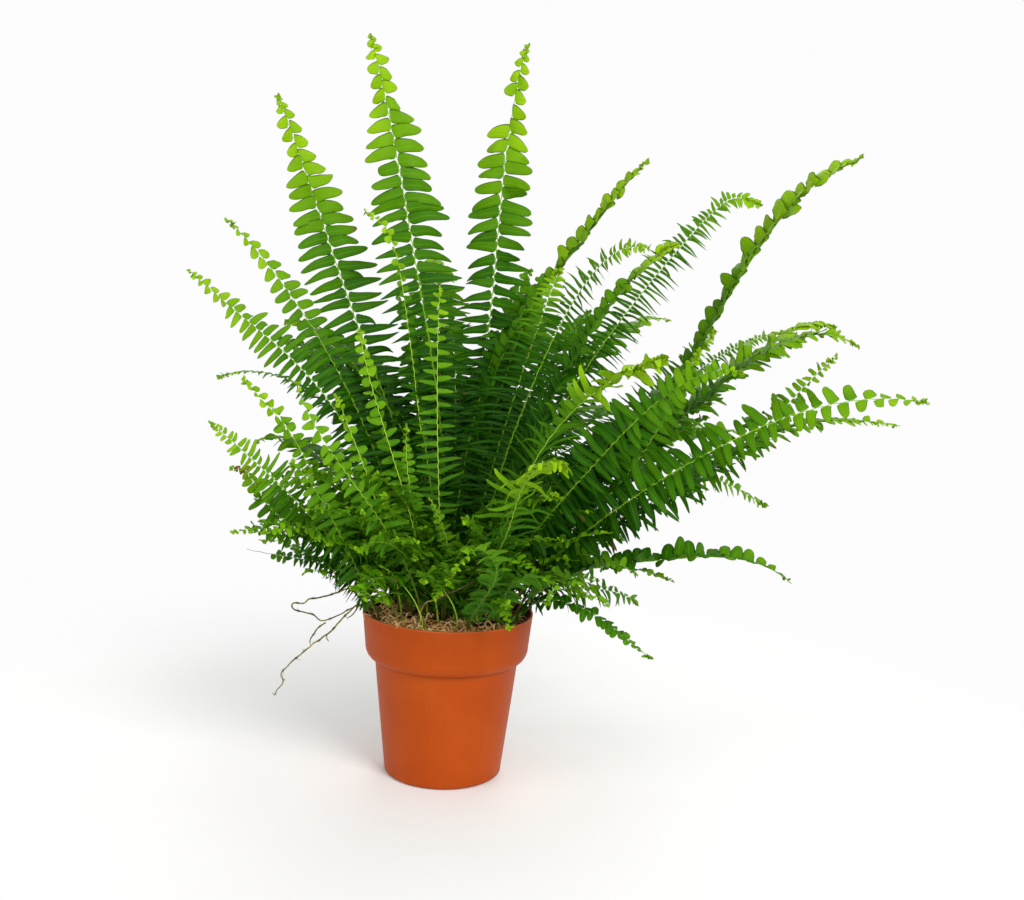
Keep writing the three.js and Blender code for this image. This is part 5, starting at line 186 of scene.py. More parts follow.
        (-16.5, 30.4, 160.5, .901, .423, .098, 2.4), (-18.3, 30.5, 176.8, .9, .424, .097, 7.9), (-20.3, 31.2, 193, .901, .425, .09, 10),
        (-22.5, 32.6, 209, .901, .425, .087, 10), (-24.8, 34.2, 224.9, .9, .426, .089, 9.7), (-27.3, 35.9, 240.9, .9, .426, .094, 9.4),
        (-29.8, 37.6, 256.9, .899, .427, .1, 9), (-32.4, 39.2, 272.9, .898, .427, .107, 8.6), (-35, 40.5, 288.9, .896, .428, .117, 8),
        (-37.8, 41.6, 304.9, .894, .428, .13, 7.4), (-40.6, 42.5, 321, .892, .428, .145, 6.7), (-43.6, 43, 337.1, .889, .427, .164, 6),
        (-46.9, 43.2, 353.2, .88, .425, .211, 5.2), (-51.4, 43.2, 368.9, .837, .416, .355, 4.5), (-59.4, 42.7, 383.2, .679, .388, .624, 3.6),
        (-72.5, 42, 392.7, .537, .347, .769, 1.5),
    ]),
    ("frond_yu", 0.6, 18, 0.26, "y", [
        (-3, -8, 112.4, .973, .209, .097, 0), (-3.7, -10.4, 124.8, .973, .209, .097, 0), (-4.5, -12.7, 137.3, .973, .209, .096, 0),
        (-5.2, -14.8, 149.8, .973, .21, .094, 0), (-6, -16.7, 162.3, .974, .21, .091, 0), (-6.8, -18.5, 174.9, .974, .21, .088, 3.2),
        (-7.6, -20, 187.5, .974, .21, .083, 13.1), (-8.3, -21.4, 200.1, .975, .21, .078, 17.5), (-9, -22.5, 212.7, .975, .209, .072, 16.9),
        (-9.7, -23.4, 225.3, .976, .209, .065, 16.2), (-10.4, -24.2, 238, .976, .209, .058, 15.4), (-11, -24.7, 250.7, .977, .208, .05, 14.4),
        (-11.5, -25, 263.4, .977, .208, .04, 13.3), (-11.9, -25.1, 276.1, .978, .207, .03, 12.1), (-12.3, -24.9, 288.7, .978, .207, .019, 10.8),
        (-12.6, -24.6, 301.4, .978, .207, .008, 9.4), (-12.7, -23.9, 314.1, .979, .206, -.005, 8.1), (-12.7, -23.1, 326.8, .978, .206, -.018, 6.5),
        (-12.6, -22, 339.4, .978, .206, -.025, 2.7),
    ]),
    ("frond_f9", 0.0, 9, 0.05, "m", [
        (-51, 9, 119.5, -.333, .837, .434, 0), (-52.9, 8.3, 119.5, -.282, .852, .441, 0.3), (-55.4, 7.5, 119.5, .073, .921, .384, 4.1),
        (-58.8, 6.8, 124, .228, .922, .314, 7.4), (-62.8, 6.2, 128.7, .235, .905, .354, 7.8), (-67.5, 5.7, 132.7, .2, .903, .38, 8.3),
        (-72.7, 5.3, 136.1, .166, .904, .394, 8.8), (-78.3, 5, 138.8, .14, .904, .404, 9), (-84.1, 4.9, 141, .122, .902, .413, 9),
        (-90, 4.8, 142.7, .111, .9, .421, 9), (-96.1, 4.9, 144.1, .105, .898, .427, 9), (-102.2, 5.1, 145.2, .104, .896, .432, 9),
        (-108.3, 5.4, 146, .108, .894, .436, 8.2), (-114.5, 5.8, 146.7, .116, .892, .437, 7.3), (-120.7, 6.4, 147.3, .13, .89, .436, 6.1),
        (-126.8, 7, 147.9, .15, .889, .432, 4.7), (-132.9, 7.8, 148.5, .176, .888, .425, 3.2), (-139, 8.8, 149.2, .211, .885, .415, 2.2),
        (-145.1, 10, 150.1, .231, .885, .405, 0.5),
    ]),
    ("frond_f10", 0.0, 8, 0.05, "m", [
        (-46, 18, 108.6, .388, .918, -.086, 0), (-50.2, 20.8, 119.5, .494, .866, -.071, 0.3), (-54.8, 23.9, 119.5, .564, .826, -.002, 3.7),
        (-59.7, 27.3, 120.6, .567, .824, .001, 6.5), (-64.7, 30.7, 123.6, .562, .827, -.008, 7), (-70, 34.3, 126.1, .558, .83, -.005, 7.4),
        (-75.3, 37.9, 128.3, .555, .832, .015, 7.8), (-80.8, 41.5, 130.2, .548, .835, .041, 8), (-86.4, 45, 132, .537, .841, .064, 8),
        (-92.1, 48.4, 133.6, .521, .85, .082, 8), (-97.9, 51.7, 135.2, .501, .86, .096, 8), (-103.7, 54.8, 136.8, .477, .872, .106, 8),
        (-109.7, 57.8, 138.5, .45, .886, .116, 7.3), (-115.7, 60.4, 140.4, .418, .899, .13, 6.5), (-121.7, 62.8, 142.4, .384, .91, .157, 5.4),
        (-128, 65, 144.2, .342, .918, .202, 4.2), (-134.4, 66.9, 145.4, .282, .923, .261, 2.9), (-141, 68.6, 145.5, .195, .926, .322, 1.9),
        (-147.6, 70, 144.3, .132, .917, .377, 0.5),
    ]),
    ("frond_f11", 0.0, 20, 0.14, "m", [
        (15, 15, 112, .304, -.926, .222, 0), (15.7, 20, 131.7, .304, -.927, .221, 0), (15.3, 24.5, 151.5, .303, -.927, .219, 0),
        (14.4, 28.9, 171.3, .304, -.928, .216, 4.4), (13.6, 33.2, 191.2, .306, -.929, .208, 14.3), (13.5, 37.5, 211.1, .31, -.931, .195, 18.6),
        (14.7, 41.9, 230.9, .315, -.932, .179, 19.5), (17.5, 46.4, 250.4, .32, -.934, .156, 20), (22, 50.9, 269.7, .321, -.94, .115, 20),
        (28.2, 54.7, 288.6, .312, -.949, .053, 20), (36.3, 57.7, 306.9, .294, -.956, -.013, 20), (46.1, 59.7, 324.5, .274, -.959, -.067, 19.9),
        (57.1, 61.2, 341.5, .255, -.961, -.108, 18.3), (68.8, 62, 358.1, .236, -.961, -.141, 16.1), (80.9, 62.2, 374.4, .22, -.961, -.165, 13.5),
        (92.8, 61.9, 390.9, .213, -.961, -.176, 10.4), (104.4, 61.3, 407.6, .21, -.96, -.183, 7.2), (116.2, 60.6, 424.1, .203, -.959, -.197, 4.8),
        (129.3, 60, 439.6, .2, -.957, -.208, 1.2),
    ]),
    ("frond_f12", 0.0, 24, 0.14, "m", [
        (17, 3, 111.4, .828, -.561, -.003, 0), (18, 4.4, 127.9, .824, -.566, -.021, 0), (19.6, 5.5, 144.5, .818, -.573, -.059, 0),
        (21.8, 6.4, 161, .809, -.579, -.098, 5.2), (24.7, 7, 177.5, .8, -.585, -.138, 17.2), (28.1, 7.2, 193.9, .789, -.589, -.174, 22.3),
        (32, 7.2, 210.2, .781, -.592, -.197, 23.4), (36.3, 7.4, 226.3, .778, -.595, -.204, 24), (41.1, 8.2, 242.2, .776, -.596, -.205, 24),
        (46.4, 9.5, 258, .774, -.597, -.212, 24), (51.9, 11, 273.8, .767, -.598, -.231, 24), (57.8, 12.1, 289.5, .753, -.6, -.27, 23.9),
        (64.1, 12.2, 305.1, .725, -.6, -.338, 22), (71, 10.4, 320.5, .678, -.595, -.433, 19.4), (78.5, 6.6, 335.4, .611, -.585, -.533, 16.3),
        (87.1, 1, 349.4, .517, -.584, -.625, 12.5), (97, -5.7, 362.1, .347, -.571, -.744, 8.6), (109.9, -13.1, 370.9, .026, -.499, -.866, 5.8),
        (125.5, -20, 371.2, -.19, -.471, -.861, 1.4),
    ]),
    ("frond_f12c", 0.0, 31, 0.14, "m", [
        (8, 7, 112.6, .954, -.295, -.058, 0), (9.6, 9.3, 126.7, .952, -.298, -.069, 0), (11.5, 11.6, 140.7, .949, -.302, -.092, 0),
        (13.7, 13.9, 154.7, .945, -.307, -.115, 6.8), (16.3, 16, 168.6, .94, -.312, -.141, 22.2), (19.1, 17.5, 182.4, .933, -.316, -.17, 28.8),
        (22.1, 18.3, 196.3, .927, -.319, -.197, 30.2), (25.4, 18.6, 210.1, .923, -.321, -.211, 31), (28.7, 19.1, 223.8, .922, -.322, -.213, 31),
        (32.2, 20.2, 237.3, .923, -.322, -.209, 31), (35.8, 21.9, 250.8, .924, -.322, -.206, 31), (39.5, 23.9, 264.1, .924, -.321, -.206, 30.9),
        (43.2, 26.2, 277.5, .924, -.321, -.208, 28.4), (47.2, 28.8, 290.9, .924, -.32, -.211, 25), (51.2, 31.5, 304.3, .923, -.32, -.214, 21),
        (55.4, 34.5, 317.8, .922, -.319, -.218, 16.1), (59.7, 37.6, 331.3, .922, -.318, -.222, 11.1), (64.1, 40.9, 344.9, .92, -.319, -.229, 7.4),
        (68.7, 44, 358.6, .918, -.319, -.234, 1.9),
    ]),
    ("frond_f13", 0.0, 25, 0.14, "m", [
        (25, 12, 111.2, .781, -.624, -.024, 0), (28, 14.9, 131.6, .777, -.629, -.041, 0), (32.2, 18.2, 151.7, .768, -.636, -.076, 0),
        (37.5, 21.8, 171.4, .758, -.643, -.11, 5.4), (44, 25.4, 190.9, .747, -.649, -.144, 17.9), (51.4, 29.1, 210, .736, -.653, -.178, 23.2),
        (59.6, 32.8, 228.7, .723, -.657, -.211, 24.4), (68.7, 36.2, 247.2, .71, -.661, -.244, 25), (78.4, 39.4, 265.2, .695, -.663, -.277, 25),
        (88.8, 42.3, 283.1, .679, -.666, -.31, 25), (99.7, 44.7, 300.6, .661, -.667, -.343, 25), (111.2, 46.5, 317.9, .642, -.668, -.376, 24.9),
        (123, 47.7, 334.9, .622, -.668, -.409, 22.9), (135.2, 48.2, 351.8, .602, -.666, -.44, 20.2), (147.8, 48.1, 368.3, .584, -.664, -.468, 16.9),
        (160.8, 47.7, 384.6, .567, -.662, -.491, 13), (174.4, 47.1, 400.4, .509, -.658, -.555, 9), (190.4, 46.3, 413.3, .18, -.604, -.777, 6),
        (209.6, 45, 410.1, -.175, -.499, -.849, 1.5),
    ]),
    ("frond_f13b", 0.0, 20, 0.14, "m", [
        (24, -2, 111.3, .308, -.938, -.16, 0), (26.4, -4.2, 128.4, .299, -.939, -.173, 0), (29.1, -6.6, 145.4, .286, -.938, -.196, 0),
        (32.4, -9.4, 162.1, .274, -.938, -.213, 4.4), (36, -12.2, 178.6, .264, -.94, -.218, 14.3), (40.1, -14.8, 194.8, .257, -.943, -.213, 18.6),
        (44.6, -17.1, 210.7, .254, -.947, -.198, 19.5), (49.5, -18.9, 226.3, .258, -.952, -.166, 20), (54.8, -19.7, 241.6, .267, -.955, -.128, 20),
        (60.7, -19.8, 256.7, .272, -.957, -.105, 20), (67, -19.6, 271.6, .271, -.957, -.104, 20), (73.7, -19.3, 286.2, .27, -.957, -.108, 19.9),
        (81.1, -18.9, 300.7, .279, -.956, -.095, 18.3), (89.2, -17.7, 314.8, .299, -.952, -.072, 16.1), (98.2, -15.6, 328.5, .313, -.947, -.066, 13.5),
        (108.3, -13.2, 341.7, .31, -.947, -.09, 10.4), (119.4, -11.1, 354.2, .291, -.947, -.133, 7.2), (131.5, -9.4, 365.7, .268, -.947, -.175, 4.8),
        (144.8, -8, 376.1, .261, -.944, -.2, 1.2),
    ]),
    ("frond_f14", 0.0, 22, 0.14, "m", [
        (31, 4, 111.3, .31, -.937, .159, 0), (39.3, 10.2, 131.8, .309, -.94, .142, 0), (50.9, 16.6, 150.9, .303, -.946, .116, 0),
        (64.9, 22.9, 168.8, .293, -.952, .087, 4.8), (80.3, 28.8, 186, .261, -.965, .04, 15.8), (96.2, 32.8, 203.2, .2, -.979, -.035, 20.4),
        (111.8, 34, 220.9, .132, -.985, -.115, 21.4), (126.7, 32.7, 239.2, .097, -.983, -.159, 22), (140.8, 30.8, 258, .1, -.983, -.156, 22),
        (153.7, 29.4, 277.4, .117, -.984, -.133, 22), (165.3, 28.4, 297.6, .128, -.985, -.116, 22), (175.9, 27.5, 318.1, .132, -.985, -.11, 21.9),
        (186.2, 26.6, 338.9, .132, -.985, -.112, 20.1), (196.8, 25.6, 359.4, .133, -.984, -.119, 17.7), (208.1, 24.6, 379.5, .133, -.982, -.133, 14.9),
        (220.8, 23.6, 398.7, .134, -.978, -.159, 11.5), (235.6, 22.4, 416.2, .129, -.971, -.2, 7.9), (253.2, 21.2, 430.9, .109, -.961, -.254, 5.3),
        (273.4, 20, 441.7, .099, -.95, -.297, 1.3),
    ]),
    ("frond_f15", 0.0, 22, 0.14, "m", [
        (37, 10, 110.1, .173, -.981, -.082, 0), (43.9, 9.7, 128.7, .151, -.985, -.088, 0), (52.8, 9.2, 146.2, .121, -.987, -.107, 0),
        (63.4, 8.4, 162.5, .091, -.988, -.125, 4.8), (75.3, 7.3, 177.6, .086, -.99, -.115, 15.8), (88.1, 7.1, 191.6, .131, -.99, -.059, 20.4),
        (101.6, 9.2, 204.4, .212, -.977, .021, 21.4), (115.7, 13.7, 216.6, .273, -.959, .077, 22), (130.1, 19.2, 228.6, .292, -.952, .095, 22),
        (144.4, 24.9, 240.8, .289, -.953, .096, 22), (158.6, 30.4, 253.6, .278, -.957, .088, 22), (172.8, 35.5, 266.6, .256, -.965, .063, 21.9),
        (187.2, 39.7, 279.4, .226, -.974, .024, 20.1), (202.2, 43, 291.7, .197, -.98, -.024, 17.7), (218.1, 45.4, 302.8, .172, -.982, -.076, 14.9),
        (235.1, 47.1, 312.3, .145, -.98, -.139, 11.5), (253.4, 48.4, 318.4, .094, -.971, -.222, 7.9), (272.7, 49.3, 318.5, -.021, -.953, -.303, 5.3),
        (290.4, 50, 310.8, -.123, -.924, -.362, 1.3),
    ]),
    ("frond_f15b", 0.0, 23, 0.14, "m", [
        (29, 27, 109.5, .592, -.761, .264, 0), (34.6, 36.7, 124.6, .606, -.756, .247, 0), (41.9, 47, 139.2, .617, -.755, .22, 0),
        (50.5, 57.9, 153.1, .622, -.762, .18, 5), (60.4, 68.5, 166.4, .61, -.783, .122, 16.5), (71.2, 78, 179.3, .584, -.81, .059, 21.3),
        (82.7, 86.5, 192, .556, -.831, .005, 22.4), (94.7, 94, 204.4, .52, -.853, -.049, 23), (107.1, 99.9, 216.7, .455, -.881, -.124, 23),
        (119.4, 103.2, 229.2, .375, -.903, -.21, 23), (131.8, 104.4, 241.8, .325, -.909, -.263, 23), (144.3, 105, 254, .318, -.909, -.271, 22.9),
        (157.1, 106, 265.9, .327, -.907, -.267, 21.1), (170.4, 107.5, 277.4, .324, -.905, -.276, 18.6), (184.2, 108.9, 288.4, .307, -.903, -.299, 15.6),
        (198.6, 110.1, 298.6, .279, -.901, -.333, 12), (213.8, 111, 307.6, .239, -.896, -.374, 8.2), (230, 111.6, 314.9, .185, -.889, -.418, 5.5),
        (246.9, 112, 320, .155, -.88, -.449, 1.4),
    ]),
    ("frond_f16", 0.0, 21, 0.14, "m", [
        (33, 23, 109, .381, -.922, .07, 0), (40.1, 27.3, 126.4, .382, -.922, .066, 0), (49.1, 32.1, 142.9, .378, -.924, .052, 0),
        (59.7, 37.1, 158.5, .357, -.934, .012, 4.6), (71.5, 41, 173.2, .302, -.951, -.064, 15), (84.2, 42.9, 187.3, .233, -.962, -.146, 19.5),
        (97.4, 43.1, 200.8, .203, -.963, -.178, 20.5), (111, 43.7, 213.6, .231, -.961, -.154, 21), (125, 45.8, 225.6, .28, -.953, -.113, 21),
        (139.3, 49.2, 237.3, .331, -.941, -.073, 21), (153.8, 54.1, 248.8, .381, -.924, -.034, 21), (168.7, 60.5, 260.4, .41, -.912, -.01, 20.9),
        (183.8, 67.3, 272, .403, -.915, -.016, 19.2), (199, 73.4, 283.9, .369, -.928, -.045, 16.9), (214.2, 78.2, 296, .329, -.94, -.086, 14.2),
        (229.3, 81.8, 308.2, .295, -.945, -.139, 10.9), (245, 84.4, 319.7, .25, -.943, -.221, 7.5), (263, 86.4, 327, .144, -.93, -.339, 5),
        (282.2, 88, 325.6, .044, -.898, -.439, 1.3),
    ]),
    ("frond_f16b", 0.0, 27, 0.14, "m", [
        (23, 20, 111.3, .804, -.553, -.219, 0), (28.5, 22.5, 125.1, .792, -.56, -.243, 0), (35.2, 25.5, 138.4, .769, -.57, -.289, 0),
        (42.9, 28.9, 150.9, .747, -.578, -.328, 5.9), (51.4, 32.5, 162.8, .731, -.582, -.356, 19.3), (60.5, 36.8, 174.2, .727, -.58, -.368, 25),
        (70.1, 41.9, 185, .732, -.573, -.368, 26.3), (80.1, 48.1, 195.5, .743, -.563, -.361, 27), (90.3, 55.3, 205.7, .755, -.554, -.352, 27),
        (100.7, 63.2, 216, .758, -.551, -.349, 27), (111.1, 70.7, 226.6, .742, -.562, -.365, 27), (121.4, 76.4, 237.6, .705, -.582, -.406, 26.9),
        (131.4, 79.6, 249, .65, -.599, -.467, 24.7), (141.1, 79.8, 260.7, .597, -.603, -.529, 21.8), (150.5, 77.8, 272.6, .566, -.6, -.565, 18.3),
        (159.7, 75.1, 284.4, .563, -.602, -.567, 14.1), (169, 73, 296.1, .572, -.604, -.555, 9.7), (178.5, 71.5, 307.7, .575, -.605, -.551, 6.5),
        (188.1, 70, 319.2, .574, -.605, -.552, 1.6),
    ]),
    ("frond_f17", 0.2, 20, 0.14, "m", [
        (41, 2, 109.7, .72, -.599, -.349, 0), (48.7, 2.5, 124.6, .684, -.616, -.392, 0), (58.4, 3.2, 138.2, .616, -.631, -.471, 0),
        (70, 4.1, 150.4, .551, -.643, -.532, 4.4), (82.8, 5.2, 161.1, .496, -.65, -.576, 14.3), (96.6, 6.3, 170.8, .455, -.653, -.605, 18.6),
        (110.8, 7.6, 179.6, .428, -.655, -.623, 19.5), (125.4, 8.9, 187.9, .418, -.655, -.629, 20), (140, 10.3, 196.1, .422, -.655, -.626, 20),
        (154.6, 11.8, 204.5, .44, -.656, -.613, 20), (168.8, 13.3, 213.5, .467, -.657, -.592, 20), (182.6, 15, 223.1, .494, -.659, -.567, 19.9),
        (195.9, 16.7, 233.3, .52, -.661, -.541, 18.3), (208.8, 18.3, 244.2, .54, -.665, -.516, 16.1), (221, 19.5, 255.8, .554, -.668, -.496, 13.5),
        (232.5, 20.2, 268.1, .564, -.67, -.482, 10.4), (243.3, 20.3, 280.8, .56, -.671, -.486, 7.2), (254.3, 20.2, 293.3, .532, -.668, -.521, 4.8),
        (266.4, 20, 304.8, .511, -.663, -.547, 1.2),
    ]),
    ("frond_nb", 0.35, 26, 0.14, "m", [
        (20, -20, 111.7, -.807, -.577, -.124, 0), (22.4, -26.2, 124.9, -.81, -.573, -.127, 0), (25.1, -33, 137.9, -.815, -.564, -.134, 0),
        (27.9, -40.3, 150.7, -.82, -.554, -.14, 5.7), (31, -48.1, 163.3, -.823, -.55, -.14, 18.6), (34.1, -56, 175.6, -.822, -.554, -.131, 24.1),
        (37.5, -63.5, 187.5, -.819, -.562, -.117, 25.3), (41, -70.8, 199.2, -.817, -.567, -.106, 26), (44.7, -78.3, 210.6, -.817, -.568, -.098, 26),
        (48.9, -86.1, 221.9, -.816, -.572, -.086, 26), (53.5, -94.2, 233, -.81, -.583, -.066, 26), (58.8, -102.4, 243.9, -.798, -.602, -.037, 25.9),
        (64.8, -110.5, 254.4, -.777, -.629, 0, 23.8), (71.8, -118.5, 264.5, -.746, -.665, .043, 21), (79.9, -126.1, 274.1, -.699, -.709, .091, 17.6),
        (89.2, -133.3, 282.8, -.634, -.761, .137, 13.5), (99.8, -139.7, 290.6, -.551, -.816, .174, 9.3), (111.6, -145.4, 297.1, -.452, -.871, .194, 6.2),
        (124.5, -150, 302.2, -.399, -.896, .194, 1.6),
    ]),
    ("frond_nd", 0.4, 22, 0.14, "m", [
        (14, -31, 110.2, -.903, -.429, -.021, 0), (15.8, -35.3, 119.8, -.903, -.429, -.018, 0), (18, -40.3, 129.1, -.903, -.43, -.015, 0),
        (20.6, -46, 137.8, -.904, -.428, -.015, 4.8), (23.4, -52.2, 146.1, -.905, -.424, -.018, 15.8), (26.3, -58.9, 154, -.908, -.417, -.024, 20.4),
        (29.3, -65.9, 161.5, -.913, -.407, -.033, 21.4), (32.2, -73.2, 168.9, -.918, -.395, -.044, 22), (35, -80.7, 176.1, -.923, -.38, -.058, 22),
        (37.5, -88.2, 183.3, -.929, -.362, -.076, 22), (39.6, -95.8, 190.7, -.934, -.344, -.098, 22), (41.4, -103.2, 198.2, -.937, -.33, -.118, 21.9),
        (42.9, -110.5, 205.9, -.936, -.331, -.121, 20.1), (44.6, -117.8, 213.7, -.93, -.354, -.095, 17.7), (46.8, -124.9, 221.4, -.914, -.404, -.038, 14.9),
        (50.2, -131.9, 228.8, -.872, -.488, .05, 11.5), (55.3, -138.5, 235.5, -.773, -.618, .145, 7.9), (62.6, -144.7, 240.2, -.586, -.807, .068, 5.3),
        (71.3, -150, 238, -.536, -.834, -.13, 1.3),
    ]),
    ("frond_bl", 0.0, 27, 0.14, "m", [
        (27, -14, 110.8, .755, -.529, -.388, 0), (30.9, -18.6, 124.5, .726, -.54, -.425, 0), (35.6, -23.7, 137.9, .682, -.54, -.493, 0),
        (41.2, -29.6, 150.8, .635, -.541, -.551, 5.9), (47.3, -35.9, 163.3, .592, -.544, -.595, 19.3), (54, -42.4, 175.4, .561, -.552, -.617, 25),
        (61.2, -48.2, 187, .546, -.567, -.617, 26.3), (68.8, -52.9, 198.1, .541, -.58, -.608, 27), (76.7, -56.8, 208.9, .536, -.587, -.607, 27),
        (84.9, -60.6, 219.8, .528, -.588, -.612, 27), (93.2, -64.6, 230.7, .523, -.59, -.616, 27), (101.5, -68.8, 241.7, .517, -.592, -.619, 26.9),
        (110.1, -72.8, 252.7, .504, -.595, -.627, 24.7), (119.4, -76.5, 263.4, .481, -.597, -.642, 21.8), (129.4, -79.7, 273.5, .448, -.6, -.663, 18.3),
        (140.6, -82, 282.7, .403, -.601, -.69, 14.1), (152.9, -83.5, 290.5, .298, -.59, -.75, 9.7), (166.8, -84.3, 294.9, .023, -.551, -.834, 6.5),
        (181, -85, 292.3, -.181, -.499, -.848, 1.6),
    ]),
    ("frond_f23b", 0.0, 27, 0.14, "m", [
        (33, -5, 110.8, .802, -.47, -.369, 0), (38.7, -4.5, 122.5, .776, -.483, -.405, 0), (45.7, -3.7, 133.5, .73, -.497, -.469, 0),
        (53.8, -2.5, 143.9, .688, -.508, -.519, 5.9), (62.6, -1.4, 153.8, .65, -.515, -.558, 19.3), (72, -0.7, 163.4, .62, -.519, -.588, 25),
        (81.5, -0.6, 172.9, .603, -.52, -.605, 26.3), (91, -0.8, 182.4, .601, -.52, -.608, 27), (100.3, -1.4, 192.2, .613, -.518, -.596, 27),
        (109.1, -2.2, 202.2, .641, -.517, -.567, 27), (117.3, -2.9, 212.7, .683, -.516, -.516, 27), (124.8, -2.7, 223.5, .728, -.513, -.455, 26.9),
        (131.9, -1.4, 234.5, .762, -.509, -.401, 24.7), (138.5, 0.3, 245.8, .781, -.507, -.365, 21.8), (144.7, 1.9, 257.3, .789, -.507, -.346, 18.3),
        (150.6, 3.2, 269, .794, -.508, -.335, 14.1), (156.1, 4.2, 280.9, .796, -.509, -.329, 9.7), (161.5, 4.9, 292.9, .795, -.509, -.33, 6.5),
        (166.8, 5.2, 304.9, .793, -.51, -.332, 1.6),
    ]),
    ("frond_f18", 0.0, 29, 0.1, "t", [
        (36, -17, 109, .762, -.435, -.48, 0), (43.8, -22.1, 126, .713, -.457, -.532, 0), (53.8, -27.4, 141.8, .635, -.464, -.617, 2.8),
        (65.3, -32.8, 156.2, .572, -.474, -.669, 18.2), (77.8, -37.9, 169.7, .533, -.485, -.693, 28.8), (90.8, -42, 182.2, .515, -.495, -.7, 29),
        (104.2, -45.1, 194.2, .501, -.5, -.706, 29), (118.1, -47.6, 205.6, .482, -.502, -.718, 29), (132.5, -50.2, 216.7, .456, -.502, -.735, 28),
        (147.2, -53, 227.4, .43, -.5, -.752, 25.1), (162.4, -56, 237.7, .406, -.498, -.766, 22.4), (177.9, -58.9, 247.5, .38, -.495, -.781, 20.5),
        (194, -61.6, 256.6, .345, -.49, -.8, 18.6), (210.6, -64, 264.7, .3, -.481, -.824, 16.5), (227.8, -66.1, 271.6, .242, -.466, -.851, 14.1),
        (245.7, -67.7, 276.8, .169, -.446, -.879, 11.2), (264, -68.9, 280, .078, -.42, -.904, 7.9), (282.6, -69.7, 280.9, -.028, -.391, -.92, 4.7),
        (301.2, -70, 279.3, -.084, -.363, -.928, 1.5),
    ]),
    ("frond_f19", 0.0, 22, 0.1, "m", [
        (43, -9, 109, -.017, -.981, -.191, 0), (51.7, -12.4, 125.5, -.054, -.982, -.183, 0), (62.5, -15.9, 140.4, -.098, -.978, -.182, 1.8),
        (74.8, -20, 153.9, -.136, -.975, -.177, 12), (88.1, -24.2, 166, -.143, -.978, -.152, 19.2), (102.1, -27.6, 176.9, -.096, -.991, -.098, 20.4),
        (116.5, -28.9, 186.7, .013, -1, -.014, 21.4), (131.3, -27.4, 195.9, .137, -.988, .071, 22), (146.4, -23.5, 204.9, .205, -.971, .12, 22),
        (161.4, -18.8, 214.4, .206, -.971, .124, 22), (176.2, -14.7, 224.5, .174, -.979, .102, 22), (191, -11.4, 234.5, .144, -.987, .07, 21.9),
        (206.2, -8.9, 243.9, .134, -.99, .039, 20.1), (222.2, -6.5, 251.8, .146, -.989, .006, 17.7), (239.1, -3.9, 257.4, .171, -.985, -.034, 14.9),
        (256.8, -0.8, 260.3, .189, -.979, -.082, 11.5), (274.8, 2.6, 261, .191, -.973, -.127, 7.9), (292.7, 6.3, 260.1, .185, -.969, -.164, 5.3),
        (310.6, 10, 258, .18, -.965, -.192, 1.3),
    ]),
    ("frond_f20", 0.0, 20, 0.14, "m", [
        (47, 11, 108.2, .561, -.786, .26, 0), (52.6, 18.8, 119.5, .571, -.786, .237, 0), (59.4, 26.6, 130.1, .57, -.799, .191, 0),
        (67, 33.9, 140.1, .559, -.818, .133, 4.4), (75.6, 40.8, 149.4, .549, -.832, .08, 14.3), (84.9, 47.5, 158, .543, -.839, .036, 18.6),
        (94.9, 54, 165.8, .539, -.842, -.002, 19.5), (105.5, 60.6, 172.9, .533, -.845, -.038, 20), (116.6, 67.1, 179.3, .522, -.85, -.074, 20),
        (128.2, 73.5, 185.1, .506, -.856, -.108, 20), (140.1, 79.6, 190.3, .48, -.865, -.144, 20), (152.4, 85.2, 195.3, .442, -.877, -.187, 19.9),
        (165.2, 90.2, 199.9, .394, -.887, -.242, 18.3), (178.5, 94.5, 203.5, .325, -.892, -.315, 16.1), (192.3, 98.5, 204.3, .214, -.893, -.395, 13.5),
        (206, 102.1, 201.3, .077, -.89, -.449, 10.4), (219, 105.2, 195.8, -.029, -.882, -.47, 7.2), (231.6, 107.8, 189.1, -.087, -.874, -.478, 4.8),
        (244.1, 110, 182.3, -.107, -.868, -.485, 1.2),
    ]),
    ("frond_f21", 0.0, 17, 0.06, "m", [
        (47, -20, 119.5, -.211, -.976, -.056, 0), (50.7, -20.8, 119.5, -.078, -.991, -.112, 0), (56.4, -21.8, 129.2, -.002, -.992, -.129, 6.5),
        (64.1, -23.2, 137.7, -.03, -.985, -.17, 13.9), (73.3, -25, 144.7, -.092, -.979, -.18, 14.8), (83.4, -27.3, 150.2, -.139, -.976, -.171, 15.8),
        (94, -29.7, 154.5, -.15, -.977, -.152, 16.6), (104.9, -31.8, 157.8, -.142, -.981, -.135, 17), (116.1, -33.7, 160.3, -.142, -.982, -.127, 17),
        (127.3, -35.6, 162.4, -.151, -.981, -.125, 17), (138.6, -37.7, 164.3, -.156, -.98, -.124, 17), (149.9, -39.7, 166.3, -.154, -.98, -.123, 16.9),
        (161.2, -41.7, 168.2, -.148, -.981, -.122, 15.6), (172.6, -43.6, 169.6, -.143, -.982, -.123, 13.7), (184.1, -45.3, 170.1, -.141, -.982, -.128, 11.5),
        (195.6, -46.8, 169.3, -.143, -.98, -.139, 8.9), (206.8, -48.1, 166.8, -.156, -.975, -.156, 6.1), (217.5, -49.2, 162.3, -.18, -.969, -.172, 4.1),
        (227.2, -50, 155.9, -.203, -.961, -.188, 1),
    ]),
    ("frond_f22", 0.0, 20, 0.05, "m", [
        (50, 4, 119.5, .345, -.858, -.38, 0), (53, 5, 120, .367, -.856, -.364, 0.8), (56.4, 6.3, 120.5, .412, -.85, -.328, 9.2),
        (60.3, 8.1, 121.2, .526, -.808, -.265, 16.3), (64.5, 10.4, 124.1, .616, -.757, -.218, 17.4), (69, 13.8, 126.1, .673, -.703, -.229, 18.6),
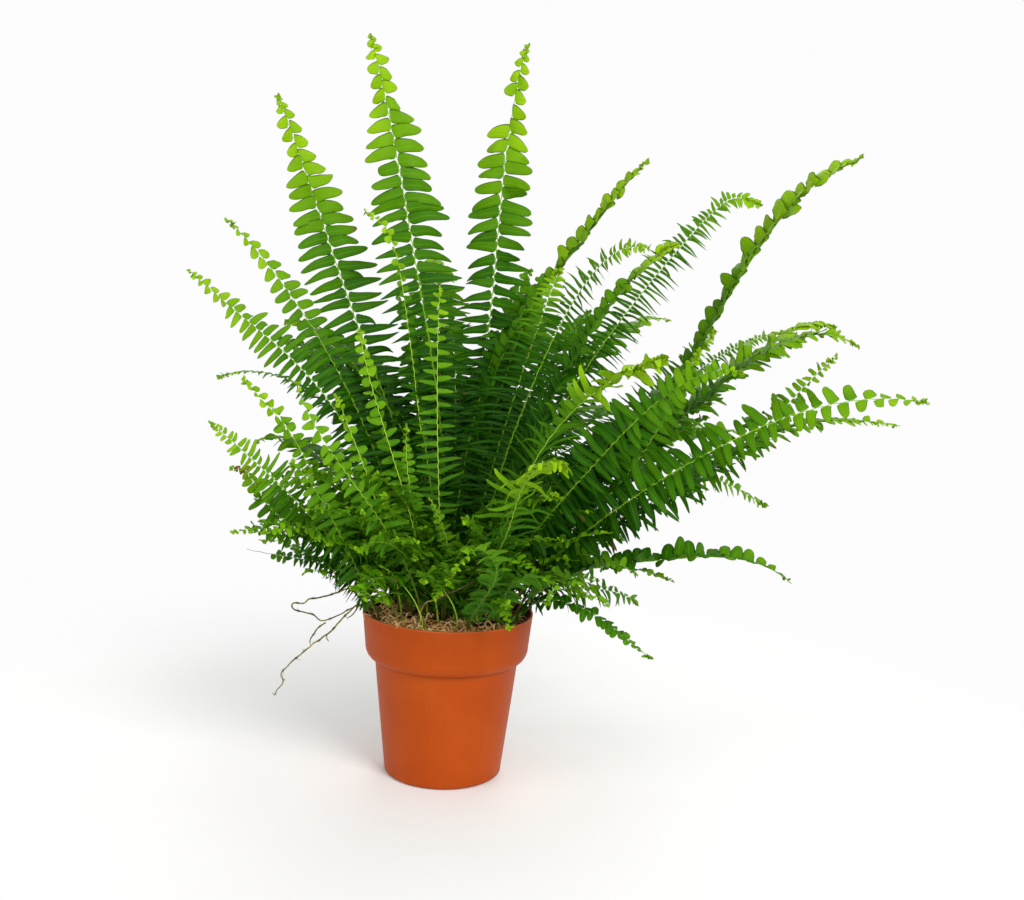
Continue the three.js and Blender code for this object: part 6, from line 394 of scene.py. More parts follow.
        (73.8, 18.4, 127.1, .707, -.65, -.278, 19.5), (78.8, 23.9, 127.3, .693, -.634, -.343, 20), (83.9, 29.5, 127, .644, -.651, -.401, 20),
        (89.2, 34.8, 126.3, .579, -.685, -.443, 20), (94.6, 39.4, 125.5, .509, -.721, -.47, 20), (100.1, 43.5, 124.6, .442, -.753, -.487, 19.9),
        (105.7, 47.1, 123.7, .377, -.78, -.499, 18.3), (111.4, 50.3, 122.7, .308, -.802, -.511, 16.1), (117.2, 53, 121.4, .229, -.82, -.525, 13.5),
        (123, 55.3, 119.8, .135, -.833, -.536, 10.4), (128.8, 57.3, 117.7, .026, -.842, -.539, 7.2), (134.4, 58.9, 114.9, -.095, -.847, -.523, 4.8),
        (139.6, 60, 111.3, -.17, -.836, -.522, 1.2),
    ]),
    ("frond_f23", 0.0, 14, 0.05, "m", [
        (42, -31, 119.5, -.633, -.767, -.101, 0), (44, -32.7, 119.7, -.569, -.792, -.22, 0.5), (47, -34.7, 120, -.347, -.887, -.304, 6.4),
        (50.9, -37.4, 125.5, -.236, -.913, -.332, 11.4), (55.6, -40.6, 130.1, -.272, -.887, -.372, 12.2), (61.1, -43.9, 133.7, -.294, -.903, -.314, 13),
        (67, -46.3, 135.8, -.227, -.949, -.221, 13.6), (73.3, -47.5, 136.4, -.142, -.975, -.168, 14), (79.7, -48.2, 135.8, -.134, -.98, -.145, 14),
        (86, -48.9, 134.3, -.177, -.976, -.124, 14), (92.1, -49.9, 132, -.223, -.969, -.104, 14), (98, -51.1, 129.3, -.257, -.962, -.089, 14),
        (103.7, -52.5, 126.2, -.277, -.958, -.078, 12.8), (109.2, -53.9, 122.7, -.287, -.955, -.073, 11.3), (114.6, -55.2, 119.1, -.289, -.955, -.072, 9.5),
        (119.9, -56.5, 115.3, -.285, -.956, -.075, 7.3), (125.3, -57.8, 111.5, -.274, -.958, -.082, 5), (130.6, -59, 107.7, -.258, -.962, -.092, 3.4),
        (136.1, -60, 104.1, -.247, -.964, -.098, 0.8),
    ]),
    ("frond_f24", 0.5, 10, 0.05, "m", [
        (29, -43, 121.5, -.738, .675, -.025, 0), (26.4, -45.8, 121.5, -.765, .643, -.01, 0.4), (24.6, -48.2, 121.5, -.814, .58, .036, 4.6),
        (23.4, -50.1, 121.4, -.851, .513, .11, 8.2), (22.6, -51.6, 121.3, -.912, .41, .015, 8.7), (22.1, -52.9, 121.4, -.896, -.275, -.348, 9.3),
        (22, -54.4, 124.9, -.889, -.414, -.194, 9.7), (22.2, -56.4, 128.5, -.898, -.409, -.159, 10), (22.8, -59, 132.2, -.898, -.424, -.112, 10),
        (23.8, -61.6, 135.8, -.879, -.476, -.032, 10), (25.3, -64.1, 138.9, -.801, -.59, .1, 10), (27.7, -66.1, 141, -.546, -.82, .17, 10),
        (30.9, -67.3, 141.1, -.329, -.914, -.236, 9.2), (34, -67.9, 139.2, -.485, -.747, -.454, 8.1), (36.9, -68.5, 136.6, -.63, -.683, -.37, 6.8),
        (39.3, -69.7, 133.6, -.743, -.632, -.222, 5.2), (41.3, -71.5, 130.5, -.828, -.555, -.084, 3.6), (42.6, -73.7, 127.2, -.885, -.462, .063, 2.4),
        (43, -75.9, 123.6, -.897, -.415, .15, 0.6),
    ]),
    ("frond_c4", 0.85, 9, 0.3, "m", [
        (-5, -27, 111.2, .929, .347, .129, 0), (-5.9, -27.2, 118.5, .924, .354, .147, 0), (-7.2, -27.3, 125.8, .915, .36, .179, 0),
        (-8.7, -27.3, 133, .907, .366, .206, 0), (-10.4, -27.4, 140.2, .899, .371, .232, 0), (-12.3, -27.7, 147.5, .89, .373, .261, 0),
        (-14.3, -28.5, 155, .881, .373, .29, 2.9), (-16.3, -30, 162.6, .876, .371, .308, 8), (-18.3, -31.8, 170.2, .875, .371, .311, 9),
        (-20.2, -33.5, 177.9, .879, .371, .3, 9), (-22.1, -35, 185.5, .885, .371, .281, 9), (-23.9, -36.3, 193.2, .893, .37, .257, 9),
        (-25.6, -37.2, 200.8, .901, .368, .228, 8.2), (-27.1, -38.1, 208.5, .91, .365, .195, 7.3), (-28.3, -38.8, 216.2, .919, .361, .157, 6.1),
        (-29.2, -39.3, 224, .927, .357, .111, 4.7), (-29.8, -39.7, 231.8, .934, .353, .06, 3.2), (-30, -39.9, 239.7, .937, .349, .003, 2.2),
        (-29.8, -40, 247.5, .939, .344, -.026, 0.5),
    ]),
    ("frond_c9", 0.95, 7, 0.5, "m", [
        (8, -38, 110, .961, .274, -.03, 0), (8.3, -38.7, 113.8, .953, .302, .029, 0), (8.2, -39.4, 117.5, .935, .324, .142, 0),
        (7.7, -40.1, 121.2, .903, .348, .251, 0), (6.7, -40.8, 124.8, .861, .371, .349, 0), (5.4, -41.4, 128.3, .814, .391, .429, 0),
        (3.7, -42.1, 131.7, .77, .406, .491, 0), (1.8, -42.7, 134.9, .734, .418, .536, 0), (-0.3, -43.2, 138, .707, .426, .565, 0),
        (-2.5, -43.6, 141, .691, .432, .58, 0), (-4.8, -43.8, 143.9, .686, .436, .583, 3.9), (-7.2, -43.9, 146.7, .69, .437, .577, 7),
        (-9.5, -43.8, 149.5, .701, .436, .565, 6.4), (-11.8, -43.8, 152.4, .713, .432, .552, 5.6), (-14, -43.8, 155.4, .727, .426, .539, 4.7),
        (-16, -44.3, 158.5, .747, .415, .519, 3.6), (-17.8, -45.1, 161.9, .778, .404, .482, 2.5), (-19.3, -46.2, 165.4, .815, .398, .421, 1.7),
        (-20.5, -47.3, 169.1, .84, .384, .383, 0.4),
    ]),
    ("frond_c6", 0.9, 8, 0.3, "m", [
        (5, -20, 111.3, .952, .303, .047, 0), (5, -20.7, 116.3, .951, .306, .054, 0), (4.9, -21.4, 121.3, .949, .308, .07, 0),
        (4.7, -22.2, 126.3, .947, .311, .087, 0), (4.5, -23, 131.2, .943, .315, .105, 0), (4.2, -23.9, 136.2, .94, .319, .124, 0),
        (3.8, -24.7, 141.1, .935, .324, .144, 2.6), (3.2, -25.6, 146.1, .93, .329, .164, 7.1), (2.6, -26.3, 151, .924, .336, .184, 8),
        (1.8, -26.9, 155.8, .917, .342, .205, 8), (0.8, -27.4, 160.7, .909, .348, .229, 8), (-0.3, -27.8, 165.5, .899, .354, .258, 8),
        (-1.6, -28.3, 170.3, .886, .36, .291, 7.3), (-3.1, -28.7, 175.1, .872, .366, .325, 6.5), (-4.7, -29.2, 179.9, .857, .371, .357, 5.4),
        (-6.6, -29.6, 184.6, .842, .377, .386, 4.2), (-8.8, -29.8, 189.2, .827, .382, .413, 2.9), (-11.1, -29.8, 193.6, .811, .387, .44, 1.9),
        (-13.6, -29.6, 198, .802, .39, .453, 0.5),
    ]),
    ("frond_cz", 1.0, 2.2, 0.75, "m", [
        (-15, -46, 108.2, .966, .258, -.021, 0), (-14.5, -47.6, 111.2, .94, .34, .034, 0), (-14.3, -49.1, 119.5, .873, .466, .145, 0),
        (-14.4, -50.5, 119.5, .717, .11, .689, 0), (-14.7, -51.8, 120.4, .752, .46, .472, 0), (-15.3, -53, 123.5, .82, .442, .363, 0),
        (-16.2, -54.1, 126.6, .815, .409, .41, 0), (-17.4, -55.1, 129.7, .786, .412, .46, 0), (-18.7, -56.2, 132.7, .751, .423, .507, 0),
        (-20.2, -57.2, 135.7, .716, .432, .549, 0), (-21.9, -58.2, 138.6, .68, .439, .587, 0), (-23.8, -59.4, 141.4, .645, .444, .622, 0),
        (-25.8, -60.5, 144.2, .609, .447, .655, 0), (-27.8, -61.8, 146.8, .573, .449, .685, 0), (-30, -63.2, 149.4, .536, .45, .714, 0.4),
        (-32.2, -64.7, 151.9, .499, .449, .741, 1), (-34.5, -66.3, 154.4, .463, .448, .765, 0.8), (-36.9, -68, 156.7, .428, .444, .787, 0.5),
        (-39.3, -69.8, 159, .406, .447, .797, 0.1),
    ]),
    ("frond_n1", 0.1, 18, 0.08, "m", [
        (15, -37, 109.1, -.995, -.052, .08, 0), (16.1, -46.3, 116.2, -.993, -.075, .096, 0), (17.8, -55.6, 123, -.986, -.117, .123, 4.2),
        (19.9, -64.7, 129.5, -.978, -.15, .147, 12.7), (22.3, -72.8, 135.4, -.968, -.177, .177, 15.7), (24.7, -79.7, 140.9, -.959, -.195, .208, 16.7),
        (27.2, -85.6, 146, -.955, -.198, .222, 17.5), (29.4, -91.2, 151, -.961, -.182, .207, 18), (31.4, -96.9, 155.9, -.973, -.15, .174, 18),
        (33, -102.6, 160.8, -.987, -.099, .131, 18), (33.9, -108.2, 165.6, -.997, -.024, .068, 18), (33.9, -113.5, 170.3, -.997, .077, -.022, 17.9),
        (32.8, -118.7, 175, -.973, .195, -.126, 16.5), (30.6, -123.8, 179.5, -.922, .319, -.219, 14.5), (27.1, -129.1, 183.7, -.844, .479, -.241, 12.2),
        (22.5, -134.9, 185.9, -.765, .644, -.012, 9.4), (17.4, -140.7, 183.9, -.796, .528, .295, 6.4), (12.9, -145.6, 179.1, -.859, .367, .357, 4.3),
        (8.9, -150, 173.1, -.882, .315, .35, 1.1),
    ]),
    ("frond_n2", 0.0, 18, 0.08, "m", [
        (34, -35, 108.9, -.965, -.262, .013, 0), (34.7, -37.2, 118.8, -.964, -.266, .015, 0), (35.4, -39.4, 118, -.965, -.261, .001, 4.2),
        (35.9, -41.6, 120.9, -.967, -.255, -.006, 12.7), (36.5, -44, 125.2, -.967, -.256, -.005, 15.7), (37.2, -46.5, 129.5, -.965, -.262, .004, 16.7),
        (38, -49.4, 133.8, -.964, -.267, .012, 17.5), (39.1, -52.9, 138.2, -.964, -.266, .007, 18), (40.4, -57.7, 142.7, -.965, -.262, .002, 18),
        (42, -63.8, 147.3, -.963, -.27, .008, 18), (44.1, -70.8, 151.8, -.953, -.303, .026, 18), (46.8, -78, 155.8, -.931, -.362, .053, 17.9),
        (50, -84.8, 159.1, -.894, -.442, .076, 16.5), (53.9, -91.5, 161.5, -.848, -.524, .077, 14.5), (58.5, -98, 163, -.808, -.587, .051, 12.2),
        (63.5, -104.4, 163.6, -.807, -.59, -.019, 9.4), (68, -111, 162.2, -.946, -.324, -.036, 6.4), (67.8, -116.3, 157, -.942, .006, .336, 4.3),
        (64.3, -120, 151.9, -.843, .06, .534, 1.1),
    ]),
    ("frond_b1", 0.0, 28, 0.14, "m", [
        (-10, 36, 109.8, .99, .139, 0, 0), (-10.5, 39.3, 130.2, .99, .139, 0, 0), (-11.1, 43.8, 150.3, .99, .139, 0, 0),
        (-11.9, 49.5, 170.1, .99, .139, 0, 6.1), (-12.8, 56.3, 189.5, .99, .139, 0, 20.1), (-13.9, 64, 208.5, .99, .139, 0, 26),
        (-15.1, 72.1, 227.3, .99, .139, 0, 27.3), (-16.3, 80.9, 245.8, .99, .139, 0, 28), (-17.7, 90.7, 263.8, .99, .139, 0, 28),
        (-19.3, 101.9, 281, .99, .139, 0, 28), (-21, 114.4, 297.3, .99, .139, 0, 28), (-23, 128.3, 312.4, .99, .139, 0, 27.9),
        (-25.1, 143.4, 326.3, .99, .139, 0, 25.6), (-27.4, 159.8, 338.6, .99, .139, 0, 22.6), (-29.9, 177.3, 349.3, .99, .139, 0, 19),
        (-32.5, 195.8, 358.1, .99, .139, 0, 14.6), (-35.2, 215.2, 364.9, .99, .139, 0, 10), (-38, 235.1, 369.6, .99, .139, 0, 6.7),
        (-40.8, 255.4, 372.1, .99, .139, 0, 1.7),
    ]),
    ("frond_b2", 0.0, 28, 0.14, "m", [
        (12, 38, 109.4, .961, -.276, 0, 0), (13.1, 41.8, 128.2, .961, -.276, 0, 0), (14.5, 46.9, 146.6, .961, -.276, 0, 0),
        (16.3, 53, 164.7, .961, -.276, 0, 6.1), (18.4, 60.2, 182.3, .961, -.276, 0, 20.1), (20.8, 68.5, 199.5, .961, -.276, 0, 26),
        (23.4, 77.8, 216, .961, -.276, 0, 27.3), (26.4, 88.2, 231.9, .961, -.276, 0, 28), (29.6, 99.5, 247, .961, -.276, 0, 28),
        (33.2, 111.8, 261.2, .961, -.276, 0, 28), (37, 125.2, 274.4, .961, -.276, 0, 28), (41.1, 139.5, 286.5, .961, -.276, 0, 27.9),
        (45.5, 154.8, 297.2, .961, -.276, 0, 25.6), (50.1, 171, 306.4, .961, -.276, 0, 22.6), (55, 188, 313.8, .961, -.276, 0, 19),
        (60, 205.6, 319.4, .961, -.276, 0, 14.6), (65.2, 223.7, 323.1, .961, -.276, 0, 10), (70.5, 242, 324.7, .961, -.276, 0, 6.7),
        (75.8, 260.4, 324.2, .961, -.276, 0, 1.7),
    ]),
    ("frond_b3", 0.0, 26, 0.14, "m", [
        (-28, 36, 109.1, .809, .588, 0, 0), (-32.3, 42, 126.3, .809, .588, 0, 0), (-37.4, 49, 142.8, .809, .588, 0, 0),
        (-43.1, 56.8, 158.5, .809, .588, 0, 5.7), (-49.1, 65.1, 173.5, .809, .588, 0, 18.6), (-55.1, 73.3, 188.1, .809, .588, 0, 24.1),
        (-61.1, 81.5, 202.7, .809, .588, 0, 25.3), (-67.2, 89.9, 216.9, .809, .588, 0, 26), (-73.5, 98.6, 230.9, .809, .588, 0, 26),
        (-79.9, 107.4, 244.8, .809, .588, 0, 26), (-86.6, 116.7, 258.6, .809, .588, 0, 26), (-94, 126.8, 271.9, .809, .588, 0, 25.9),
        (-102.2, 138.1, 283.7, .809, .588, 0, 23.8), (-111.4, 150.7, 293.5, .809, .588, 0, 21), (-121.3, 164.4, 301.1, .809, .588, 0, 17.6),
        (-131.7, 178.7, 306.5, .809, .588, 0, 13.5), (-142.4, 193.5, 309.7, .809, .588, 0, 9.3), (-153.4, 208.5, 310.7, .809, .588, 0, 6.2),
        (-164.3, 223.6, 309.7, .809, .588, 0, 1.6),
    ]),
    ("frond_b4", 0.0, 26, 0.14, "m", [
        (28, 38, 108.7, .788, -.616, 0, 0), (31.1, 42, 127.5, .788, -.616, 0, 0), (35, 47, 145.8, .788, -.616, 0, 0),
        (39.9, 53.2, 163.4, .788, -.616, 0, 5.7), (45.7, 60.7, 180.2, .788, -.616, 0, 18.6), (52.3, 69.1, 196.1, .788, -.616, 0, 24.1),
        (58.8, 77.5, 211.7, .788, -.616, 0, 25.3), (64.9, 85.2, 227.8, .788, -.616, 0, 26), (71, 93, 244.1, .788, -.616, 0, 26),
        (77.8, 101.8, 259.8, .788, -.616, 0, 26), (85.6, 111.8, 274.2, .788, -.616, 0, 26), (94.5, 123, 287.2, .788, -.616, 0, 25.9),
        (104.1, 135.4, 298.6, .788, -.616, 0, 23.8), (114.5, 148.7, 308.2, .788, -.616, 0, 21), (125.5, 162.8, 315.9, .788, -.616, 0, 17.6),
        (136.9, 177.4, 321.7, .788, -.616, 0, 13.5), (148.6, 192.4, 325.4, .788, -.616, 0, 9.3), (160.6, 207.7, 327, .788, -.616, 0, 6.2),
        (172.5, 223, 326.6, .788, -.616, 0, 1.6),
    ]),
    ("frond_b5", 0.0, 25, 0.14, "m", [
        (-0, 46, 109.2, .999, .035, 0, 0), (-0.2, 52.6, 125.7, .999, .035, 0, 0), (-0.5, 60.6, 141.6, .999, .035, 0, 0),
        (-0.8, 69.9, 156.8, .999, .035, 0, 5.4), (-1.2, 80.3, 171.2, .999, .035, 0, 17.9), (-1.6, 91.8, 184.8, .999, .035, 0, 23.2),
        (-2, 104.2, 197.5, .999, .035, 0, 24.4), (-2.5, 117.7, 209.2, .999, .035, 0, 25), (-3, 131.9, 219.7, .999, .035, 0, 25),
        (-3.5, 147, 229.2, .999, .035, 0, 25), (-4.1, 162.8, 237.2, .999, .035, 0, 25), (-4.7, 179.3, 243.9, .999, .035, 0, 24.9),
        (-5.2, 196.4, 248.9, .999, .035, 0, 22.9), (-5.9, 213.8, 252.3, .999, .035, 0, 20.2), (-6.5, 231.6, 253.7, .999, .035, 0, 16.9),
        (-7.1, 249.3, 253.2, .999, .035, 0, 13), (-7.7, 266.9, 250.6, .999, .035, 0, 9), (-8.3, 284.1, 246.1, .999, .035, 0, 6),
        (-8.9, 300.6, 239.6, .999, .035, 0, 1.5),
    ]),
    ("frond_b6", 0.0, 22, 0.14, "m", [
        (-40, 34, 119.5, .719, .695, 0, 0), (-44.2, 38.4, 119.7, .719, .695, 0, 0), (-49, 43.4, 131.4, .719, .695, 0, 0),
        (-54.4, 48.9, 142.6, .719, .695, 0, 4.8), (-60.4, 55.1, 153.2, .719, .695, 0, 15.8), (-66.8, 61.7, 163.2, .719, .695, 0, 20.4),
        (-73.6, 68.8, 172.6, .719, .695, 0, 21.4), (-80.9, 76.4, 181.2, .719, .695, 0, 22), (-88.7, 84.4, 189.1, .719, .695, 0, 22),
        (-96.8, 92.8, 196.1, .719, .695, 0, 22), (-105.2, 101.5, 202.2, .719, .695, 0, 22), (-114, 110.6, 207.2, .719, .695, 0, 21.9),
        (-123, 120, 211.2, .719, .695, 0, 20.1), (-132.3, 129.6, 213.9, .719, .695, 0, 17.7), (-141.7, 139.3, 215.4, .719, .695, 0, 14.9),
        (-151.2, 149.1, 215.4, .719, .695, 0, 11.5), (-160.6, 158.9, 214.1, .719, .695, 0, 7.9), (-169.8, 168.4, 211.4, .719, .695, 0, 5.3),
        (-178.8, 177.8, 207.2, .719, .695, 0, 1.3),
    ]),
    ("frond_b7", 0.0, 22, 0.14, "m", [
        (40, 30, 119.5, .559, -.829, 0, 0), (45.9, 34, 123.4, .559, -.829, 0, 0), (52.3, 38.3, 138, .559, -.829, 0, 0),
        (59.6, 43.2, 152.5, .559, -.829, 0, 4.8), (67.9, 48.8, 166.3, .559, -.829, 0, 15.8), (77.2, 55.1, 179.1, .559, -.829, 0, 20.4),
        (87.3, 61.9, 191.2, .559, -.829, 0, 21.4), (97.8, 69, 202.8, .559, -.829, 0, 22), (109.1, 76.6, 213.4, .559, -.829, 0, 22),
        (121.6, 85.1, 221.9, .559, -.829, 0, 22), (135.2, 94.2, 227.7, .559, -.829, 0, 22), (149.2, 103.7, 231.5, .559, -.829, 0, 21.9),
        (163.1, 113, 234.6, .559, -.829, 0, 20.1), (176.9, 122.3, 237, .559, -.829, 0, 17.7), (190.7, 131.7, 238.5, .559, -.829, 0, 14.9),
        (204.6, 141, 238.7, .559, -.829, 0, 11.5), (218.3, 150.3, 237.3, .559, -.829, 0, 7.9), (231.9, 159.5, 234.4, .559, -.829, 0, 5.3),
        (245.2, 168.4, 229.8, .559, -.829, 0, 1.3),
    ]),
    ("frond_b8", 0.0, 21, 0.14, "m", [
        (16, 48, 119.5, .913, -.407, 0, 0), (20.2, 57.4, 119.5, .913, -.407, 0, 0), (24.7, 67.5, 128.6, .913, -.407, 0, 0),
        (29.5, 78.3, 137.9, .913, -.407, 0, 4.6), (34.5, 89.6, 146.3, .913, -.407, 0, 15), (39.8, 101.5, 153.8, .913, -.407, 0, 19.5),
        (45.3, 113.8, 160.3, .913, -.407, 0, 20.5), (51, 126.6, 165.9, .913, -.407, 0, 21), (56.8, 139.6, 170.4, .913, -.407, 0, 21),
        (62.7, 153, 173.9, .913, -.407, 0, 21), (68.8, 166.5, 176.2, .913, -.407, 0, 21), (74.8, 180.2, 177.4, .913, -.407, 0, 20.9),
        (81, 193.9, 177.4, .913, -.407, 0, 19.2), (87, 207.5, 176.1, .913, -.407, 0, 16.9), (93, 221, 173.4, .913, -.407, 0, 14.2),
        (98.9, 234.2, 169.4, .913, -.407, 0, 10.9), (104.6, 247, 164.1, .913, -.407, 0, 7.5), (110.1, 259.3, 157.4, .913, -.407, 0, 5),
        (115.2, 270.9, 149.4, .913, -.407, 0, 1.3),
    ]),
    ("frond_b9", 0.0, 22, 0.14, "m", [
        (-18, 46, 107.6, .883, .469, 0, 0), (-22, 53.5, 120.7, .883, .469, 0, 0), (-26.4, 61.9, 133, .883, .469, 0, 0),
        (-31.4, 71.2, 144.5, .883, .469, 0, 4.8), (-36.8, 81.3, 155, .883, .469, 0, 15.8), (-42.5, 92.1, 164.7, .883, .469, 0, 20.4),
        (-48.6, 103.5, 173.3, .883, .469, 0, 21.4), (-55, 115.5, 180.9, .883, .469, 0, 22), (-61.6, 128, 187.4, .883, .469, 0, 22),
        (-68.4, 140.9, 192.8, .883, .469, 0, 22), (-75.5, 154.1, 196.9, .883, .469, 0, 22), (-82.7, 167.6, 199.7, .883, .469, 0, 21.9),
        (-90, 181.3, 201.1, .883, .469, 0, 20.1), (-97.2, 195.1, 201.1, .883, .469, 0, 17.7), (-104.5, 208.7, 199.6, .883, .469, 0, 14.9),
        (-111.7, 222.2, 196.4, .883, .469, 0, 11.5), (-118.6, 235.3, 191.7, .883, .469, 0, 7.9), (-125.3, 247.8, 185.4, .883, .469, 0, 5.3),
        (-131.7, 259.8, 177.7, .883, .469, 0, 1.3),
    ]),
]

# ------------------------------------------------------------------ helpers
def spread(*stops):
    """A smooth table: spread((x0, y0), (x1, y1), ...)(x)."""
    xs, ys = zip(*stops)
    return lambda x: np.interp(x, xs, ys)


def smooth(a, b, x):
    t = np.clip((np.asarray(x, float) - a) / (b - a), 0, 1)
    return t * t * (3 - 2 * t)


def unit(v):
    v = np.asarray(v, float)
    return v / np.maximum(np.linalg.norm(v, axis=-1, keepdims=True), 1e-12)


def catmull(P, per):
    """A smooth curve through the rows of P, with per steps between two rows."""
    P = np.asarray(P, float)
    Q = np.vstack([2 * P[0] - P[1], P, 2 * P[-1] - P[-2]])
    t = np.linspace(0, 1, per, endpoint=False)[:, None]
    out = []
    for i in range(len(P) - 1):
        a, b, c, d = Q[i:i + 4]
        out.append(0.5 * (2 * b + (c - a) * t + (2 * a - 5 * b + 4 * c - d) * t ** 2
                          + (3 * b - a - 3 * c + d) * t ** 3))
    return np.vstack(out + [P[-1:]])


def arc_table(P):
    d = np.linalg.norm(np.diff(P, axis=0), axis=1)
    return np.concatenate([[0], np.cumsum(d)])


def along(P, at, *more):
    """P, and each of more, read at distances at along P."""
    s = arc_table(P)
    read = lambda A: np.stack([np.interp(at, s, A[:, k]) for k in range(A.shape[1])], 1)
    return [read(np.asarray(A, float).reshape(len(P), -1)) for A in (P,) + more]


class Clay:
    """Gathers closed bodies into one mesh: corners in millimetres, with a few
    numbers per corner (tone, edge, dry, rnd), a UV in centimetres along and
    across each leaf, and a material and an underside mark per face."""

    NUMBERS = ("tone", "edge", "dry", "rnd")

    def __init__(self):
        self.v, self.f, self.uv = [], [], []
        self.num = {k: [] for k in self.NUMBERS}
        self.m, self.under = [], []
        self.n = 0

    def add(self, V, F, uv=None, m=0, under=None, **num):
        V = np.asarray(V, float)
        k = len(V)
        self.v.append(V)
        for f in F:
            f = np.asarray(f, int)
            self.f.append(f + self.n)
            self.m.append(np.full(len(f), m))
            self.under.append(np.zeros(len(f)))
        if under is not None:
            for i, u in enumerate(under):
                self.under[len(self.under) - len(F) + i][:] = u
        self.uv.append(np.zeros((k, 2)) if uv is None else np.asarray(uv, float))
        for name in self.NUMBERS:
            self.num[name].append(np.broadcast_to(np.asarray(num.get(name, 0.0), float), (k,)).copy())
        self.n += k

    def mesh(self, name, mats, sharp=62.0):
        V = np.vstack(self.v)
        tall = [f for f in self.f if len(f)]
        loops = np.concatenate([f.ravel() for f in tall])
        counts = np.concatenate([np.full(len(f), f.shape[1]) for f in tall])
        me = bpy.data.meshes.new(name)
        me.vertices.add(len(V))
        me.vertices.foreach_set("co", (V * MM).astype(np.float32).ravel())
        me.loops.add(len(loops))
        me.loops.foreach_set("vertex_index", loops.astype(np.int32))
        me.polygons.add(len(counts))
        me.polygons.foreach_set("loop_start", np.concatenate([[0], np.cumsum(counts)[:-1]]).astype(np.int32))
        slots = np.concatenate([m for m, f in zip(self.m, self.f) if len(f)]).astype(np.int32)
        me.polygons.foreach_set("material_index", slots)
        me.polygons.foreach_set("use_smooth", np.ones(len(counts), bool))
        me.update(calc_edges=True)
        uv = np.vstack(self.uv)
        layer = me.uv_layers.new(name="Leaf")
        layer.data.foreach_set("uv", uv[loops].astype(np.float32).ravel())
        for key in self.NUMBERS:
            a = me.attributes.new(key, "FLOAT", "POINT")
            a.data.foreach_set("value", np.concatenate(self.num[key]).astype(np.float32))
        a = me.attributes.new("under", "FLOAT", "FACE")
        a.data.foreach_set("value", np.concatenate(
            [u for u, f in zip(self.under, self.f) if len(f)]).astype(np.float32))
        if sharp:
            me.set_sharp_from_angle(angle=math.radians(sharp))
        for mat in mats:
            me.materials.append(mat)
        ob = bpy.data.objects.new(name, me)
        bpy.context.scene.collection.objects.link(ob)
        return ob


def tube_body(C, R, sides=6, up=None, squash=1.0):
    """Corners and faces of a closed tube along the rows of C with radii R."""
    C = np.asarray(C, float)
    n = len(C)
    R = np.broadcast_to(R, (n,))
    T = unit(np.gradient(C, axis=0))
    U = np.zeros_like(C)
    u = np.array(up if up is not None else (0.31, 0.17, 0.94), float)
    if abs(u @ T[0]) > 0.95:
        u = np.array((0.9, 0.2, 0.1))
    for i in range(n):
        u = u - T[i] * (u @ T[i])
        u = u / max(np.linalg.norm(u), 1e-9)
        U[i] = u
    S = np.cross(T, U)
    a = np.arange(sides) * 2 * np.pi / sides
    V = C[:, None] + R[:, None, None] * (np.cos(a)[None, :, None] * U[:, None] * squash
                                        + np.sin(a)[None, :, None] * S[:, None])
    i, j = np.meshgrid(np.arange(n - 1), np.arange(sides), indexing="ij")
    j2 = (j + 1) % sides
    quads = np.stack([i * sides + j, i * sides + j2, (i + 1) * sides + j2, (i + 1) * sides + j], -1).reshape(-1, 4)
    V = np.vstack([V.reshape(-1, 3), C[:1] - T[:1] * R[0] * 0.5, C[-1:] + T[-1:] * R[-1] * 0.7])
    a0, a1 = n * sides, n * sides + 1
    k = np.arange(sides)
    k2 = (k + 1) % sides
    caps = np.vstack([np.stack([np.full(sides, a0), k2, k], 1),
                      np.stack([np.full(sides, a1), (n - 1) * sides + k, (n - 1) * sides + k2], 1)])
    return V, [quads, caps], sides


def tube(clay, C, R, sides=6, m=0, up=None, squash=1.0, **num):
    V, F, sides = tube_body(C, R, sides, up, squash)
    n = len(C)
    s = arc_table(np.asarray(C, float))
    ring = np.repeat(s, sides)
    turn = np.tile(np.arange(sides) / sides, n)
    uv = np.vstack([np.stack([ring / 10, turn], 1), [[0, 0.5], [s[-1] / 10, 0.5]]])
    full = {}
    for k, val in num.items():
        val = np.broadcast_to(np.asarray(val, float), (n,))
        full[k] = np.concatenate([np.repeat(val, sides), [val[0], val[-1]]])
    clay.add(V, F, uv, m, **full)


# ------------------------------------------------------------------- leaflets
ST_T = np.array([0, .03, .08, .16, .27, .40, .53, .66, .78, .88, .955, 1.0])
# half widths towards the tip of the frond and towards its foot, for a leaflet
# that narrows from an eared base to a fine point, one with a blunt end, and
# the broad half-moon of the frond's tip
SHAPES = (
    (np.array([.34, .66, .74, .60, .50, .44, .38, .29, .19, .11, .05, 0]),
     np.array([.14, .32, .43, .44, .42, .39, .34, .26, .17, .10, .045, 0])),
    (np.array([.36, .64, .72, .67, .62, .59, .56, .52, .46, .37, .25, 0]),
     np.array([.14, .34, .46, .50, .52, .52, .51, .48, .42, .33, .22, 0])),
    (np.array([.60, .76, .80, .76, .69, .59, .49, .38, .26, .16, .08, 0]),
     np.array([.16, .28, .33, .35, .36, .37, .38, .37, .33, .25, .15, 0])),
)
SHORT = [0, 2, 3, 4, 6, 8, 9, 10, 11]
TINY = [0, 2, 4, 7, 9, 11]


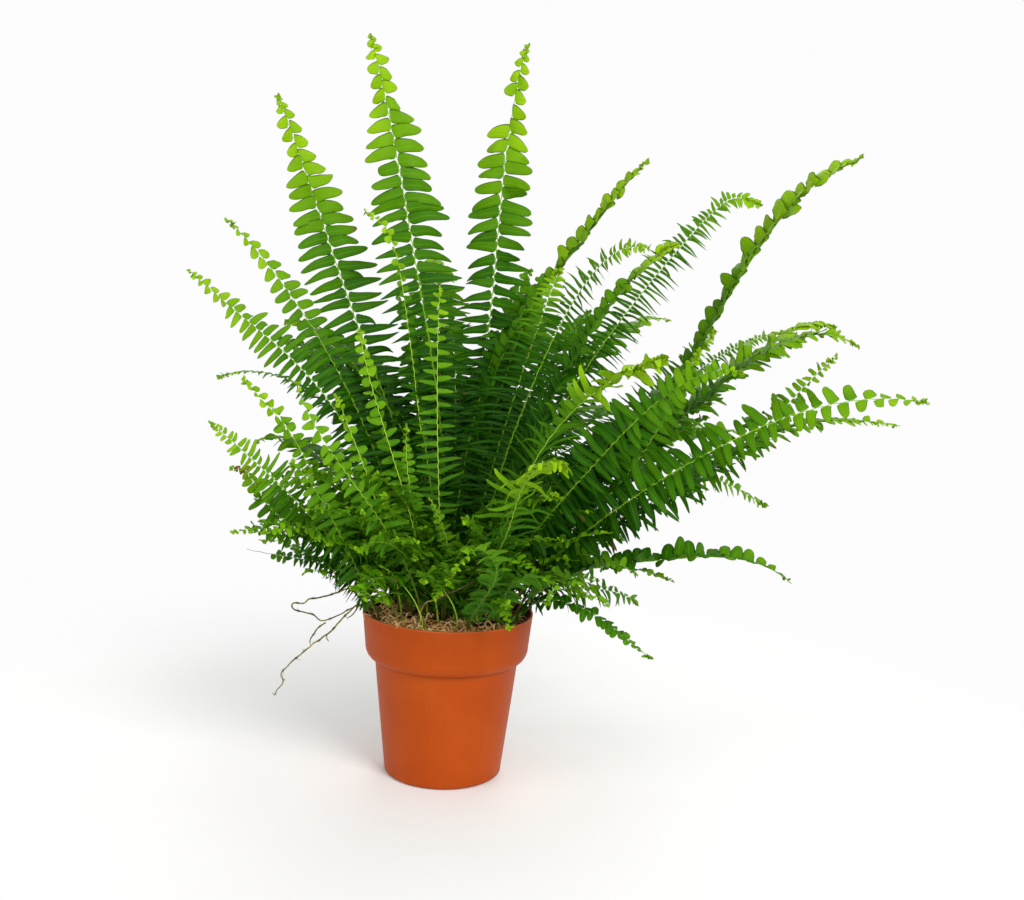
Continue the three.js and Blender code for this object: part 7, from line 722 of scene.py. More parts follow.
def leaflet(clay, foot, out, tip, nrm, L, W, blunt, r, tone, dry=0.0, droop=0.12,
            curl=0.0, fine=True, m=0, twist=0.0):
    """One closed leaflet. foot is where it joins the rachis, out points away
    from the rachis, tip towards the frond's tip and nrm up from its face."""
    pick = list(range(12)) if L > 13 and fine else SHORT if L > 5.5 else TINY
    t = ST_T[pick]
    k = min(int(blunt), 1)
    up, dn = (((1 - blunt + k) * SHAPES[k][q] + (blunt - k) * SHAPES[k + 1][q])[pick] * W for q in (0, 1))
    n = len(t) - 1
    a, b, c, d, e, g = r.uniform(-1, 1, 6)
    sweep = 0.05 + 0.04 * a - 0.06 * max(blunt - 1, 0)
    C = (out[None] * (t * (1 - 0.04 * t))[:, None]
         + tip[None] * (sweep * t ** 2 + 0.03 * b * np.sin(3.1 * t))[:, None]
         + nrm[None] * (0.055 * np.sin(np.pi * np.minimum(t * 1.15, 1)) + 0.03 * c * t ** 2
                        - curl * t ** 3)[:, None])
    C[:, 2] -= droop * t ** 1.8
    C += tip[None] * (0.018 * d * np.sin(9 * t + 3 * e) * t)[:, None]
    C *= L / max(arc_table(C)[-1], 1e-6)
    C += foot
    T = unit(np.gradient(C, axis=0))
    S = unit(tip[None] - T * (T @ tip)[:, None])
    N = np.cross(T, S)
    if N[0] @ nrm < 0:
        N = -N
    turn = 0.16 + 0.14 * g + (0.30 * e + 0.10) * t + 0.45 * abs(curl) * t ** 2 * (1 if d > 0 else -1) + twist * smooth(0, 0.35, t)
    ct, sn = np.cos(turn)[:, None], np.sin(turn)[:, None]
    S, N = S * ct + N * sn, N * ct - S * sn
    cup = 0.10 + 0.05 * b
    wave = 0.05 * W * np.sin(2 * np.pi * (2.3 + 0.5 * a) * t + 6 * c) * smooth(0.02, 0.2, t) * (1 - t ** 3)
    wave2 = 0.05 * W * np.sin(2 * np.pi * (2.0 + 0.5 * d) * t + 6 * g) * smooth(0.02, 0.2, t) * (1 - t ** 3)
    th = 0.15 + 0.010 * W
    # offsets along S and N for the six corners of a section
    wd = np.stack([-dn, -0.5 * dn, 0 * dn, 0.5 * up, up, 0 * dn], 1)
    hm = (up + dn) * 0.5
    hn = np.stack([-cup * dn * 0.9 + wave, 0.16 * cup * dn + 0.35 * wave + 0.03 * hm, -0.05 * hm,
                   0.16 * cup * up + 0.35 * wave2 + 0.03 * hm, -cup * up * 0.9 + wave2,
                   -0.05 * hm - th], 1)
    V = (C[:, None] + S[:, None] * wd[..., None] + N[:, None] * hn[..., None])
    V = np.vstack([V[:-1].reshape(-1, 3), C[-1:]])
    i, j = np.meshgrid(np.arange(n - 1), np.arange(6), indexing="ij")
    j2 = (j + 1) % 6
    q = np.stack([i * 6 + j, i * 6 + j2, (i + 1) * 6 + j2, (i + 1) * 6 + j], -1)
    top, bot = q[:, :4].reshape(-1, 4), q[:, 4:].reshape(-1, 4)
    k = np.arange(6)
    fan = np.stack([(n - 1) * 6 + k, (n - 1) * 6 + (k + 1) % 6, np.full(6, n * 6)], 1)
    cap = np.array([[5, 4, 3, 2], [5, 2, 1, 0]])
    if (np.cross(S[0], T[0]) @ N[0]) < 0:  # the mirror leaflet across the rachis
        top, bot, fan, cap = (x[:, ::-1] for x in (top, bot, fan, cap))
    uv = np.stack([np.repeat(t * L, 6), wd.ravel()], 1)[:n * 6] / 10
    uv = np.vstack([uv, [[L / 10, 0]]])
    edge = np.tile([1, .5, 0, .5, 1, 0], n)
    edge = np.concatenate([edge, [1]])
    edge[-7:-1] = np.maximum(edge[-7:-1], 0.5)
    tn = np.repeat(tone + 0.10 * (t[:-1] - 0.35), 6)
    tn = np.concatenate([tn, [tone + 0.08]])
    dr = np.broadcast_to(np.asarray(dry, float), (12,))[pick] if np.ndim(dry) else np.full(n + 1, dry)
    dr = np.concatenate([np.repeat(dr[:-1], 6), [dr[-1]]])
    clay.add(V, [top, bot, fan[:4], fan[4:], cap], uv, m, under=[0, 1, 0, 1, 1],
             tone=tn, edge=edge, dry=dr, rnd=(e + 1) / 2)


def flake(clay, at, out, way, L, W, m=1, dry=1.0, tone=0.2):
    """A tiny pointed scale lying against a stem."""
    side = unit(np.cross(out, way))
    V = np.array([at - side * W, at + side * W, at + way * L + out * L * 0.35, at + out * 0.16 * L + way * L * 0.3])
    clay.add(V, [np.array([[0, 1, 2], [0, 3, 1], [1, 3, 2], [2, 3, 0]])], None, m, tone=tone, dry=dry, rnd=0.5)


def bud(clay, at, way, up, R, r0, r, tone, m=1, turns=1.6, steps=30):
    """The rolled end of an unopened frond: a coil that tightens inwards."""
    way, up = unit(way), unit(up - unit(way) * (up @ unit(way)))
    th = np.linspace(0, turns * 2 * np.pi, steps)
    rad = R * np.exp(-0.155 * th)
    mid = at + up * R
    C = mid + (np.sin(th) * rad)[:, None] * way - (np.cos(th) * rad)[:, None] * up
    side = np.cross(way, up)
    C += side * (0.16 * r0 * np.sin(th * 1.3))[:, None]
    fat = r0 * (1 + 0.9 * smooth(0.2, 3.0, th)) * np.exp(-0.075 * th) * (1 + 0.12 * np.sin(7 * th))
    fat = np.minimum(fat, rad * 0.62 + 0.1)
    tube(clay, C, fat, 8, m, up=side, tone=tone, dry=0.0, rnd=0.4)
    # the rolled leaflets, seen as small lobes on both faces of the coil
    for i in range(2, steps - 4, 2):
        for sgn in (-1, 1):
            c = C[i] + side * sgn * fat[i] * 0.7
            o = unit(side * sgn * 0.8 + unit(C[i] - mid) * 0.5)
            leaflet(clay, c, o, unit(C[i + 1] - C[i]), unit(np.cross(o, C[i + 1] - C[i]) * sgn), fat[i] * 1.6,
                    fat[i] * 1.5, 1.0, r, tone + 0.05, droop=0.0, fine=False)


# ------------------------------------------------------------------ materials
def rgb(r, g, b):
    lin = lambda c: c / 12.92 if c <= 0.04045 else ((c + 0.055) / 1.055) ** 2.4
    return (lin(r / 255), lin(g / 255), lin(b / 255), 1.0)


class Finish:
    """A material and short names for the nodes it is made of."""

    def __init__(self, name):
        self.m = bpy.data.materials.new(name)
        self.m.use_nodes = True
        self.t = self.m.node_tree
        self.t.nodes.clear()
        self.where = self.t.nodes.new("ShaderNodeTexCoord").outputs["Object"]

    def put(self, socket, value):
        if isinstance(value, bpy.types.NodeSocket):
            self.t.links.new(value, socket)
        else:
            socket.default_value = value

    def attr(self, name):
        n = self.t.nodes.new("ShaderNodeAttribute")
        n.attribute_name = name
        return n.outputs["Fac"]

    def uv(self, name):
        n = self.t.nodes.new("ShaderNodeUVMap")
        n.uv_map = name
        return self.apart(n.outputs[0])

    def apart(self, vec):
        n = self.t.nodes.new("ShaderNodeSeparateXYZ")
        self.put(n.inputs[0], vec)
        return n.outputs

    def together(self, x, y, z):
        n = self.t.nodes.new("ShaderNodeCombineXYZ")
        for i, v in enumerate((x, y, z)):
            self.put(n.inputs[i], v)
        return n.outputs[0]

    def math(self, op, a, b=None, c=None, clamp=False):
        n = self.t.nodes.new("ShaderNodeMath")
        n.operation, n.use_clamp = op, clamp
        for i, v in enumerate((a, b, c)):
            if v is not None:
                self.put(n.inputs[i], v)
        return n.outputs[0]

    def step(self, a, b, x, to=(0.0, 1.0)):
        n = self.t.nodes.new("ShaderNodeMapRange")
        n.interpolation_type = "SMOOTHSTEP"
        self.put(n.inputs["Value"], x)
        for k, v in zip(("From Min", "From Max", "To Min", "To Max"), (a, b) + tuple(to)):
            n.inputs[k].default_value = v
        return n.outputs[0]

    def mix(self, f, a, b, how="MIX"):
        n = self.t.nodes.new("ShaderNodeMix")
        n.data_type, n.blend_type = "RGBA", how
        self.put(n.inputs[0], f)
        self.put(n.inputs[6], a)
        self.put(n.inputs[7], b)
        return n.outputs[2]

    def ramp(self, f, *stops):
        n = self.t.nodes.new("ShaderNodeValToRGB")
        e = n.color_ramp.elements
        while len(e) < len(stops):
            e.new(0.5)
        for x, (at, colour) in zip(e, sorted(stops, key=lambda q: q[0])):
            x.position, x.color = at, colour
        self.put(n.inputs[0], f)
        return n.outputs[0]

    def noise(self, scale, detail=2.0, rough=0.5, vec=None, kind="ShaderNodeTexNoise"):
        n = self.t.nodes.new(kind)
        self.put(n.inputs["Vector"], vec if vec is not None else self.where)
        n.inputs["Scale"].default_value = scale
        if "Detail" in n.inputs:
            n.inputs["Detail"].default_value = detail
        if "Roughness" in n.inputs:
            n.inputs["Roughness"].default_value = rough
        return n.outputs[0]

    def scaled(self, x, y, z, vec=None):
        n = self.t.nodes.new("ShaderNodeMapping")
        self.put(n.inputs["Vector"], vec if vec is not None else self.where)
        n.inputs["Scale"].default_value = (x, y, z)
        return n.outputs[0]

    def bump(self, height, strength, distance, normal=None):
        n = self.t.nodes.new("ShaderNodeBump")
        n.inputs["Strength"].default_value = strength
        n.inputs["Distance"].default_value = distance
        self.put(n.inputs["Height"], height)
        if normal is not None:
            self.put(n.inputs["Normal"], normal)
        return n.outputs[0]

    def done(self, colour, rough, normal=None, thin=None, thin_share=0.0, **own):
        p = self.t.nodes.new("ShaderNodeBsdfPrincipled")
        self.put(p.inputs["Base Color"], colour)
        self.put(p.inputs["Roughness"], rough)
        if normal is not None:
            self.put(p.inputs["Normal"], normal)
        for k, v in own.items():
            p.inputs[k.replace("_", " ")].default_value = v
        shader = p.outputs[0]
        if thin is not None:
            q = self.t.nodes.new("ShaderNodeBsdfTranslucent")
            self.put(q.inputs["Color"], thin)
            mix = self.t.nodes.new("ShaderNodeMixShader")
            mix.inputs[0].default_value = thin_share
            self.t.links.new(shader, mix.inputs[1])
            self.t.links.new(q.outputs[0], mix.inputs[2])
            shader = mix.outputs[0]
        out = self.t.nodes.new("ShaderNodeOutputMaterial")
        self.t.links.new(shader, out.inputs["Surface"])
        return self.m


def leaf_finish(name, stops, margin, rib, thin_share):
    f = Finish(name)
    edge, under = f.attr("edge"), f.attr("under")
    patch = f.math("SUBTRACT", f.noise(38, 3, 0.55), 0.5)
    tone = f.math("MULTIPLY_ADD", patch, 0.30, f.attr("tone"))
    tone = f.math("MULTIPLY_ADD", f.math("SUBTRACT", f.attr("rnd"), 0.5), 0.16, tone, clamp=True)
    colour = f.ramp(tone, *stops)
    # cells of the leaf's skin, the fine mottling between the veins
    fine = f.noise(2600, 2, 0.6)
    colour = f.mix(f.math("MULTIPLY", f.math("SUBTRACT", fine, 0.35, clamp=True), 0.40), colour, rgb(20, 62, 2), "MIX")
    # veins run outwards from the midrib, a millimetre apart
    u, v, _ = f.uv("Leaf")
    out = f.math("ABSOLUTE", v)
    wob = f.math("MULTIPLY", f.math("SUBTRACT", f.noise(420, 1, 0.5), 0.5), 0.05)
    q = f.math("ADD", f.math("MULTIPLY_ADD", out, -0.62, u), wob)
    line = f.math("PINGPONG", f.math("MULTIPLY", q, 9.4), 0.5)
    vein = f.step(0.40, 0.50, line)
    vein = f.math("MULTIPLY", vein, f.step(0.0, 0.10, edge))
    vein = f.math("MULTIPLY", vein, f.step(0.98, 0.80, edge))
    colour = f.mix(f.math("MULTIPLY", vein, 0.14), colour, rib)
    mid = f.step(0.16, 0.02, edge)
    colour = f.mix(f.math("MULTIPLY", mid, 0.28), colour, rib)
    rim = f.step(0.78, 0.96, edge)
    colour = f.mix(f.math("MULTIPLY", rim, 0.72), colour, margin)
    # the base of a leaflet, where it joins the rachis, is paler
    foot = f.step(0.16, 0.0, u)
    colour = f.mix(f.math("MULTIPLY", foot, 0.22), colour, rib)
    colour = f.mix(f.math("MULTIPLY", under, 0.26), colour, rgb(84, 136, 24))
    brown = f.ramp(f.noise(900, 3, 0.6), (0.3, rgb(92, 58, 26)), (0.7, rgb(150, 112, 62)))
    dry = f.attr("dry")
    colour = f.mix(dry, colour, brown)
    rough = f.math("MULTIPLY_ADD", f.noise(700, 2, 0.5), 0.22, 0.42)
    rough = f.math("MULTIPLY_ADD", under, 0.12, rough)
    rough = f.math("MULTIPLY_ADD", dry, 0.2, rough)
    height = f.math("MULTIPLY_ADD", vein, -0.55, f.math("MULTIPLY", fine, 0.35))
    height = f.math("MULTIPLY_ADD", mid, f.math("MULTIPLY_ADD", under, 1.8, -0.9), height)
    normal = f.bump(height, 0.55, 0.00012)
    glow = f.mix(0.45, colour, rgb(150, 206, 4))
    return f.done(colour, rough, normal, glow, thin_share, Specular_IOR_Level=0.12)


LEAF = {
    "mature": leaf_finish(
        "fern_leaf_mature",
        ((0.0, rgb(20, 74, 1)), (0.22, rgb(48, 110, 2)), (0.5, rgb(90, 150, 3)),
         (0.78, rgb(130, 184, 5)), (1.0, rgb(168, 214, 8))),
        rgb(26, 58, 4), rgb(128, 184, 30), 0.30),
    "young": leaf_finish(
        "fern_leaf_young",
        ((0.0, rgb(36, 102, 4)), (0.3, rgb(76, 144, 6)), (0.6, rgb(122, 184, 8)),
         (0.85, rgb(160, 212, 14)), (1.0, rgb(186, 228, 34))),
        rgb(74, 112, 8), rgb(172, 212, 54), 0.36),
}


def stalk_finish():
    f = Finish("fern_stalk")
    u, v, _ = f.uv("Leaf")
    streak = f.noise(1.0, 3, 0.55, f.together(f.math("MULTIPLY", u, 2.2), f.math("MULTIPLY", v, 9.0), 0.0))
    tone = f.math("MULTIPLY_ADD", f.math("SUBTRACT", streak, 0.5), 0.30, f.attr("tone"), clamp=True)
    colour = f.ramp(tone, (0.0, rgb(52, 74, 10)), (0.3, rgb(76, 116, 14)), (0.6, rgb(116, 164, 28)),
                    (1.0, rgb(166, 206, 62)))
    groove = f.step(0.42, 0.5, f.math("PINGPONG", f.math("MULTIPLY", v, 2.0), 0.5))
    colour = f.mix(f.math("MULTIPLY", groove, 0.25), colour, rgb(70, 84, 26))
    brown = f.ramp(f.noise(650, 3, 0.6), (0.3, rgb(74, 46, 24)), (0.7, rgb(140, 100, 58)))
    colour = f.mix(f.attr("dry"), colour, brown)
    rough = f.math("MULTIPLY_ADD", f.noise(900, 2, 0.5), 0.25, 0.42)
    normal = f.bump(f.math("ADD", streak, f.noise(1800, 2, 0.5)), 0.5, 0.00015)
    return f.done(colour, rough, normal, Specular_IOR_Level=0.18)


STALK = stalk_finish()


def runner_finish():
    f = Finish("fern_stolon")
    u, v, _ = f.uv("Leaf")
    blot = f.noise(210, 3, 0.6)
    tone = f.math("MULTIPLY_ADD", f.math("SUBTRACT", blot, 0.5), 1.1, f.attr("tone"), clamp=True)
    colour = f.ramp(tone, (0.0, rgb(52, 44, 24)), (0.35, rgb(98, 88, 44)), (0.65, rgb(138, 128, 66)),
                    (1.0, rgb(196, 178, 116)))
    grain = f.noise(1.0, 3, 0.6, f.together(f.math("MULTIPLY", u, 6.0), f.math("MULTIPLY", v, 7.0), 0.0))
    colour = f.mix(f.math("MULTIPLY", f.step(0.5, 0.75, grain), 0.4), colour, rgb(60, 46, 26))
    brown = f.ramp(f.noise(800, 3, 0.6), (0.3, rgb(64, 38, 20)), (0.7, rgb(122, 84, 48)))
    colour = f.mix(f.attr("dry"), colour, brown)
    normal = f.bump(f.math("ADD", grain, f.noise(1500, 2, 0.5)), 0.7, 0.0002)
    return f.done(colour, f.math("MULTIPLY_ADD", blot, 0.2, 0.5), normal, Specular_IOR_Level=0.3)


RUNNER = runner_finish()


def fibre_finish():
    """Roots and coir: dark brown to pale tan by the strand's own number."""
    f = Finish("root_fibre")
    u, v, _ = f.uv("Leaf")
    tone = f.math("MULTIPLY_ADD", f.math("SUBTRACT", f.noise(330, 2, 0.5), 0.5), 0.4, f.attr("tone"), clamp=True)
    colour = f.ramp(tone, (0.0, rgb(36, 18, 8)), (0.3, rgb(100, 56, 22)), (0.55, rgb(172, 112, 54)),
                    (0.8, rgb(224, 174, 106)), (1.0, rgb(250, 216, 156)))
    grain = f.noise(1.0, 2, 0.6, f.together(f.math("MULTIPLY", u, 5.0), f.math("MULTIPLY", v, 8.0), 0.0))
    colour = f.mix(f.math("MULTIPLY", f.step(0.55, 0.8, grain), 0.35), colour, rgb(84, 54, 32))
    normal = f.bump(grain, 0.5, 0.0001)
    return f.done(colour, f.math("MULTIPLY_ADD", grain, 0.2, 0.6), normal, Specular_IOR_Level=0.25)


FIBRE = fibre_finish()


def soil_finish():
    f = Finish("potting_mix")
    big, mid, fine = f.noise(140, 4, 0.65), f.noise(520, 4, 0.65), f.noise(1900, 3, 0.6)
    colour = f.ramp(mid, (0.25, rgb(14, 8, 4)), (0.45, rgb(40, 25, 12)), (0.62, rgb(84, 54, 28)),
                    (0.80, rgb(140, 98, 56)))
    colour = f.mix(f.step(0.5, 0.72, big), colour, rgb(72, 46, 27))
    grit = f.noise(900, 2, 0.5, kind="ShaderNodeTexVoronoi")
    colour = f.mix(f.math("MULTIPLY", f.step(0.28, 0.10, grit), 0.35), colour, rgb(164, 124, 80))
    height = f.math("ADD", f.math("MULTIPLY", mid, 1.4), fine)
    return f.done(colour, f.math("MULTIPLY_ADD", fine, 0.15, 0.8), f.bump(height, 0.9, 0.0008),
                  Specular_IOR_Level=0.2)


SOIL = soil_finish()


def husk_finish():
    f = Finish("coir_husk")
    tone = f.math("MULTIPLY_ADD", f.math("SUBTRACT", f.noise(520, 3, 0.6), 0.5), 0.5, f.attr("tone"), clamp=True)
    colour = f.ramp(tone, (0.0, rgb(40, 24, 14)), (0.35, rgb(92, 58, 32)), (0.65, rgb(160, 114, 66)),
                    (1.0, rgb(206, 160, 98)))
    strand = f.noise(1.0, 3, 0.6, f.scaled(2400, 700, 2400))
    colour = f.mix(f.math("MULTIPLY", f.step(0.5, 0.75, strand), 0.4), colour, rgb(62, 38, 22))
    return f.done(colour, f.math("MULTIPLY_ADD", strand, 0.15, 0.72), f.bump(strand, 0.8, 0.0004),
                  Specular_IOR_Level=0.2)


HUSK = husk_finish()


def pot_finish():
    f = Finish("pot_plastic")
    x, y, z = f.apart(f.where)
    cloud = f.noise(26, 3, 0.5)
    colour = f.ramp(cloud, (0.30, rgb(160, 63, 4)), (0.5, rgb(165, 66, 5)), (0.72, rgb(170, 71, 8)))
    # flow streaks of the moulding, long up the wall and fine around it
    flow = f.noise(1.0, 4, 0.55, f.scaled(520, 520, 14))
    colour = f.mix(f.math("MULTIPLY", f.step(0.50, 0.80, flow), 0.10), colour, rgb(196, 88, 24))
    colour = f.mix(f.math("MULTIPLY", f.step(0.52, 0.20, flow), 0.10), colour, rgb(150, 54, 12))
    # dust and pale rubbed specks
    speck = f.noise(1150, 1, 0.5)
    patch = f.step(0.48, 0.66, f.noise(70, 2, 0.5))
    dust = f.math("MULTIPLY", f.step(0.72, 0.80, speck), patch)
    colour = f.mix(f.math("MULTIPLY", dust, 0.55), colour, rgb(206, 130, 80))
    # painted shade: an even darker band all round the fold under the collar, where the collar overhangs the body;
    # patchy grime at the foot
    crease_shade = f.math("MULTIPLY", f.step(0.0795, 0.0818, z), f.step(0.0838, 0.0822, z))
    colour = f.mix(f.math("MULTIPLY", crease_shade, 0.30), colour, rgb(126, 44, 8))
    foot = f.math("MULTIPLY", f.step(0.0040, 0.0010, z), f.step(0.40, 0.60, f.noise(240, 3, 0.6)))
    colour = f.mix(f.math("MULTIPLY", foot, 0.30), colour, rgb(120, 62, 34))
    # the wall above the soil is painted dark: painted shade within the pot, together with soil that clings to the wall
    ring = f.math("SQRT", f.math("ADD", f.math("MULTIPLY", x, x), f.math("MULTIPLY", y, y)))
    between = f.math("SUBTRACT", ring, f.math("MULTIPLY_ADD", z, 0.0977, 0.04799))
    inner_wall_shade_and_soil = f.math("MULTIPLY", f.step(0.0003, -0.0003, between), f.step(0.0950, 0.0990, z))
    inner_wall_shade_and_soil = f.math("MULTIPLY", inner_wall_shade_and_soil, f.step(0.1152, 0.1128, f.math("MULTIPLY_ADD", f.noise(90, 3, 0.6), 0.004, f.math("SUBTRACT", z, 0.002))))
    colour = f.mix(f.math("MULTIPLY", inner_wall_shade_and_soil, 0.82), colour, rgb(52, 26, 14))
    # the thin lip is paler where light gets into it and it has been rubbed
    lip = f.step(0.1140, 0.1151, z)
    colour = f.mix(f.math("MULTIPLY", lip, 0.35), colour, rgb(206, 118, 72))
    scuff = f.noise(1.0, 3, 0.6, f.scaled(900, 900, 90))
    rough = f.math("MULTIPLY_ADD", scuff, 0.20, 0.36)
    rough = f.math("MULTIPLY_ADD", dust, 0.25, rough)
    height = f.math("ADD", f.math("MULTIPLY", flow, 0.6), f.math("MULTIPLY", f.noise(2400, 2, 0.5), 0.35))
    return f.done(colour, rough, f.bump(height, 0.25, 0.00008), Specular_IOR_Level=0.13)


POT = pot_finish()


# --------------------------------------------------------------------- fronds
# How each build of frond is grown, as numbers or as tables from foot to tip.
# angle is between leaflet and rachis, blunt the leaflet's shape (0 pointed, 1
# blunt, 2 half-moon), fill how much of its share of the rachis a leaflet
# covers, lift how far it stands up from the blade, wild how uneven the leaflets
# are, and tone runs from deep green at 0 to lime at 1.
TONES = spread((0, -.05), (.3, .06), (.5, .22), (.7, .45), (.85, .70), (1, .98))
YOUNG = spread((0, .10), (.4, .34), (.75, .66), (1, .98))


def build(**own):
    o = dict(thick=1.0, spacing=None, grow=spread((0, .85), (.5, .95), (.75, 1.05), (.88, 1.15), (.95, .95), (1, .45)),
             rachis=0.26, rachis_up=0.44, stipe_dry=0.50, swell=1.0, bare_tip=2.0, gaps=(), right=1.0, left=1.0,
             angle=spread((0, 100), (.3, 92), (.7, 84), (.9, 74), (1, 60)),
             blunt=spread((0, 0), (.6, .15), (.8, 1.0), (1, 1.9)), fill=spread((0, .66), (.5, .74), (.8, .90), (1, 1.05)),
             lift=6.0, tone=TONES, dry_from=2.0, dry_tips=0.015, curl=0.45, droop=0.18, scales=1.0, bud=0.0,
             clump=6, clump_run=.025, wild=1.0, leaf="mature")
    o.update(own)
    for key in ("fill", "lift", "tone", "angle", "blunt", "swell", "right", "left"):
        if not callable(o[key]):
            o[key] = spread((0, o[key]), (1, o[key]))
    return o


# the tall fronds: long drooping points low down, half-moons near the tip
TALL = dict(blunt=spread((0, 0), (.50, .05), (.63, .4), (.73, 1.0), (.82, 1.7), (.87, 1.95), (1, 1.9)), curl=0.6,
            droop=0.22, wild=.6, angle=spread((0, 100), (.3, 94), (.7, 88), (.9, 82), (1, 68)),
            swell=spread((0, 1), (.5, 1.03), (.8, 1.12), (1, 1.1)),
            spacing=8.9, grow=spread((0, .82), (.5, .95), (.75, 1.05), (.85, 1.25), (.93, 1.30), (.965, .9), (1, .4)),
            fill=spread((0, .60), (.40, .68), (.6, .84), (.8, .92), (.9, .84), (1, .84)), lift=spread((0, 2), (1, 8)),
            tone=spread((0, -.06), (.3, .05), (.5, .17), (.7, .46), (.84, .80), (1, 1.08)), clump=12)
# combs: close narrow leaflets with air between them
COMB = dict(spacing=4.2, wild=.8, fill=spread((0, .60), (.8, .56), (.93, .8), (1, 1.1)),
            grow=spread((0, .9), (.8, 1.0), (.95, .8), (1, .5)),
            blunt=spread((0, .12), (.86, .12), (.95, .5), (1, 1.3)), curl=0.6, droop=0.30,
            swell=spread((0, 1), (.7, 1), (.85, 1.15), (.95, 1.2), (1, 1)),
            tone=spread((0, -.02), (.4, .15), (.75, .32), (.88, .56), (1, 1.0)), clump=10)
# ropes: close leaflets folded forward along the rachis
ROPE = dict(COMB, spacing=4.8, angle=spread((0, 80), (.4, 50), (1, 44)), lift=8, fill=spread((0, .7), (.5, .95), (1, 1.2)),
            blunt=spread((0, .2), (.5, .6), (1, 1.2)), swell=spread((0, 1), (.42, .95), (.58, .72), (.75, .76), (.92, 1.15), (1, 1.1)),
            tone=spread((0, -.02), (.4, .18), (.7, .46), (.88, .76), (1, 1.05)))
# beads: lifted half-moons, one behind another
BEAD = dict(spacing=8.2, lift=spread((0, 14), (.3, 20), (1, 18)), blunt=spread((0, .5), (.3, 1.1), (1, 1.5)), wild=.8,
            angle=spread((0, 66), (.4, 56), (.8, 60), (1, 56)), swell=spread((0, .8), (.4, .62), (.62, .66), (.80, 1.2), (.93, 1.7), (1, 1.3)),
            fill=spread((0, .8), (.4, 1.05), (1, 1.2)), tone=spread((0, .05), (.4, .34), (.65, .60), (.85, .90), (1, 1.08)), clump=10,
            curl=0.2, droop=0.05)
DEFAULTS = {
    "F1": build(**TALL),
    "t": build(**dict(TALL, spacing=8.2, lift=8)),
    "m": build(),
    "y": build(blunt=spread((0, .1), (.5, .5), (.8, 1.0), (1, 1.6)), fill=.74, spacing=6.4, curl=0.45, droop=0.10, lift=24,
               tone=YOUNG, rachis=0.75, rachis_up=0.25, stipe_dry=0.20, bud=1.6, leaf="young", thick=0.85, scales=0.7,
               clump=5, left=.95, right=.95, wild=2.3),
    "s": build(blunt=spread((0, .1), (.5, .6), (1, 1.7)), fill=.80, curl=0.55, droop=0.14, lift=10,
               tone=spread((0, .12), (.5, .36), (1, .85)), wild=2.2, scales=.35, clump=2, thick=.75),
    "d": build(blunt=spread((0, 0), (.7, .2), (1, 1.5)), curl=0.6, droop=0.24, tone=spread((0, -.04), (.6, .16), (1, .55)),
               wild=1.3, scales=.2, thick=.8),
}
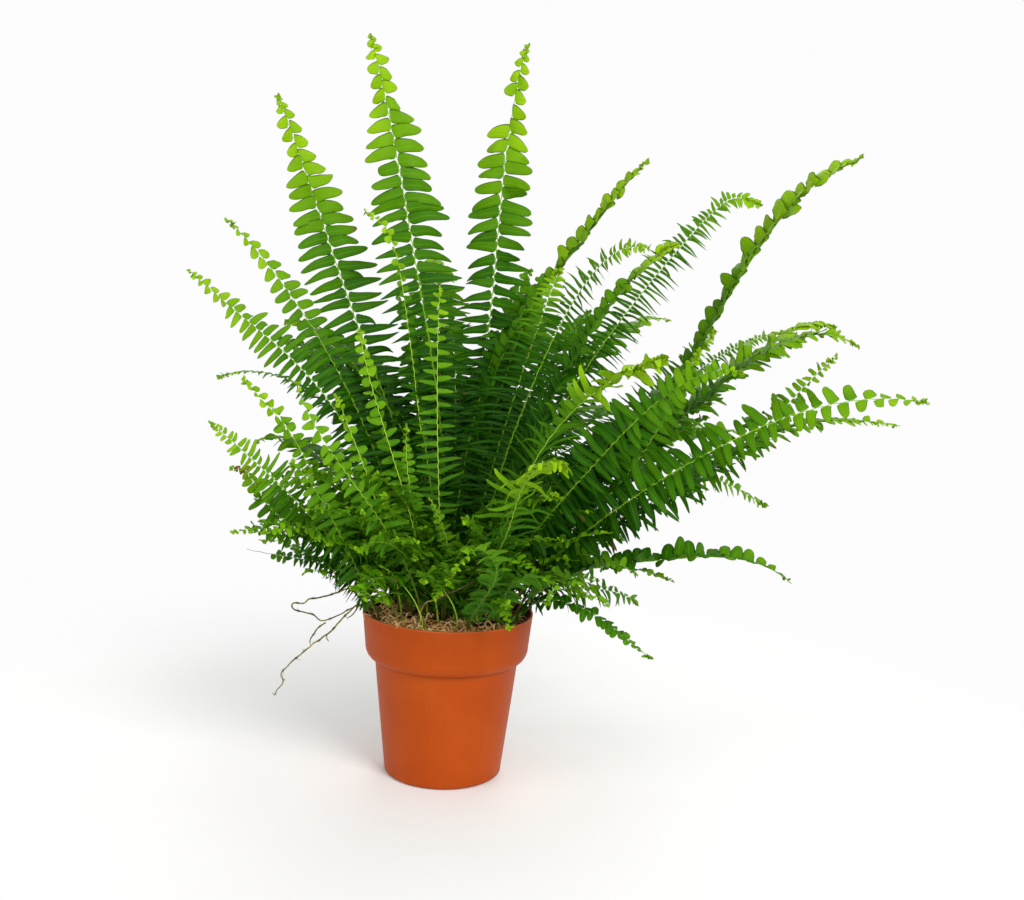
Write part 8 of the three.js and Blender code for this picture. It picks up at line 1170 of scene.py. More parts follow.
SPECIAL = {
    "frond_f2": dict(gaps=((-1, .862, .900),)),
    "frond_f4": dict(spacing=8.2, fill=spread((0, .6), (.6, .70), (.75, .70), (1, .74))),
    "frond_f5": dict(TALL, spacing=5.6, lift=14, fill=spread((0, .6), (.6, .74), (.75, .72), (1, .76)), clump=6),
    "frond_f6": dict(COMB, spacing=4.0, swell=spread((0, 1), (.5, .9), (.8, .85), (1, .9))),
    "frond_f7": dict(spacing=3.7, curl=0.6, fill=.66, blunt=spread((0, .1), (.6, .5), (1, 1.0)), wild=1.3,
                     tone=spread((0, .05), (.5, .32), (1, 1.0))),
    "frond_f7b": dict(dry_from=0.90, bare_tip=0.98, spacing=4.4, wild=1.6),
    "frond_f9": dict(bare_tip=0.80, rachis=0.2, rachis_up=0.1, clump=0),
    "frond_f8b": dict(leaf="young", tone=spread((0, .15), (.5, .4), (1, .85)), spacing=6.4, wild=1.8, fill=.68, clump=5),
    "frond_f8d": dict(wild=2.0, spacing=6.2, fill=.70, tone=spread((0, .05), (.5, .3), (1, .8))),
    "frond_yu": dict(spacing=8.0, leaf="young", angle=80, fill=.40, lift=16, blunt=spread((0, .2), (1, .9)), wild=1.2),
    "frond_yt": dict(spacing=7.2, fill=.74, left=spread((0, .6), (.7, .7), (1, 1.1)), right=spread((0, .6), (.7, .7), (1, 1.1)),
                     tone=spread((0, .05), (.65, .2), (.82, .6), (1, 1.0))),
    "frond_c4": dict(leaf="young", bud=1.8, tone=spread((0, .3), (1, .7)), rachis=0.8, stipe_dry=0.15, wild=1.6),
    "frond_c9": dict(leaf="young", bud=2.1, tone=spread((0, .4), (1, .8)), rachis=0.85, stipe_dry=0.1, clump=0),
    "frond_c6": dict(leaf="young", bud=1.9, tone=spread((0, .4), (1, .8)), rachis=0.85, stipe_dry=0.1, clump=0),
    "frond_cz": dict(leaf="young", bud=2.3, tone=spread((0, .5), (1, .7)), rachis=0.85, stipe_dry=0.1, scales=1.6, clump=0),
    "frond_f11": dict(BEAD, spacing=8.4),
    "frond_f14": dict(BEAD, spacing=9.0, swell=spread((0, .8), (.4, .55), (.64, .56), (.78, 1.05), (.93, 1.8), (1, 1.4)), clump=14),
    "frond_f12": dict(COMB, spacing=4.2, clump=4),
    "frond_f12c": dict(COMB, spacing=4.4),
    "frond_f13": dict(COMB, spacing=3.7, clump=16, swell=spread((0, 1), (.7, 1), (.88, 1.3), (.95, 1.4), (1, 2.0))),
    "frond_f13b": dict(BEAD, spacing=6.2, lift=14, clump=46, clump_run=.06, swell=spread((0, 1), (.5, .75), (.80, .8), (.92, 1.7), (1, 2.6)),
                       tone=spread((0, -.02), (.6, .3), (.84, .55), (.90, 1.0), (1, 1.15))),
    "frond_f15": dict(ROPE, spacing=4.4),
    "frond_f15b": dict(COMB, spacing=3.3),
    "frond_f16": dict(ROPE, spacing=5.0, clump=18, swell=spread((0, 1), (.42, .95), (.58, .80), (.75, 1.05), (.92, 1.6), (1, 1.8)), clump_run=.05,
                      tone=spread((0, -.02), (.5, .30), (.75, .74), (1, 1.1))),
    "frond_f16b": dict(COMB, spacing=3.5),
    "frond_f17": dict(COMB, spacing=5.8, fill=spread((0, .66), (.8, .6), (1, .6)), blunt=spread((0, .4), (.6, .6), (.85, 1.0), (1, 1.5)), wild=1.4,
                      tone=spread((0, 0), (.5, .22), (.8, .6), (1, .95))),
    "frond_f18": dict(spacing=7.7, fill=spread((0, .76), (.45, .80), (.6, .74), (.8, .62), (1, .62)), clump=8, curl=.6,
                      grow=spread((0, .85), (.5, .92), (.7, 1.1), (.85, 1.42), (.95, 1.25), (1, .5)),
                      blunt=spread((0, .9), (.5, 1.0), (.66, .5), (.80, .7), (.9, 1.3), (1, 1.8)), rachis=.2, rachis_up=.5,
                      right=spread((0, .68), (.6, .72), (1, .9)), left=spread((0, .84), (.5, .92), (.7, 1.0), (1, .9)), wild=1.1,
                      angle=spread((0, 92), (.5, 86), (.8, 96), (1, 84)),
                      tone=spread((0, .04), (.35, .20), (.55, .36), (.7, .54), (1, .90))),
    "frond_f19": dict(ROPE, spacing=4.6, lift=12, clump=3, blunt=spread((0, .8), (1, 1.2)), swell=spread((0, 1), (.5, .95), (.75, .66), (1, .8))),
    "frond_f20": dict(COMB, spacing=4.6, wild=1.6, tone=spread((0, 0), (.5, .3), (1, .8))),
    "frond_f21": dict(spacing=7.2, lift=34, fill=1.0, blunt=1.0, clump=3, tone=spread((0, .05), (.5, .28), (1, .55))),
    "frond_f22": dict(COMB, spacing=5.0, wild=1.5, tone=spread((0, .1), (.5, .35), (1, .6))),
    "frond_f23": dict(spacing=4.8, left=.8, right=.8, fill=1.0, blunt=1.2, tone=spread((0, .1), (.5, .3), (1, .6))),
    "frond_f23b": dict(spacing=5.3, fill=.86, blunt=spread((0, .9), (.7, .9), (1, 1.6)), left=.90, right=.76, wild=1.5,
                       curl=.6, tone=spread((0, .0), (.5, .20), (.8, .44), (1, .92))),
    "frond_nb": dict(spacing=4.0, clump_run=.10, fill=spread((0, .60), (.6, .60), (.74, .9), (.84, 1.2), (1, 1.5)), wild=1.8, curl=0.6,
                     angle=spread((0, 80), (.35, 48), (.68, 44), (.8, 74), (1, 70)), rachis=0.4, rachis_up=0.5, clump=70,
                     swell=spread((0, .9), (.66, .80), (.78, .84), (.88, 1.6), (.95, 2.2), (1, 2.8)), droop=.1,
                     tone=spread((0, .06), (.35, .24), (.62, .44), (.76, .74), (.84, 1.0), (1, 1.12)),
                     blunt=spread((0, 0), (.66, .2), (.80, 1.2), (1, 1.3))),
    "frond_nd": dict(spacing=4.2, clump_run=.05, fill=spread((0, .6), (.55, .6), (.7, .66), (1, .8)), wild=1.8, curl=0.7, rachis=0.4,
                     angle=spread((0, 88), (.5, 70), (.8, 64), (1, 50)), droop=.3, clump=10,
                     swell=spread((0, .9), (.6, 1), (.85, 1.3), (1, 2.4)),
                     tone=spread((0, .02), (.4, .2), (.65, .5), (.78, .95), (1, 1.1)),
                     blunt=spread((0, 0), (.6, .6), (.8, 1.0), (1, 1.2))),
    "frond_bl": dict(spacing=5.3, wild=1.5, fill=.86, blunt=spread((0, .9), (.7, .9), (1, 1.6)), left=.92, right=.72, curl=.6,
                     tone=spread((0, .0), (.5, .20), (.8, .42), (1, .88))),
    "frond_n1": dict(spacing=4.6, wild=2.4, fill=.92, curl=.7, blunt=.5, rachis=.15, rachis_up=.3, lift=28, left=.66, right=.62,
                     tone=spread((0, .06), (.5, .34), (1, .8))),
    "frond_n2": dict(spacing=4.6, wild=2.2, fill=.92, curl=.7, blunt=.6, rachis=.15, rachis_up=.3, lift=26, left=.74, right=.70,
                     tone=spread((0, .15), (.5, .44), (1, .75))),
}
def frond(row, index, clay=None):
    """Builds one frond: stipe and rachis with scales, and its two rows of
    leaflets, along the stations of its row in the table. It is a piece of its
    own, unless it is added to the clay of a clump."""
    name, age, w, stipe, kind, st = row
    lone = clay is None
    o = build(**dict(DEFAULTS[kind], **SPECIAL.get(name, {})))
    r = np.random.default_rng(4000 + index)
    st = np.asarray(st, float)
    per = 14
    u = np.linspace(0, len(st) - 1, (len(st) - 1) * per + 1)
    P = catmull(st[:, :3], per)
    B = np.stack([np.interp(u, np.arange(len(st)), st[:, 3 + k]) for k in range(3)], 1)
    H = np.interp(u, np.arange(len(st)), st[:, 6])
    s = arc_table(P)
    L = s[-1]
    P, B, H = along(P, np.linspace(0, L, 1 + int(L / 1.5)), B, H[:, None])
    H = H[:, 0]
    s = np.linspace(0, L, len(P))
    T = unit(np.gradient(P, axis=0))
    B = unit(B - T * (B * T).sum(1)[:, None])
    N = np.cross(B, T)
    centre = np.array([0, 6, 0])
    mid = len(P) * 2 // 3
    radial = P[mid] - centre
    radial[2] = 0
    want = np.array([0, 0, 1.0]) - 0.75 * unit(radial)
    if N[mid] @ want < 0:
        B, N = -B, -N
    rad0 = (0.54 + 0.34 * min(L / 420, 1)) * o["thick"]
    rad = rad0 * spread((0, 1.2), (0.08, 1.0), (0.4, 0.60), (0.8, 0.36), (1, 0.24))(s / L)
    # leaves in the middle of the plant are darker: partly because they are older, partly as painted shade of the
    # foliage around them
    inner_shade_and_age = 1 - smooth(70, 190, np.linalg.norm((P - (0, 5, 165)) * (1, 1, 0.8), axis=1))
    clay = clay or Clay()

    # where the leaflets sit, foot to tip, the two rows alternating
    sp0 = o["spacing"] or float(np.clip(0.27 * w + 1.2, 3.9, 7.6))
    grow = o["grow"]
    at, places = max(stipe, 0.04) * L, []
    while at < L - 1.2:
        places.append(at)
        at += sp0 * float(grow(at / L)) * 0.5 * (1 + 0.10 * r.uniform(-1, 1))
    kinks, zig = np.zeros(len(s)), []
    for k, at in enumerate(places):
        zig.append((at, (0.55 if k % 2 else -0.55) * rad0))
    if zig:
        za, zv = zip(*zig)
        kinks = np.interp(s, za, zv, left=0, right=0)
    Pz = P + B * kinks[:, None]
    rt = np.clip(o["rachis"] + o["rachis_up"] * smooth(0.05, 0.7, s / L), 0, 1)
    rdry = o["stipe_dry"] * (1 - smooth(0.02, 0.30, s / L))
    if o["bare_tip"] < 1:
        rdry = np.maximum(rdry, smooth(o["bare_tip"] - 0.08, o["bare_tip"] + 0.05, s / L))
    keep = np.unique(np.concatenate([np.arange(0, len(s), 2), [len(s) - 1]]))
    tube(clay, Pz[keep], rad[keep], 8 if w > 18 else 6, 1, up=N[0], squash=0.9,
         tone=rt[keep], dry=rdry[keep], rnd=0.5)

    # leaflets
    for k, at in enumerate(places):
        f = at / L
        if f > o["bare_tip"]:
            continue
        side = 1 if k % 2 else -1
        if any(a <= f <= b and (which == 0 or which == side) for which, a, b in o["gaps"]):
            continue
        i = int(np.clip(round(at / L * (len(s) - 1)), 0, len(s) - 1))
        hw = H[i] * float(o["right" if side > 0 else "left"](f) * o["swell"](f))
        if hw < 0.5:
            continue
        ang = math.radians(float(o["angle"](f)) + o["wild"] * 7 * r.normal(0, 1))
        Lp = hw / max(math.sin(ang), 0.6) * (1 + 0.07 * o["wild"] * r.uniform(-1, 1))
        Lp = max(Lp - rad[i] * 0.4, 1.3)
        sp = sp0 * float(grow(f))
        blunt = float(np.clip(o["blunt"](f) + 0.15 * r.uniform(-1, 1), 0, 1.999))
        W = min(sp * float(o["fill"](f)) * (1 + 0.08 * o["wild"] * r.uniform(-1, 1)), Lp * (0.62 + 0.30 * blunt))
        lift = math.radians(float(o["lift"](f)) + o["wild"] * 9 * r.normal(0, 1))
        out = B[i] * side * math.sin(ang) + T[i] * math.cos(ang)
        out = unit(out * math.cos(lift) + N[i] * math.sin(lift))
        tip = unit(T[i] - out * (T[i] @ out))
        nrm = np.cross(out, tip)
        if nrm @ N[i] < 0:
            nrm = -nrm
        # tone is lowered in the middle of the plant: painted shade, with some darkening for age
        tone = float(o["tone"](f)) + 0.06 * r.uniform(-1, 1) - 0.20 * float(inner_shade_and_age[i])
        twist = o["wild"] * (r.normal(0, 0.16) + (r.uniform(-0.9, 0.9) if r.random() < 0.10 else 0))
        dry = 0.0
        if f > o["dry_from"]:
            dry = float(smooth(o["dry_from"], o["dry_from"] + 0.05, f))
        elif Lp > 8 and r.random() < o["dry_tips"]:
            dry = smooth(0.72, 0.97, ST_T) * r.uniform(0.5, 1.0)
        curl = o["curl"] * (r.random() ** 2) * (1 if r.random() < 0.7 else -1) + (0.8 if np.ndim(dry) == 0 and dry > 0.4 else 0)
        droop = o["droop"] * (0.65 + 0.7 * r.random())
        leaflet(clay, Pz[i] + out * rad[i] * 0.15 + N[i] * rad[i] * 0.55, out, tip, nrm, Lp, W, blunt, r, tone,
                dry, droop, curl, twist=twist)

    # brown scales, thick at the foot of the stipe
    for k in range(int(o["scales"] * (6 + L * 0.10))):
        f = r.random() ** 2.2 * 0.55
        i = int(f * (len(s) - 1))
        a = r.uniform(0, 2 * np.pi)
        d = unit(B[i] * math.cos(a) + N[i] * math.sin(a))
        way = unit(T[i] * r.choice([-1, 1], p=[.25, .75]) + d * 0.25 + B[i] * r.uniform(-.3, .3))
        flake(clay, Pz[i] + d * rad[i] * 0.82, d, way, r.uniform(0.9, 2.4) * (1.25 - f), r.uniform(0.14, 0.3))

    if o["clump"]:  # small unfolding leaflets crowded at the very tip
        for k in range(o["clump"]):
            i = int((1 - o["clump_run"] * r.random()) * (len(s) - 1))
            d = unit(r.normal(0, 1, 3) + T[i] * 0.8)
            tipv = unit(np.cross(d, r.normal(0, 1, 3)))
            leaflet(clay, Pz[i] + d * 0.3, d, tipv, np.cross(d, tipv), r.uniform(2.0, 4.2), r.uniform(2.0, 3.4), 1.6, r,
                    float(o["tone"](1)) + 0.08 * r.uniform(-1, 1), curl=r.uniform(-.5, .5), droop=0.0, fine=False)
    if o["bud"]:
        i = len(s) - 1
        bud(clay, Pz[i], T[i], N[i], o["bud"], rad[i] * 1.1, r, o["tone"](1.0))
    if not lone:
        return clay
    ob = clay.mesh(name.replace("frond_", "leaf_"), [LEAF[o["leaf"]], STALK])
    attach(ob, "root")
    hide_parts(name)
    return ob


# ------------------------------------------------------------------------ pot
POT_HEIGHT, RIM_R, COLLAR_DEPTH, COLLAR_FOOT_R = 115.2, 60.0, 24.0, 57.4
SHOULDER_DROP, BODY_TOP_R, BASE_R, WALL, LIP_WALL = 33.0, 50.6, 41.2, 1.3, 1.7
FLOOR_T, FOOT_CHAMFER = 1.8, 0.9
DRAINS, DRAIN_W, DRAIN_L, DRAIN_R = 8, 5.0, 11.0, 29.0
Z_TURN, Z_CREASE = POT_HEIGHT - COLLAR_DEPTH, POT_HEIGHT - SHOULDER_DROP
TAPER = (BODY_TOP_R - BASE_R) / Z_CREASE


def rounded(points, radius, steps=5):
    """The open outline through points with each corner turned on a small arc."""
    P = np.asarray(points, float)
    out = [P[0]]
    for a, b, c in zip(P[:-2], P[1:-1], P[2:]):
        la, lc = np.linalg.norm(a - b), np.linalg.norm(c - b)
        k = min(radius, 0.45 * la, 0.45 * lc)
        p, q = b + (a - b) / la * k, b + (c - b) / lc * k
        t = np.linspace(0, 1, steps)[:, None]
        out += list((1 - t) ** 2 * p + 2 * t * (1 - t) * b + t ** 2 * q)
    return np.array(out + [P[-1]])


def pot():
    outer = [(0, 0.5), (36.2, 0.5), (36.9, 0.0), (BASE_R - FOOT_CHAMFER, 0.0),
             (BASE_R + TAPER * FOOT_CHAMFER, FOOT_CHAMFER)]
    outer += [(BASE_R + TAPER * z, z) for z in (22, 42, 62)]
    outer += [(BODY_TOP_R - 0.25, Z_CREASE - 0.9), (BODY_TOP_R + 0.9, Z_CREASE)]
    for i in range(1, 8):
        a = i / 8 * math.pi / 2
        outer.append((BODY_TOP_R + 0.9 + (COLLAR_FOOT_R - BODY_TOP_R - 0.9) * math.sin(a),
                      Z_CREASE + (Z_TURN - Z_CREASE) * (1 - math.cos(a))))
    outer += [(COLLAR_FOOT_R, Z_TURN), (0.5 * (COLLAR_FOOT_R + RIM_R) - 0.1, 0.5 * (Z_TURN + POT_HEIGHT)),
              (RIM_R - 0.1, POT_HEIGHT)]
    inner = [(RIM_R - LIP_WALL, POT_HEIGHT), (RIM_R - LIP_WALL - 0.05, POT_HEIGHT - 4), (COLLAR_FOOT_R - WALL, Z_TURN)]
    for i in range(7, 0, -1):
        a = i / 8 * math.pi / 2
        inner.append((BODY_TOP_R + 0.9 - WALL + (COLLAR_FOOT_R - BODY_TOP_R - 0.9) * math.sin(a),
                      Z_CREASE + 0.9 + (Z_TURN - Z_CREASE - 0.9) * (1 - math.cos(a))))
    inner += [(BODY_TOP_R - WALL, Z_CREASE - 0.3), (BASE_R - WALL - 0.2, FLOOR_T + 1.5),
              (BASE_R - WALL - 1.7, FLOOR_T), (0, FLOOR_T)]
    line = rounded(outer + inner, 0.55, 5)
    line = line[1:-1]
    seg = 168
    a = np.arange(seg) * 2 * np.pi / seg
    R, Z = line[:, 0], line[:, 1]
    V = np.stack([R[:, None] * np.cos(a), R[:, None] * np.sin(a), np.broadcast_to(Z[:, None], (len(R), seg))], -1)
    V = np.vstack([V.reshape(-1, 3), [[0, 0, 0.5], [0, 0, FLOOR_T]]])
    n = len(R)
    i, j = np.meshgrid(np.arange(n - 1), np.arange(seg), indexing="ij")
    j2 = (j + 1) % seg
    q = np.stack([i * seg + j, i * seg + j2, (i + 1) * seg + j2, (i + 1) * seg + j], -1).reshape(-1, 4)
    k = np.arange(seg)
    k2 = (k + 1) % seg
    caps = np.vstack([np.stack([np.full(seg, n * seg), k2, k], 1),
                      np.stack([np.full(seg, n * seg + 1), (n - 1) * seg + k, (n - 1) * seg + k2], 1)])
    clay = Clay()
    clay.add(V, [q, caps])
    ob = clay.mesh("pot_shell", [POT], sharp=0)
    # drainage slots through the floor, cut with rounded ends
    for d in range(DRAINS):
        ang = 2 * math.pi * (d + 0.5) / DRAINS
        outl = []
        x0, x1, h, rr = DRAIN_R - DRAIN_L / 2, DRAIN_R + DRAIN_L / 2, DRAIN_W / 2, 2.2
        for cx, cy, a0 in ((x1 - rr, h - rr, 0), (x0 + rr, h - rr, 90), (x0 + rr, -h + rr, 180), (x1 - rr, -h + rr, 270)):
            for t in np.linspace(0, 90, 6):
                b = math.radians(a0 + t)
                outl.append((cx + rr * math.cos(b), cy + rr * math.sin(b)))
        O = np.array(outl)
        O = np.stack([O[:, 0] * math.cos(ang) - O[:, 1] * math.sin(ang),
                      O[:, 0] * math.sin(ang) + O[:, 1] * math.cos(ang)], 1)
        m = len(O)
        V = np.vstack([np.c_[O, np.full(m, -2.0)], np.c_[O, np.full(m, FLOOR_T + 2)]])
        k = np.arange(m)
        k2 = (k + 1) % m
        cut = bpy.data.meshes.new("cut")
        faces = [list(map(int, row)) for row in np.stack([k, k2, k2 + m, k + m], 1)]
        faces += [list(range(m))[::-1], list(range(m, 2 * m))]
        cut.from_pydata([tuple(v * MM) for v in V], [], faces)
        co = bpy.data.objects.new("cut", cut)
        bpy.context.scene.collection.objects.link(co)
        mod = ob.modifiers.new("slot", "BOOLEAN")
        mod.operation, mod.solver, mod.object = "DIFFERENCE", "EXACT", co
        bpy.context.view_layer.update()
        deps = bpy.context.evaluated_depsgraph_get()
        new = bpy.data.meshes.new_from_object(ob.evaluated_get(deps))
        ob.modifiers.clear()
        old, ob.data = ob.data, new
        bpy.data.meshes.remove(old)
        bpy.data.objects.remove(co)
        bpy.data.meshes.remove(cut)
    ob.data.name = "pot_shell"
    ob.data.polygons.foreach_set("use_smooth", np.ones(len(ob.data.polygons), bool))
    ob.data.set_sharp_from_angle(angle=math.radians(36))
    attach(ob, "root")
    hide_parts("nursery_pot")
    return ob


# ------------------------------------------------------------- growing medium
def soil_z(x, y):
    r = np.hypot(x, y)
    return 112.0 - 6.0 * (r / 57.0) ** 2 + 0.7 * np.sin(0.19 * x + 1.3) * np.cos(0.16 * y - 0.4)


def grain(x, y, s, seed):
    return np.array([mnoise.noise(Vector((a * s, b * s, seed))) for a, b in zip(np.ravel(x), np.ravel(y))]).reshape(np.shape(x))


def soil():
    seg, rings = 200, 64
    rmax = 57.3
    rr = rmax * (np.arange(1, rings + 1) / rings) ** 0.92
    a = np.arange(seg) * 2 * np.pi / seg
    X, Y = rr[:, None] * np.cos(a), rr[:, None] * np.sin(a)
    bump = (1.25 * grain(X, Y, 0.17, 3.1) + 0.85 * grain(X, Y, 0.43, 8.7) + 0.55 * np.abs(grain(X, Y, 1.05, 1.9)))
    Z = soil_z(X, Y) + bump - 0.35
    Z -= 1.6 * smooth(52.5, 57.3, np.hypot(X, Y))
    low = [(57.0, 101.0), (56.0, 92.0), (52.6, 86.0), (48.7, 81.6), (46.0, 55.0), (43.0, 30.0), (39.4, 4.2), (37.3, 2.2)]
    V = [np.stack([X, Y, Z], -1).reshape(-1, 3)]
    for r, z in low:
        V.append(np.stack([r * np.cos(a), r * np.sin(a), np.full(seg, z)], -1))
    V.append([[0, 0, float(soil_z(0, 0))], [0, 0, 2.2]])
    n = rings + len(low)
    i, j = np.meshgrid(np.arange(n - 1), np.arange(seg), indexing="ij")
    j2 = (j + 1) % seg
    q = np.stack([i * seg + j, (i + 1) * seg + j, (i + 1) * seg + j2, i * seg + j2], -1).reshape(-1, 4)
    k = np.arange(seg)
    k2 = (k + 1) % seg
    caps = np.vstack([np.stack([np.full(seg, n * seg), k, k2], 1),
                      np.stack([np.full(seg, n * seg + 1), (n - 1) * seg + k2, (n - 1) * seg + k], 1)])
    clay = Clay()
    clay.add(np.vstack(V), [q, caps])
    ob = clay.mesh("potting_mix", [SOIL], sharp=0)
    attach(ob, "root")
    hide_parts("growing_medium")


def strand(r, x, y, heading, length, wild, lift, rmax=57.4, step=1.3):
    """A fibre lying on the medium: wanders from x, y and keeps off the wall."""
    pts, turn = [], r.normal(0, wild)
    n = max(int(length / step), 4)
    ph = r.uniform(0, 6)
    for k in range(n):
        z = float(soil_z(x, y)) - 1.6 * float(smooth(52.5, 57.3, math.hypot(x, y)))
        pts.append((x, y, z + 0.25 + lift * math.sin(math.pi * k / (n - 1)) * (0.75 + 0.25 * math.sin(1.1 * k + ph))))
        turn = 0.86 * turn + r.normal(0, wild) * 0.5
        heading += turn
        nx, ny = x + step * math.cos(heading), y + step * math.sin(heading)
        if math.hypot(nx, ny) > rmax:
            heading = math.atan2(y, x) + math.pi / 2 * (1 if math.sin(heading - math.atan2(y, x)) > 0 else -1) + 0.12
            nx, ny = x + step * math.cos(heading), y + step * math.sin(heading)
            k2 = rmax / max(math.hypot(nx, ny), 1e-6)
            nx, ny = nx * min(k2, 1), ny * min(k2, 1)
        x, y = nx, ny
    return np.array(pts)


def fibres():
    r = np.random.default_rng(71)
    coir = Clay()
    for k in range(440):
        rad = 57 * math.sqrt(r.uniform(0.02, 1))
        a = r.uniform(0, 2 * np.pi)
        if r.random() < 0.45:  # more of them on the side that is open to view
            a = r.normal(-np.pi / 2, 0.75)
        P = strand(r, rad * math.cos(a), rad * math.sin(a), r.uniform(0, 2 * np.pi), r.uniform(5, 17), 0.16,
                   r.uniform(0.1, 1.5))
        R = r.uniform(0.10, 0.24) * spread((0, .7), (.3, 1), (.8, .8), (1, .4))(np.linspace(0, 1, len(P)))
        tube(coir, P, R, 4, 0, tone=float(np.clip(r.normal(0.44, 0.2), 0, 1)), rnd=r.random())
    ob = coir.mesh("coir_fibres", [FIBRE])
    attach(ob, "root")

    roots = Clay()
    for k in range(380):
        a = r.normal(-np.pi / 2 - 0.45, 0.75) if k % 4 else r.uniform(0, 2 * np.pi)
        thick = k % 3 == 0
        rad = 57 * math.sqrt(r.uniform(0.35, 1))
        head = a + np.pi / 2 * r.choice([-1, 1]) + r.normal(0, 0.7)
        P = strand(r, rad * math.cos(a), rad * math.sin(a), head, r.uniform(14, 50), 0.12 if thick else 0.09,
                   r.uniform(1.0, 8.5) if thick else r.uniform(0.5, 4.0))
        n = len(P)
        R = (r.uniform(0.40, 0.62) if thick else r.uniform(0.20, 0.36)) * spread((0, .6), (.15, 1), (.7, .8), (1, .3))(np.linspace(0, 1, n))
        tube(roots, P, R, 5, 0, tone=np.clip(r.normal(0.88 if thick else 0.72, 0.16) + 0.1 * np.sin(np.arange(n) * 0.7), 0, 1), rnd=r.random())
    # a few that have climbed the wall, and two that hang over the lip
    for a, hang in ((-2.52, 4.5), (-1.95, 3.0), (-0.62, 0), (-0.5, 0), (-0.36, 0), (-0.25, 0), (-2.75, 0)):
        P = []
        for k, (rad, z) in enumerate(((49, 109.4), (53, 109.6), (56.2, 111.0), (57.6, 113.2), (58.3, 115.3),
                                      (59.2, 116.2), (60.3, 115.6), (60.75, 114.0), (60.7, 112.2), (60.9, 110.9))):
            if not hang and k > 3:
                break
            if hang and k > 5 + hang * 0.9:
                break
            aa = a + 0.055 * math.sin(1.7 * k + 5 * a) + 0.03 * k * (1 if a > -1.5 else -1)
            P.append((rad * math.cos(aa), rad * math.sin(aa), z))
        P = catmull(P, 4)
        tube(roots, P, np.linspace(0.34, 0.18, len(P)), 6, 0, tone=0.78, rnd=0.5)
    ob = roots.mesh("surface_roots", [FIBRE])
    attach(ob, "root")

    chips = Clay()
    for k in range(300):
        a = r.uniform(0, 2 * np.pi) if k % 3 else r.normal(-1.15, 0.40)
        rad = 56.5 * math.sqrt(r.uniform(0.05, 1))
        x, y = rad * math.cos(a), rad * math.sin(a)
        size = r.uniform(0.8, 2.3) * (1.5 if r.random() < 0.12 else 1)
        dims = size * np.array([r.uniform(0.9, 1.8), r.uniform(0.5, 0.9), r.uniform(0.25, 0.55)])
        q = Euler((r.normal(0, 0.4), r.normal(0, 0.4), r.uniform(0, 6.28))).to_matrix()
        V = CHIP * dims * (1 + 0.22 * r.uniform(-1, 1, (len(CHIP), 1)))
        V = V @ np.array(q).T
        z = float(soil_z(x, y)) - 1.6 * float(smooth(52.5, 57.3, rad))
        V += (x, y, z + 0.25 + 0.35 * dims[2])
        over = np.hypot(V[:, 0], V[:, 1])
        V[:, :2] *= np.minimum(1, 57.6 / np.maximum(over, 1e-6))[:, None]
        chips.add(V, [CHIP_F], None, 0, tone=float(np.clip(r.normal(0.55 if k % 3 == 0 else 0.35, 0.22), 0, 1)), rnd=r.random())
    ob = chips.mesh("husk_chips", [HUSK], sharp=35)
    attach(ob, "root")


def chip_shape():
    """A rough ball of 26 corners that the husk bits are pressed out of."""
    bm = bmesh.new()
    bmesh.ops.create_icosphere(bm, subdivisions=2, radius=1.0)
    bm.verts.ensure_lookup_table()
    V = np.array([v.co[:] for v in bm.verts])
    F = np.array([[v.index for v in f.verts] for f in bm.faces])
    bm.free()
    return V, F


CHIP, CHIP_F = chip_shape()


# -------------------------------------------------------------- rhizome crown
def crown():
    cx, cy, z0, h, R = -3.0, 2.5, float(soil_z(-3.0, 2.5)) - 0.2, 9.0, 5.0
    seg, rings = 36, 22
    clay = Clay()
    t = np.linspace(0, 1, rings)
    a = np.arange(seg) * 2 * np.pi / seg
    prof = spread((0, .78), (.25, 1), (.5, .98), (.78, .74), (.93, .42), (1, .12))(t)
    V = []
    for i in range(rings):
        k = 1 + 0.10 * np.sin(3 * a + 4 * t[i]) + 0.05 * np.sin(7 * a - 9 * t[i]) + 0.04 * np.sin(13 * a + 17 * t[i])
        V.append(np.stack([cx + R * prof[i] * k * np.cos(a), cy + R * prof[i] * k * np.sin(a),
                           np.full(seg, z0 + 0.5 + h * 0.95 * t[i])], -1))
    V.append([[cx, cy, z0 + 0.4], [cx, cy, z0 + 0.6 + h * 0.96]])
    i, j = np.meshgrid(np.arange(rings - 1), np.arange(seg), indexing="ij")
    j2 = (j + 1) % seg
    q = np.stack([i * seg + j, i * seg + j2, (i + 1) * seg + j2, (i + 1) * seg + j], -1).reshape(-1, 4)
    k, k2 = np.arange(seg), (np.arange(seg) + 1) % seg
    caps = np.vstack([np.stack([np.full(seg, rings * seg), k2, k], 1),
                      np.stack([np.full(seg, rings * seg + 1), (rings - 1) * seg + k, (rings - 1) * seg + k2], 1)])
    clay.add(np.vstack(V), [q, caps], None, 0, tone=0.15, dry=0.6)
    r = np.random.default_rng(17)
    for _ in range(420):  # chaffy brown scales, thickest at the top
        th, f = r.uniform(0, 2 * np.pi), r.random() ** 0.7
        p = float(spread((0, .78), (.25, 1), (.5, .98), (.78, .74), (1, .3))(f))
        at = np.array([cx + R * p * math.cos(th), cy + R * p * math.sin(th), z0 + 0.4 + h * 0.93 * f])
        out = unit([math.cos(th), math.sin(th), 0.3 + f])
        way = unit(np.array([0.25 * math.cos(th), 0.25 * math.sin(th), 1.0]) + r.normal(0, 0.35, 3))
        flake(clay, at, out, way, r.uniform(1.4, 3.4), r.uniform(0.25, 0.5), 0, dry=r.uniform(0.6, 1))
    ob = clay.mesh("rhizome_scaly", [RUNNER])
    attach(ob, "root")
    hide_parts("rhizome_crown")


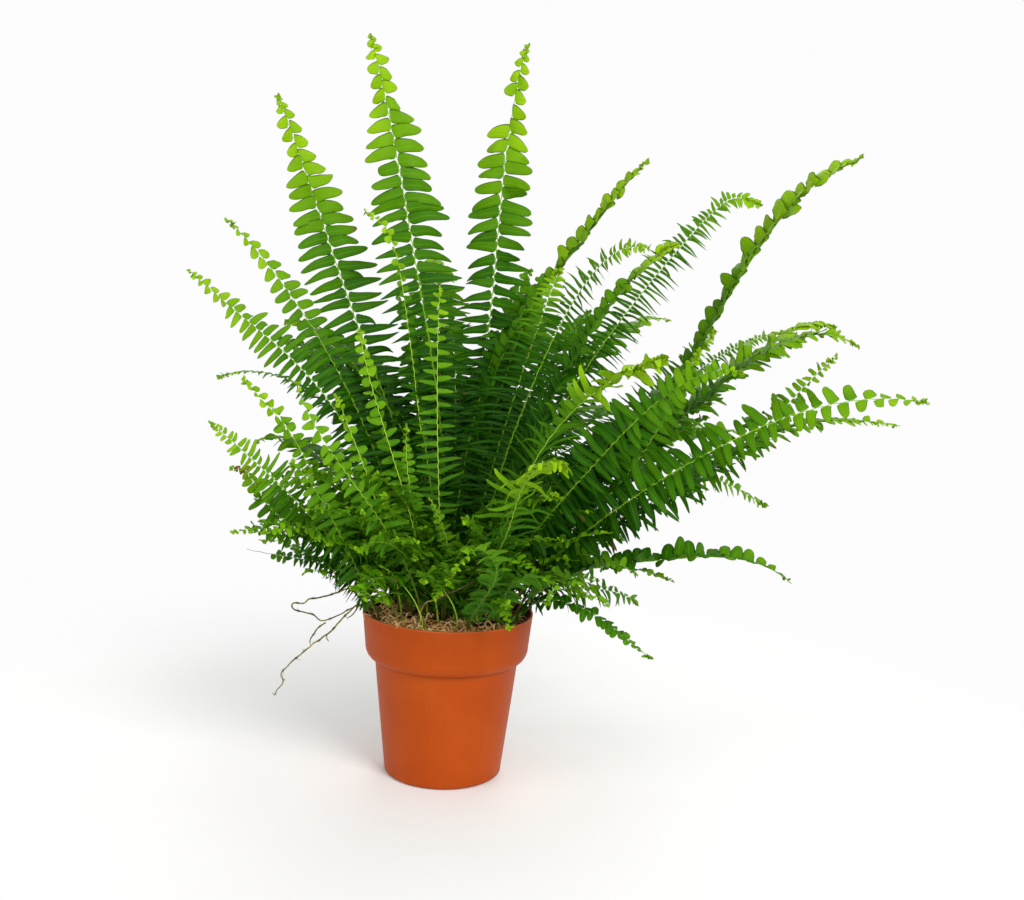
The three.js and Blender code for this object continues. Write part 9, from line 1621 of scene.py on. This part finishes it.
# ------------------------------------------------------------------- stolons
def stolon(name, strands, index):
    r = np.random.default_rng(900 + index)
    clay = Clay()
    for points, k in strands:
        P = catmull(points, 10)
        s = arc_table(P)
        L = s[-1]
        n = max(int(L / 0.8), 8)
        (P,) = along(P, np.linspace(0, L, n))
        s = np.linspace(0, L, n)
        # slight crooks, and swellings at the joints
        T = unit(np.gradient(P, axis=0))
        side = unit(np.cross(T, (0.2, 0.9, 0.4)))
        wob = np.interp(s, np.arange(0, L + 5, 4.0), r.normal(0, 0.20, len(np.arange(0, L + 5, 4.0))))
        P = P + side * (wob * np.sin(np.pi * s / L))[:, None]
        joints = []
        at = r.uniform(4, 9)
        while at < L - 3:
            joints.append(at)
            at += r.uniform(7, 15)
        R = 0.58 * k * spread((0, 1.05), (.5, .92), (.9, .72), (1, .5))(s / L)
        for jt in joints:
            R = R * (1 + 0.42 * np.exp(-((s - jt) / 0.9) ** 2))
        R = R * (1 + 0.06 * np.sin(1.9 * s + index))
        tone = 0.52 + 0.14 * np.sin(s * 0.21 + index) + 0.25 * smooth(0.88, 1.0, s / L)
        for jt in joints:
            tone = tone - 0.25 * np.exp(-((s - jt) / 1.2) ** 2)
        tube(clay, P, R, 8, 0, tone=np.clip(tone, 0, 1), rnd=r.random())
        for jt in joints:  # dry scales and short thorn-like rootlets at the joints
            i = int(jt / L * (n - 1))
            for _ in range(r.integers(2, 5)):
                d = unit(np.cross(T[i], r.normal(0, 1, 3)))
                flake(clay, P[i] + d * R[i] * 0.7, d, unit(T[i] * r.choice([-1, 1]) + d * 0.5), r.uniform(0.9, 2.0),
                      r.uniform(0.15, 0.3), 0, dry=r.uniform(0.3, 1), tone=0.3)
            if r.random() < 0.75:
                d = unit(np.cross(T[i], r.normal(0, 1, 3)) + T[i] * r.uniform(-.4, .4))
                l = r.uniform(1.2, 4.2)
                c = np.array([P[i] + d * l * q + np.array([0, 0, -0.35 * l]) * q * q for q in np.linspace(0, 1, 6)])
                tube(clay, c, np.linspace(0.24, 0.10, 6) * k, 5, 0, tone=0.45, dry=0.3, rnd=r.random())
        for _ in range(int(L * 0.35)):
            i = r.integers(1, n - 1)
            d = unit(np.cross(T[i], r.normal(0, 1, 3)))
            flake(clay, P[i] + d * R[i] * 0.75, d, unit(T[i] * r.choice([-1, 1]) + d * 0.35), r.uniform(0.5, 1.2),
                  r.uniform(0.10, 0.2), 0, dry=r.uniform(0.3, 1), tone=0.3)
    ob = clay.mesh(name.replace("stolon", "runner"), [RUNNER])
    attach(ob, "root")
    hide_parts(name)


# ---------------------------------------------------------------- undergrowth
def small_frond(r, azimuth, length, steep, width, start):
    """The stations of a short frond that leaves the crown at an azimuth."""
    n, step = 12, length / 11
    foot = np.array([-3.0 + start * math.cos(azimuth), 2.5 + start * math.sin(azimuth), 0.0])
    foot[2] = float(soil_z(foot[0], foot[1])) + 0.4
    sway = r.normal(0, 0.10)
    pitch, head, P = steep, azimuth, [foot]
    fall = r.uniform(0.5, 1.25) * (0.6 + 0.4 * steep) / 11
    for k in range(n - 1):
        way = np.array([math.cos(head) * math.cos(pitch), math.sin(head) * math.cos(pitch), math.sin(pitch)])
        P.append(P[-1] + way * step)
        pitch -= fall * (0.7 + 0.09 * k)
        head += sway * 0.35
    P = np.array(P)
    roll = r.normal(0, 0.40)
    rows = []
    for k, p in enumerate(P):
        t = unit(P[min(k + 1, n - 1)] - P[max(k - 1, 0)])
        flat = unit(np.cross(t, (0, 0, 1)))
        b = flat * math.cos(roll) + np.cross(t, flat) * math.sin(roll)
        f = k / (n - 1)
        half = width * float(spread((0, .55), (.3, .9), (.55, 1), (.8, .78), (.94, .42), (1, .12))(f))
        rows.append((*p, *b, half))
    return rows


def undergrowth():
    """Short fronds that fill the middle of the plant, in clumps."""
    clumps = (
        ("undergrowth_front", 34, -1.85, 0.80, (70, 155), (0.80, 1.36), (8, 13), "s", "mature"),
        ("undergrowth_left", 34, -2.60, 0.42, (80, 165), (0.72, 1.30), (9, 14), "s", "mature"),
        ("undergrowth_right", 20, -0.45, 0.50, (80, 165), (0.60, 1.25), (9, 14), "s", "mature"),
        ("undergrowth_back", 16, 1.55, 0.95, (90, 175), (0.85, 1.35), (10, 14), "s", "mature"),
        ("undergrowth_tall", 30, 1.62, 0.44, (180, 300), (1.20, 1.48), (15, 21), "d", "mature"),
        ("undergrowth_side", 14, 0.55, 0.30, (190, 280), (0.85, 1.12), (14, 19), "d", "mature"),
        ("undergrowth_young", 14, -2.05, 0.75, (50, 135), (0.95, 1.40), (6, 9), "s", "young"),
    )
    for c, (name, count, azimuth, wide, length, steep, width, kind, leaf) in enumerate(clumps):
        r = np.random.default_rng(6100 + c)
        clay = Clay()
        for k in range(count):
            a = azimuth + wide * r.uniform(-1.6, 1.6)
            row = (name, 0.0, r.uniform(*width), r.uniform(0.10, 0.24), kind,
                   small_frond(r, a, r.uniform(*length), r.uniform(*steep), r.uniform(*width), r.uniform(2, 24)))
            frond(row, 3000 + 100 * c + k, clay)
        ob = clay.mesh(name, [LEAF[leaf], STALK])
        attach(ob, "root")


# -------------------------------------------------------------- build it all
pot()
soil()
fibres()
crown()
for i, (name, strands) in enumerate(STOLONS):
    stolon(name, strands, i)
for i, row in enumerate(FRONDS):
    frond(row, i)
undergrowth()

# ------------------------------------------------------- floor, light, camera
def floor():
    f = Finish("studio_floor")
    x, y, z = f.apart(f.where)
    d = f.math("SQRT", f.math("ADD", f.math("MULTIPLY", x, x), f.math("MULTIPLY", y, y)))
    p = f.t.nodes.new("ShaderNodeBsdfDiffuse")
    f.put(p.inputs["Color"], f.ramp(f.noise(6, 2, 0.5), (0.3, (0.87, 0.87, 0.868, 1)), (0.7, (0.89, 0.89, 0.888, 1))))
    e = f.t.nodes.new("ShaderNodeBsdfTransparent")
    m = f.t.nodes.new("ShaderNodeMixShader")
    f.put(m.inputs[0], f.step(0.12, 0.62, d))
    f.t.links.new(p.outputs[0], m.inputs[1])
    f.t.links.new(e.outputs[0], m.inputs[2])
    out = f.t.nodes.new("ShaderNodeOutputMaterial")
    f.t.links.new(m.outputs[0], out.inputs["Surface"])
    me = bpy.data.meshes.new("studio_floor")
    bm = bmesh.new()
    bmesh.ops.create_circle(bm, cap_ends=True, radius=2.5, segments=96)
    bm.to_mesh(me)
    bm.free()
    me.materials.append(f.m)
    ob = bpy.data.objects.new("studio_floor", me)
    ob.location.z = -0.0004
    bpy.context.scene.collection.objects.link(ob)


def lamp(name, at, size, power, colour=(1, 1, 1), aim=(0.02, 0.02, 0.25)):
    d = bpy.data.lights.new(name, "AREA")
    d.shape, d.size, d.energy, d.color = "DISK", size, power, colour
    ob = bpy.data.objects.new(name, d)
    ob.location = at
    ob.rotation_euler = (Vector(aim) - Vector(at)).to_track_quat("-Z", "Y").to_euler()
    bpy.context.scene.collection.objects.link(ob)


floor()
lamp("key_light", (1.1, -1.55, 1.55), 1.1, 36.0, (1.0, 0.99, 0.97))
lamp("front_light", (0.15, -2.0, 0.30), 1.2, 10.5, (1.0, 0.995, 0.97))
lamp("side_light", (-1.7, -0.9, 0.8), 1.2, 8.0, (1.0, 0.995, 0.98))
lamp("back_light", (0.2, 1.5, 1.5), 1.2, 14.0)

world = bpy.data.worlds.new("studio")
bpy.context.scene.world = world
world.use_nodes = True
nt = world.node_tree
nt.nodes.clear()
seen, lit = nt.nodes.new("ShaderNodeBackground"), nt.nodes.new("ShaderNodeBackground")
seen.inputs["Color"].default_value, seen.inputs["Strength"].default_value = (1, 1, 1, 1), 0.98
lit.inputs["Color"].default_value, lit.inputs["Strength"].default_value = (1, 1, 1, 1), 0.62
path, mixw, outw = nt.nodes.new("ShaderNodeLightPath"), nt.nodes.new("ShaderNodeMixShader"), nt.nodes.new("ShaderNodeOutputWorld")
nt.links.new(path.outputs["Is Camera Ray"], mixw.inputs[0])
nt.links.new(lit.outputs[0], mixw.inputs[1])
nt.links.new(seen.outputs[0], mixw.inputs[2])
nt.links.new(mixw.outputs[0], outw.inputs["Surface"])

scene = bpy.context.scene
scene.view_settings.view_transform = "Standard"
cam = bpy.data.cameras.new("camera")
cam.lens, cam.sensor_width, cam.sensor_fit = 1148.0 / 1024.0 * 36.0, 36.0, "HORIZONTAL"
cam.clip_start, cam.clip_end = 0.02, 30.0
cob = bpy.data.objects.new("camera", cam)
scene.collection.objects.link(cob)
PITCH, ROLL = 0.110, 0.044
fwd = Vector((0.0, math.cos(PITCH), -math.sin(PITCH)))
right = Vector((1.0, 0.0, 0.0))
up = right.cross(fwd)
r2 = math.cos(ROLL) * right + math.sin(ROLL) * up
u2 = -math.sin(ROLL) * right + math.cos(ROLL) * up
cob.matrix_world = Matrix((
    (r2.x, u2.x, -fwd.x, 0.03993),
    (r2.y, u2.y, -fwd.y, -0.792),
    (r2.z, u2.z, -fwd.z, 0.3177),
    (0, 0, 0, 1)))
scene.camera = cob
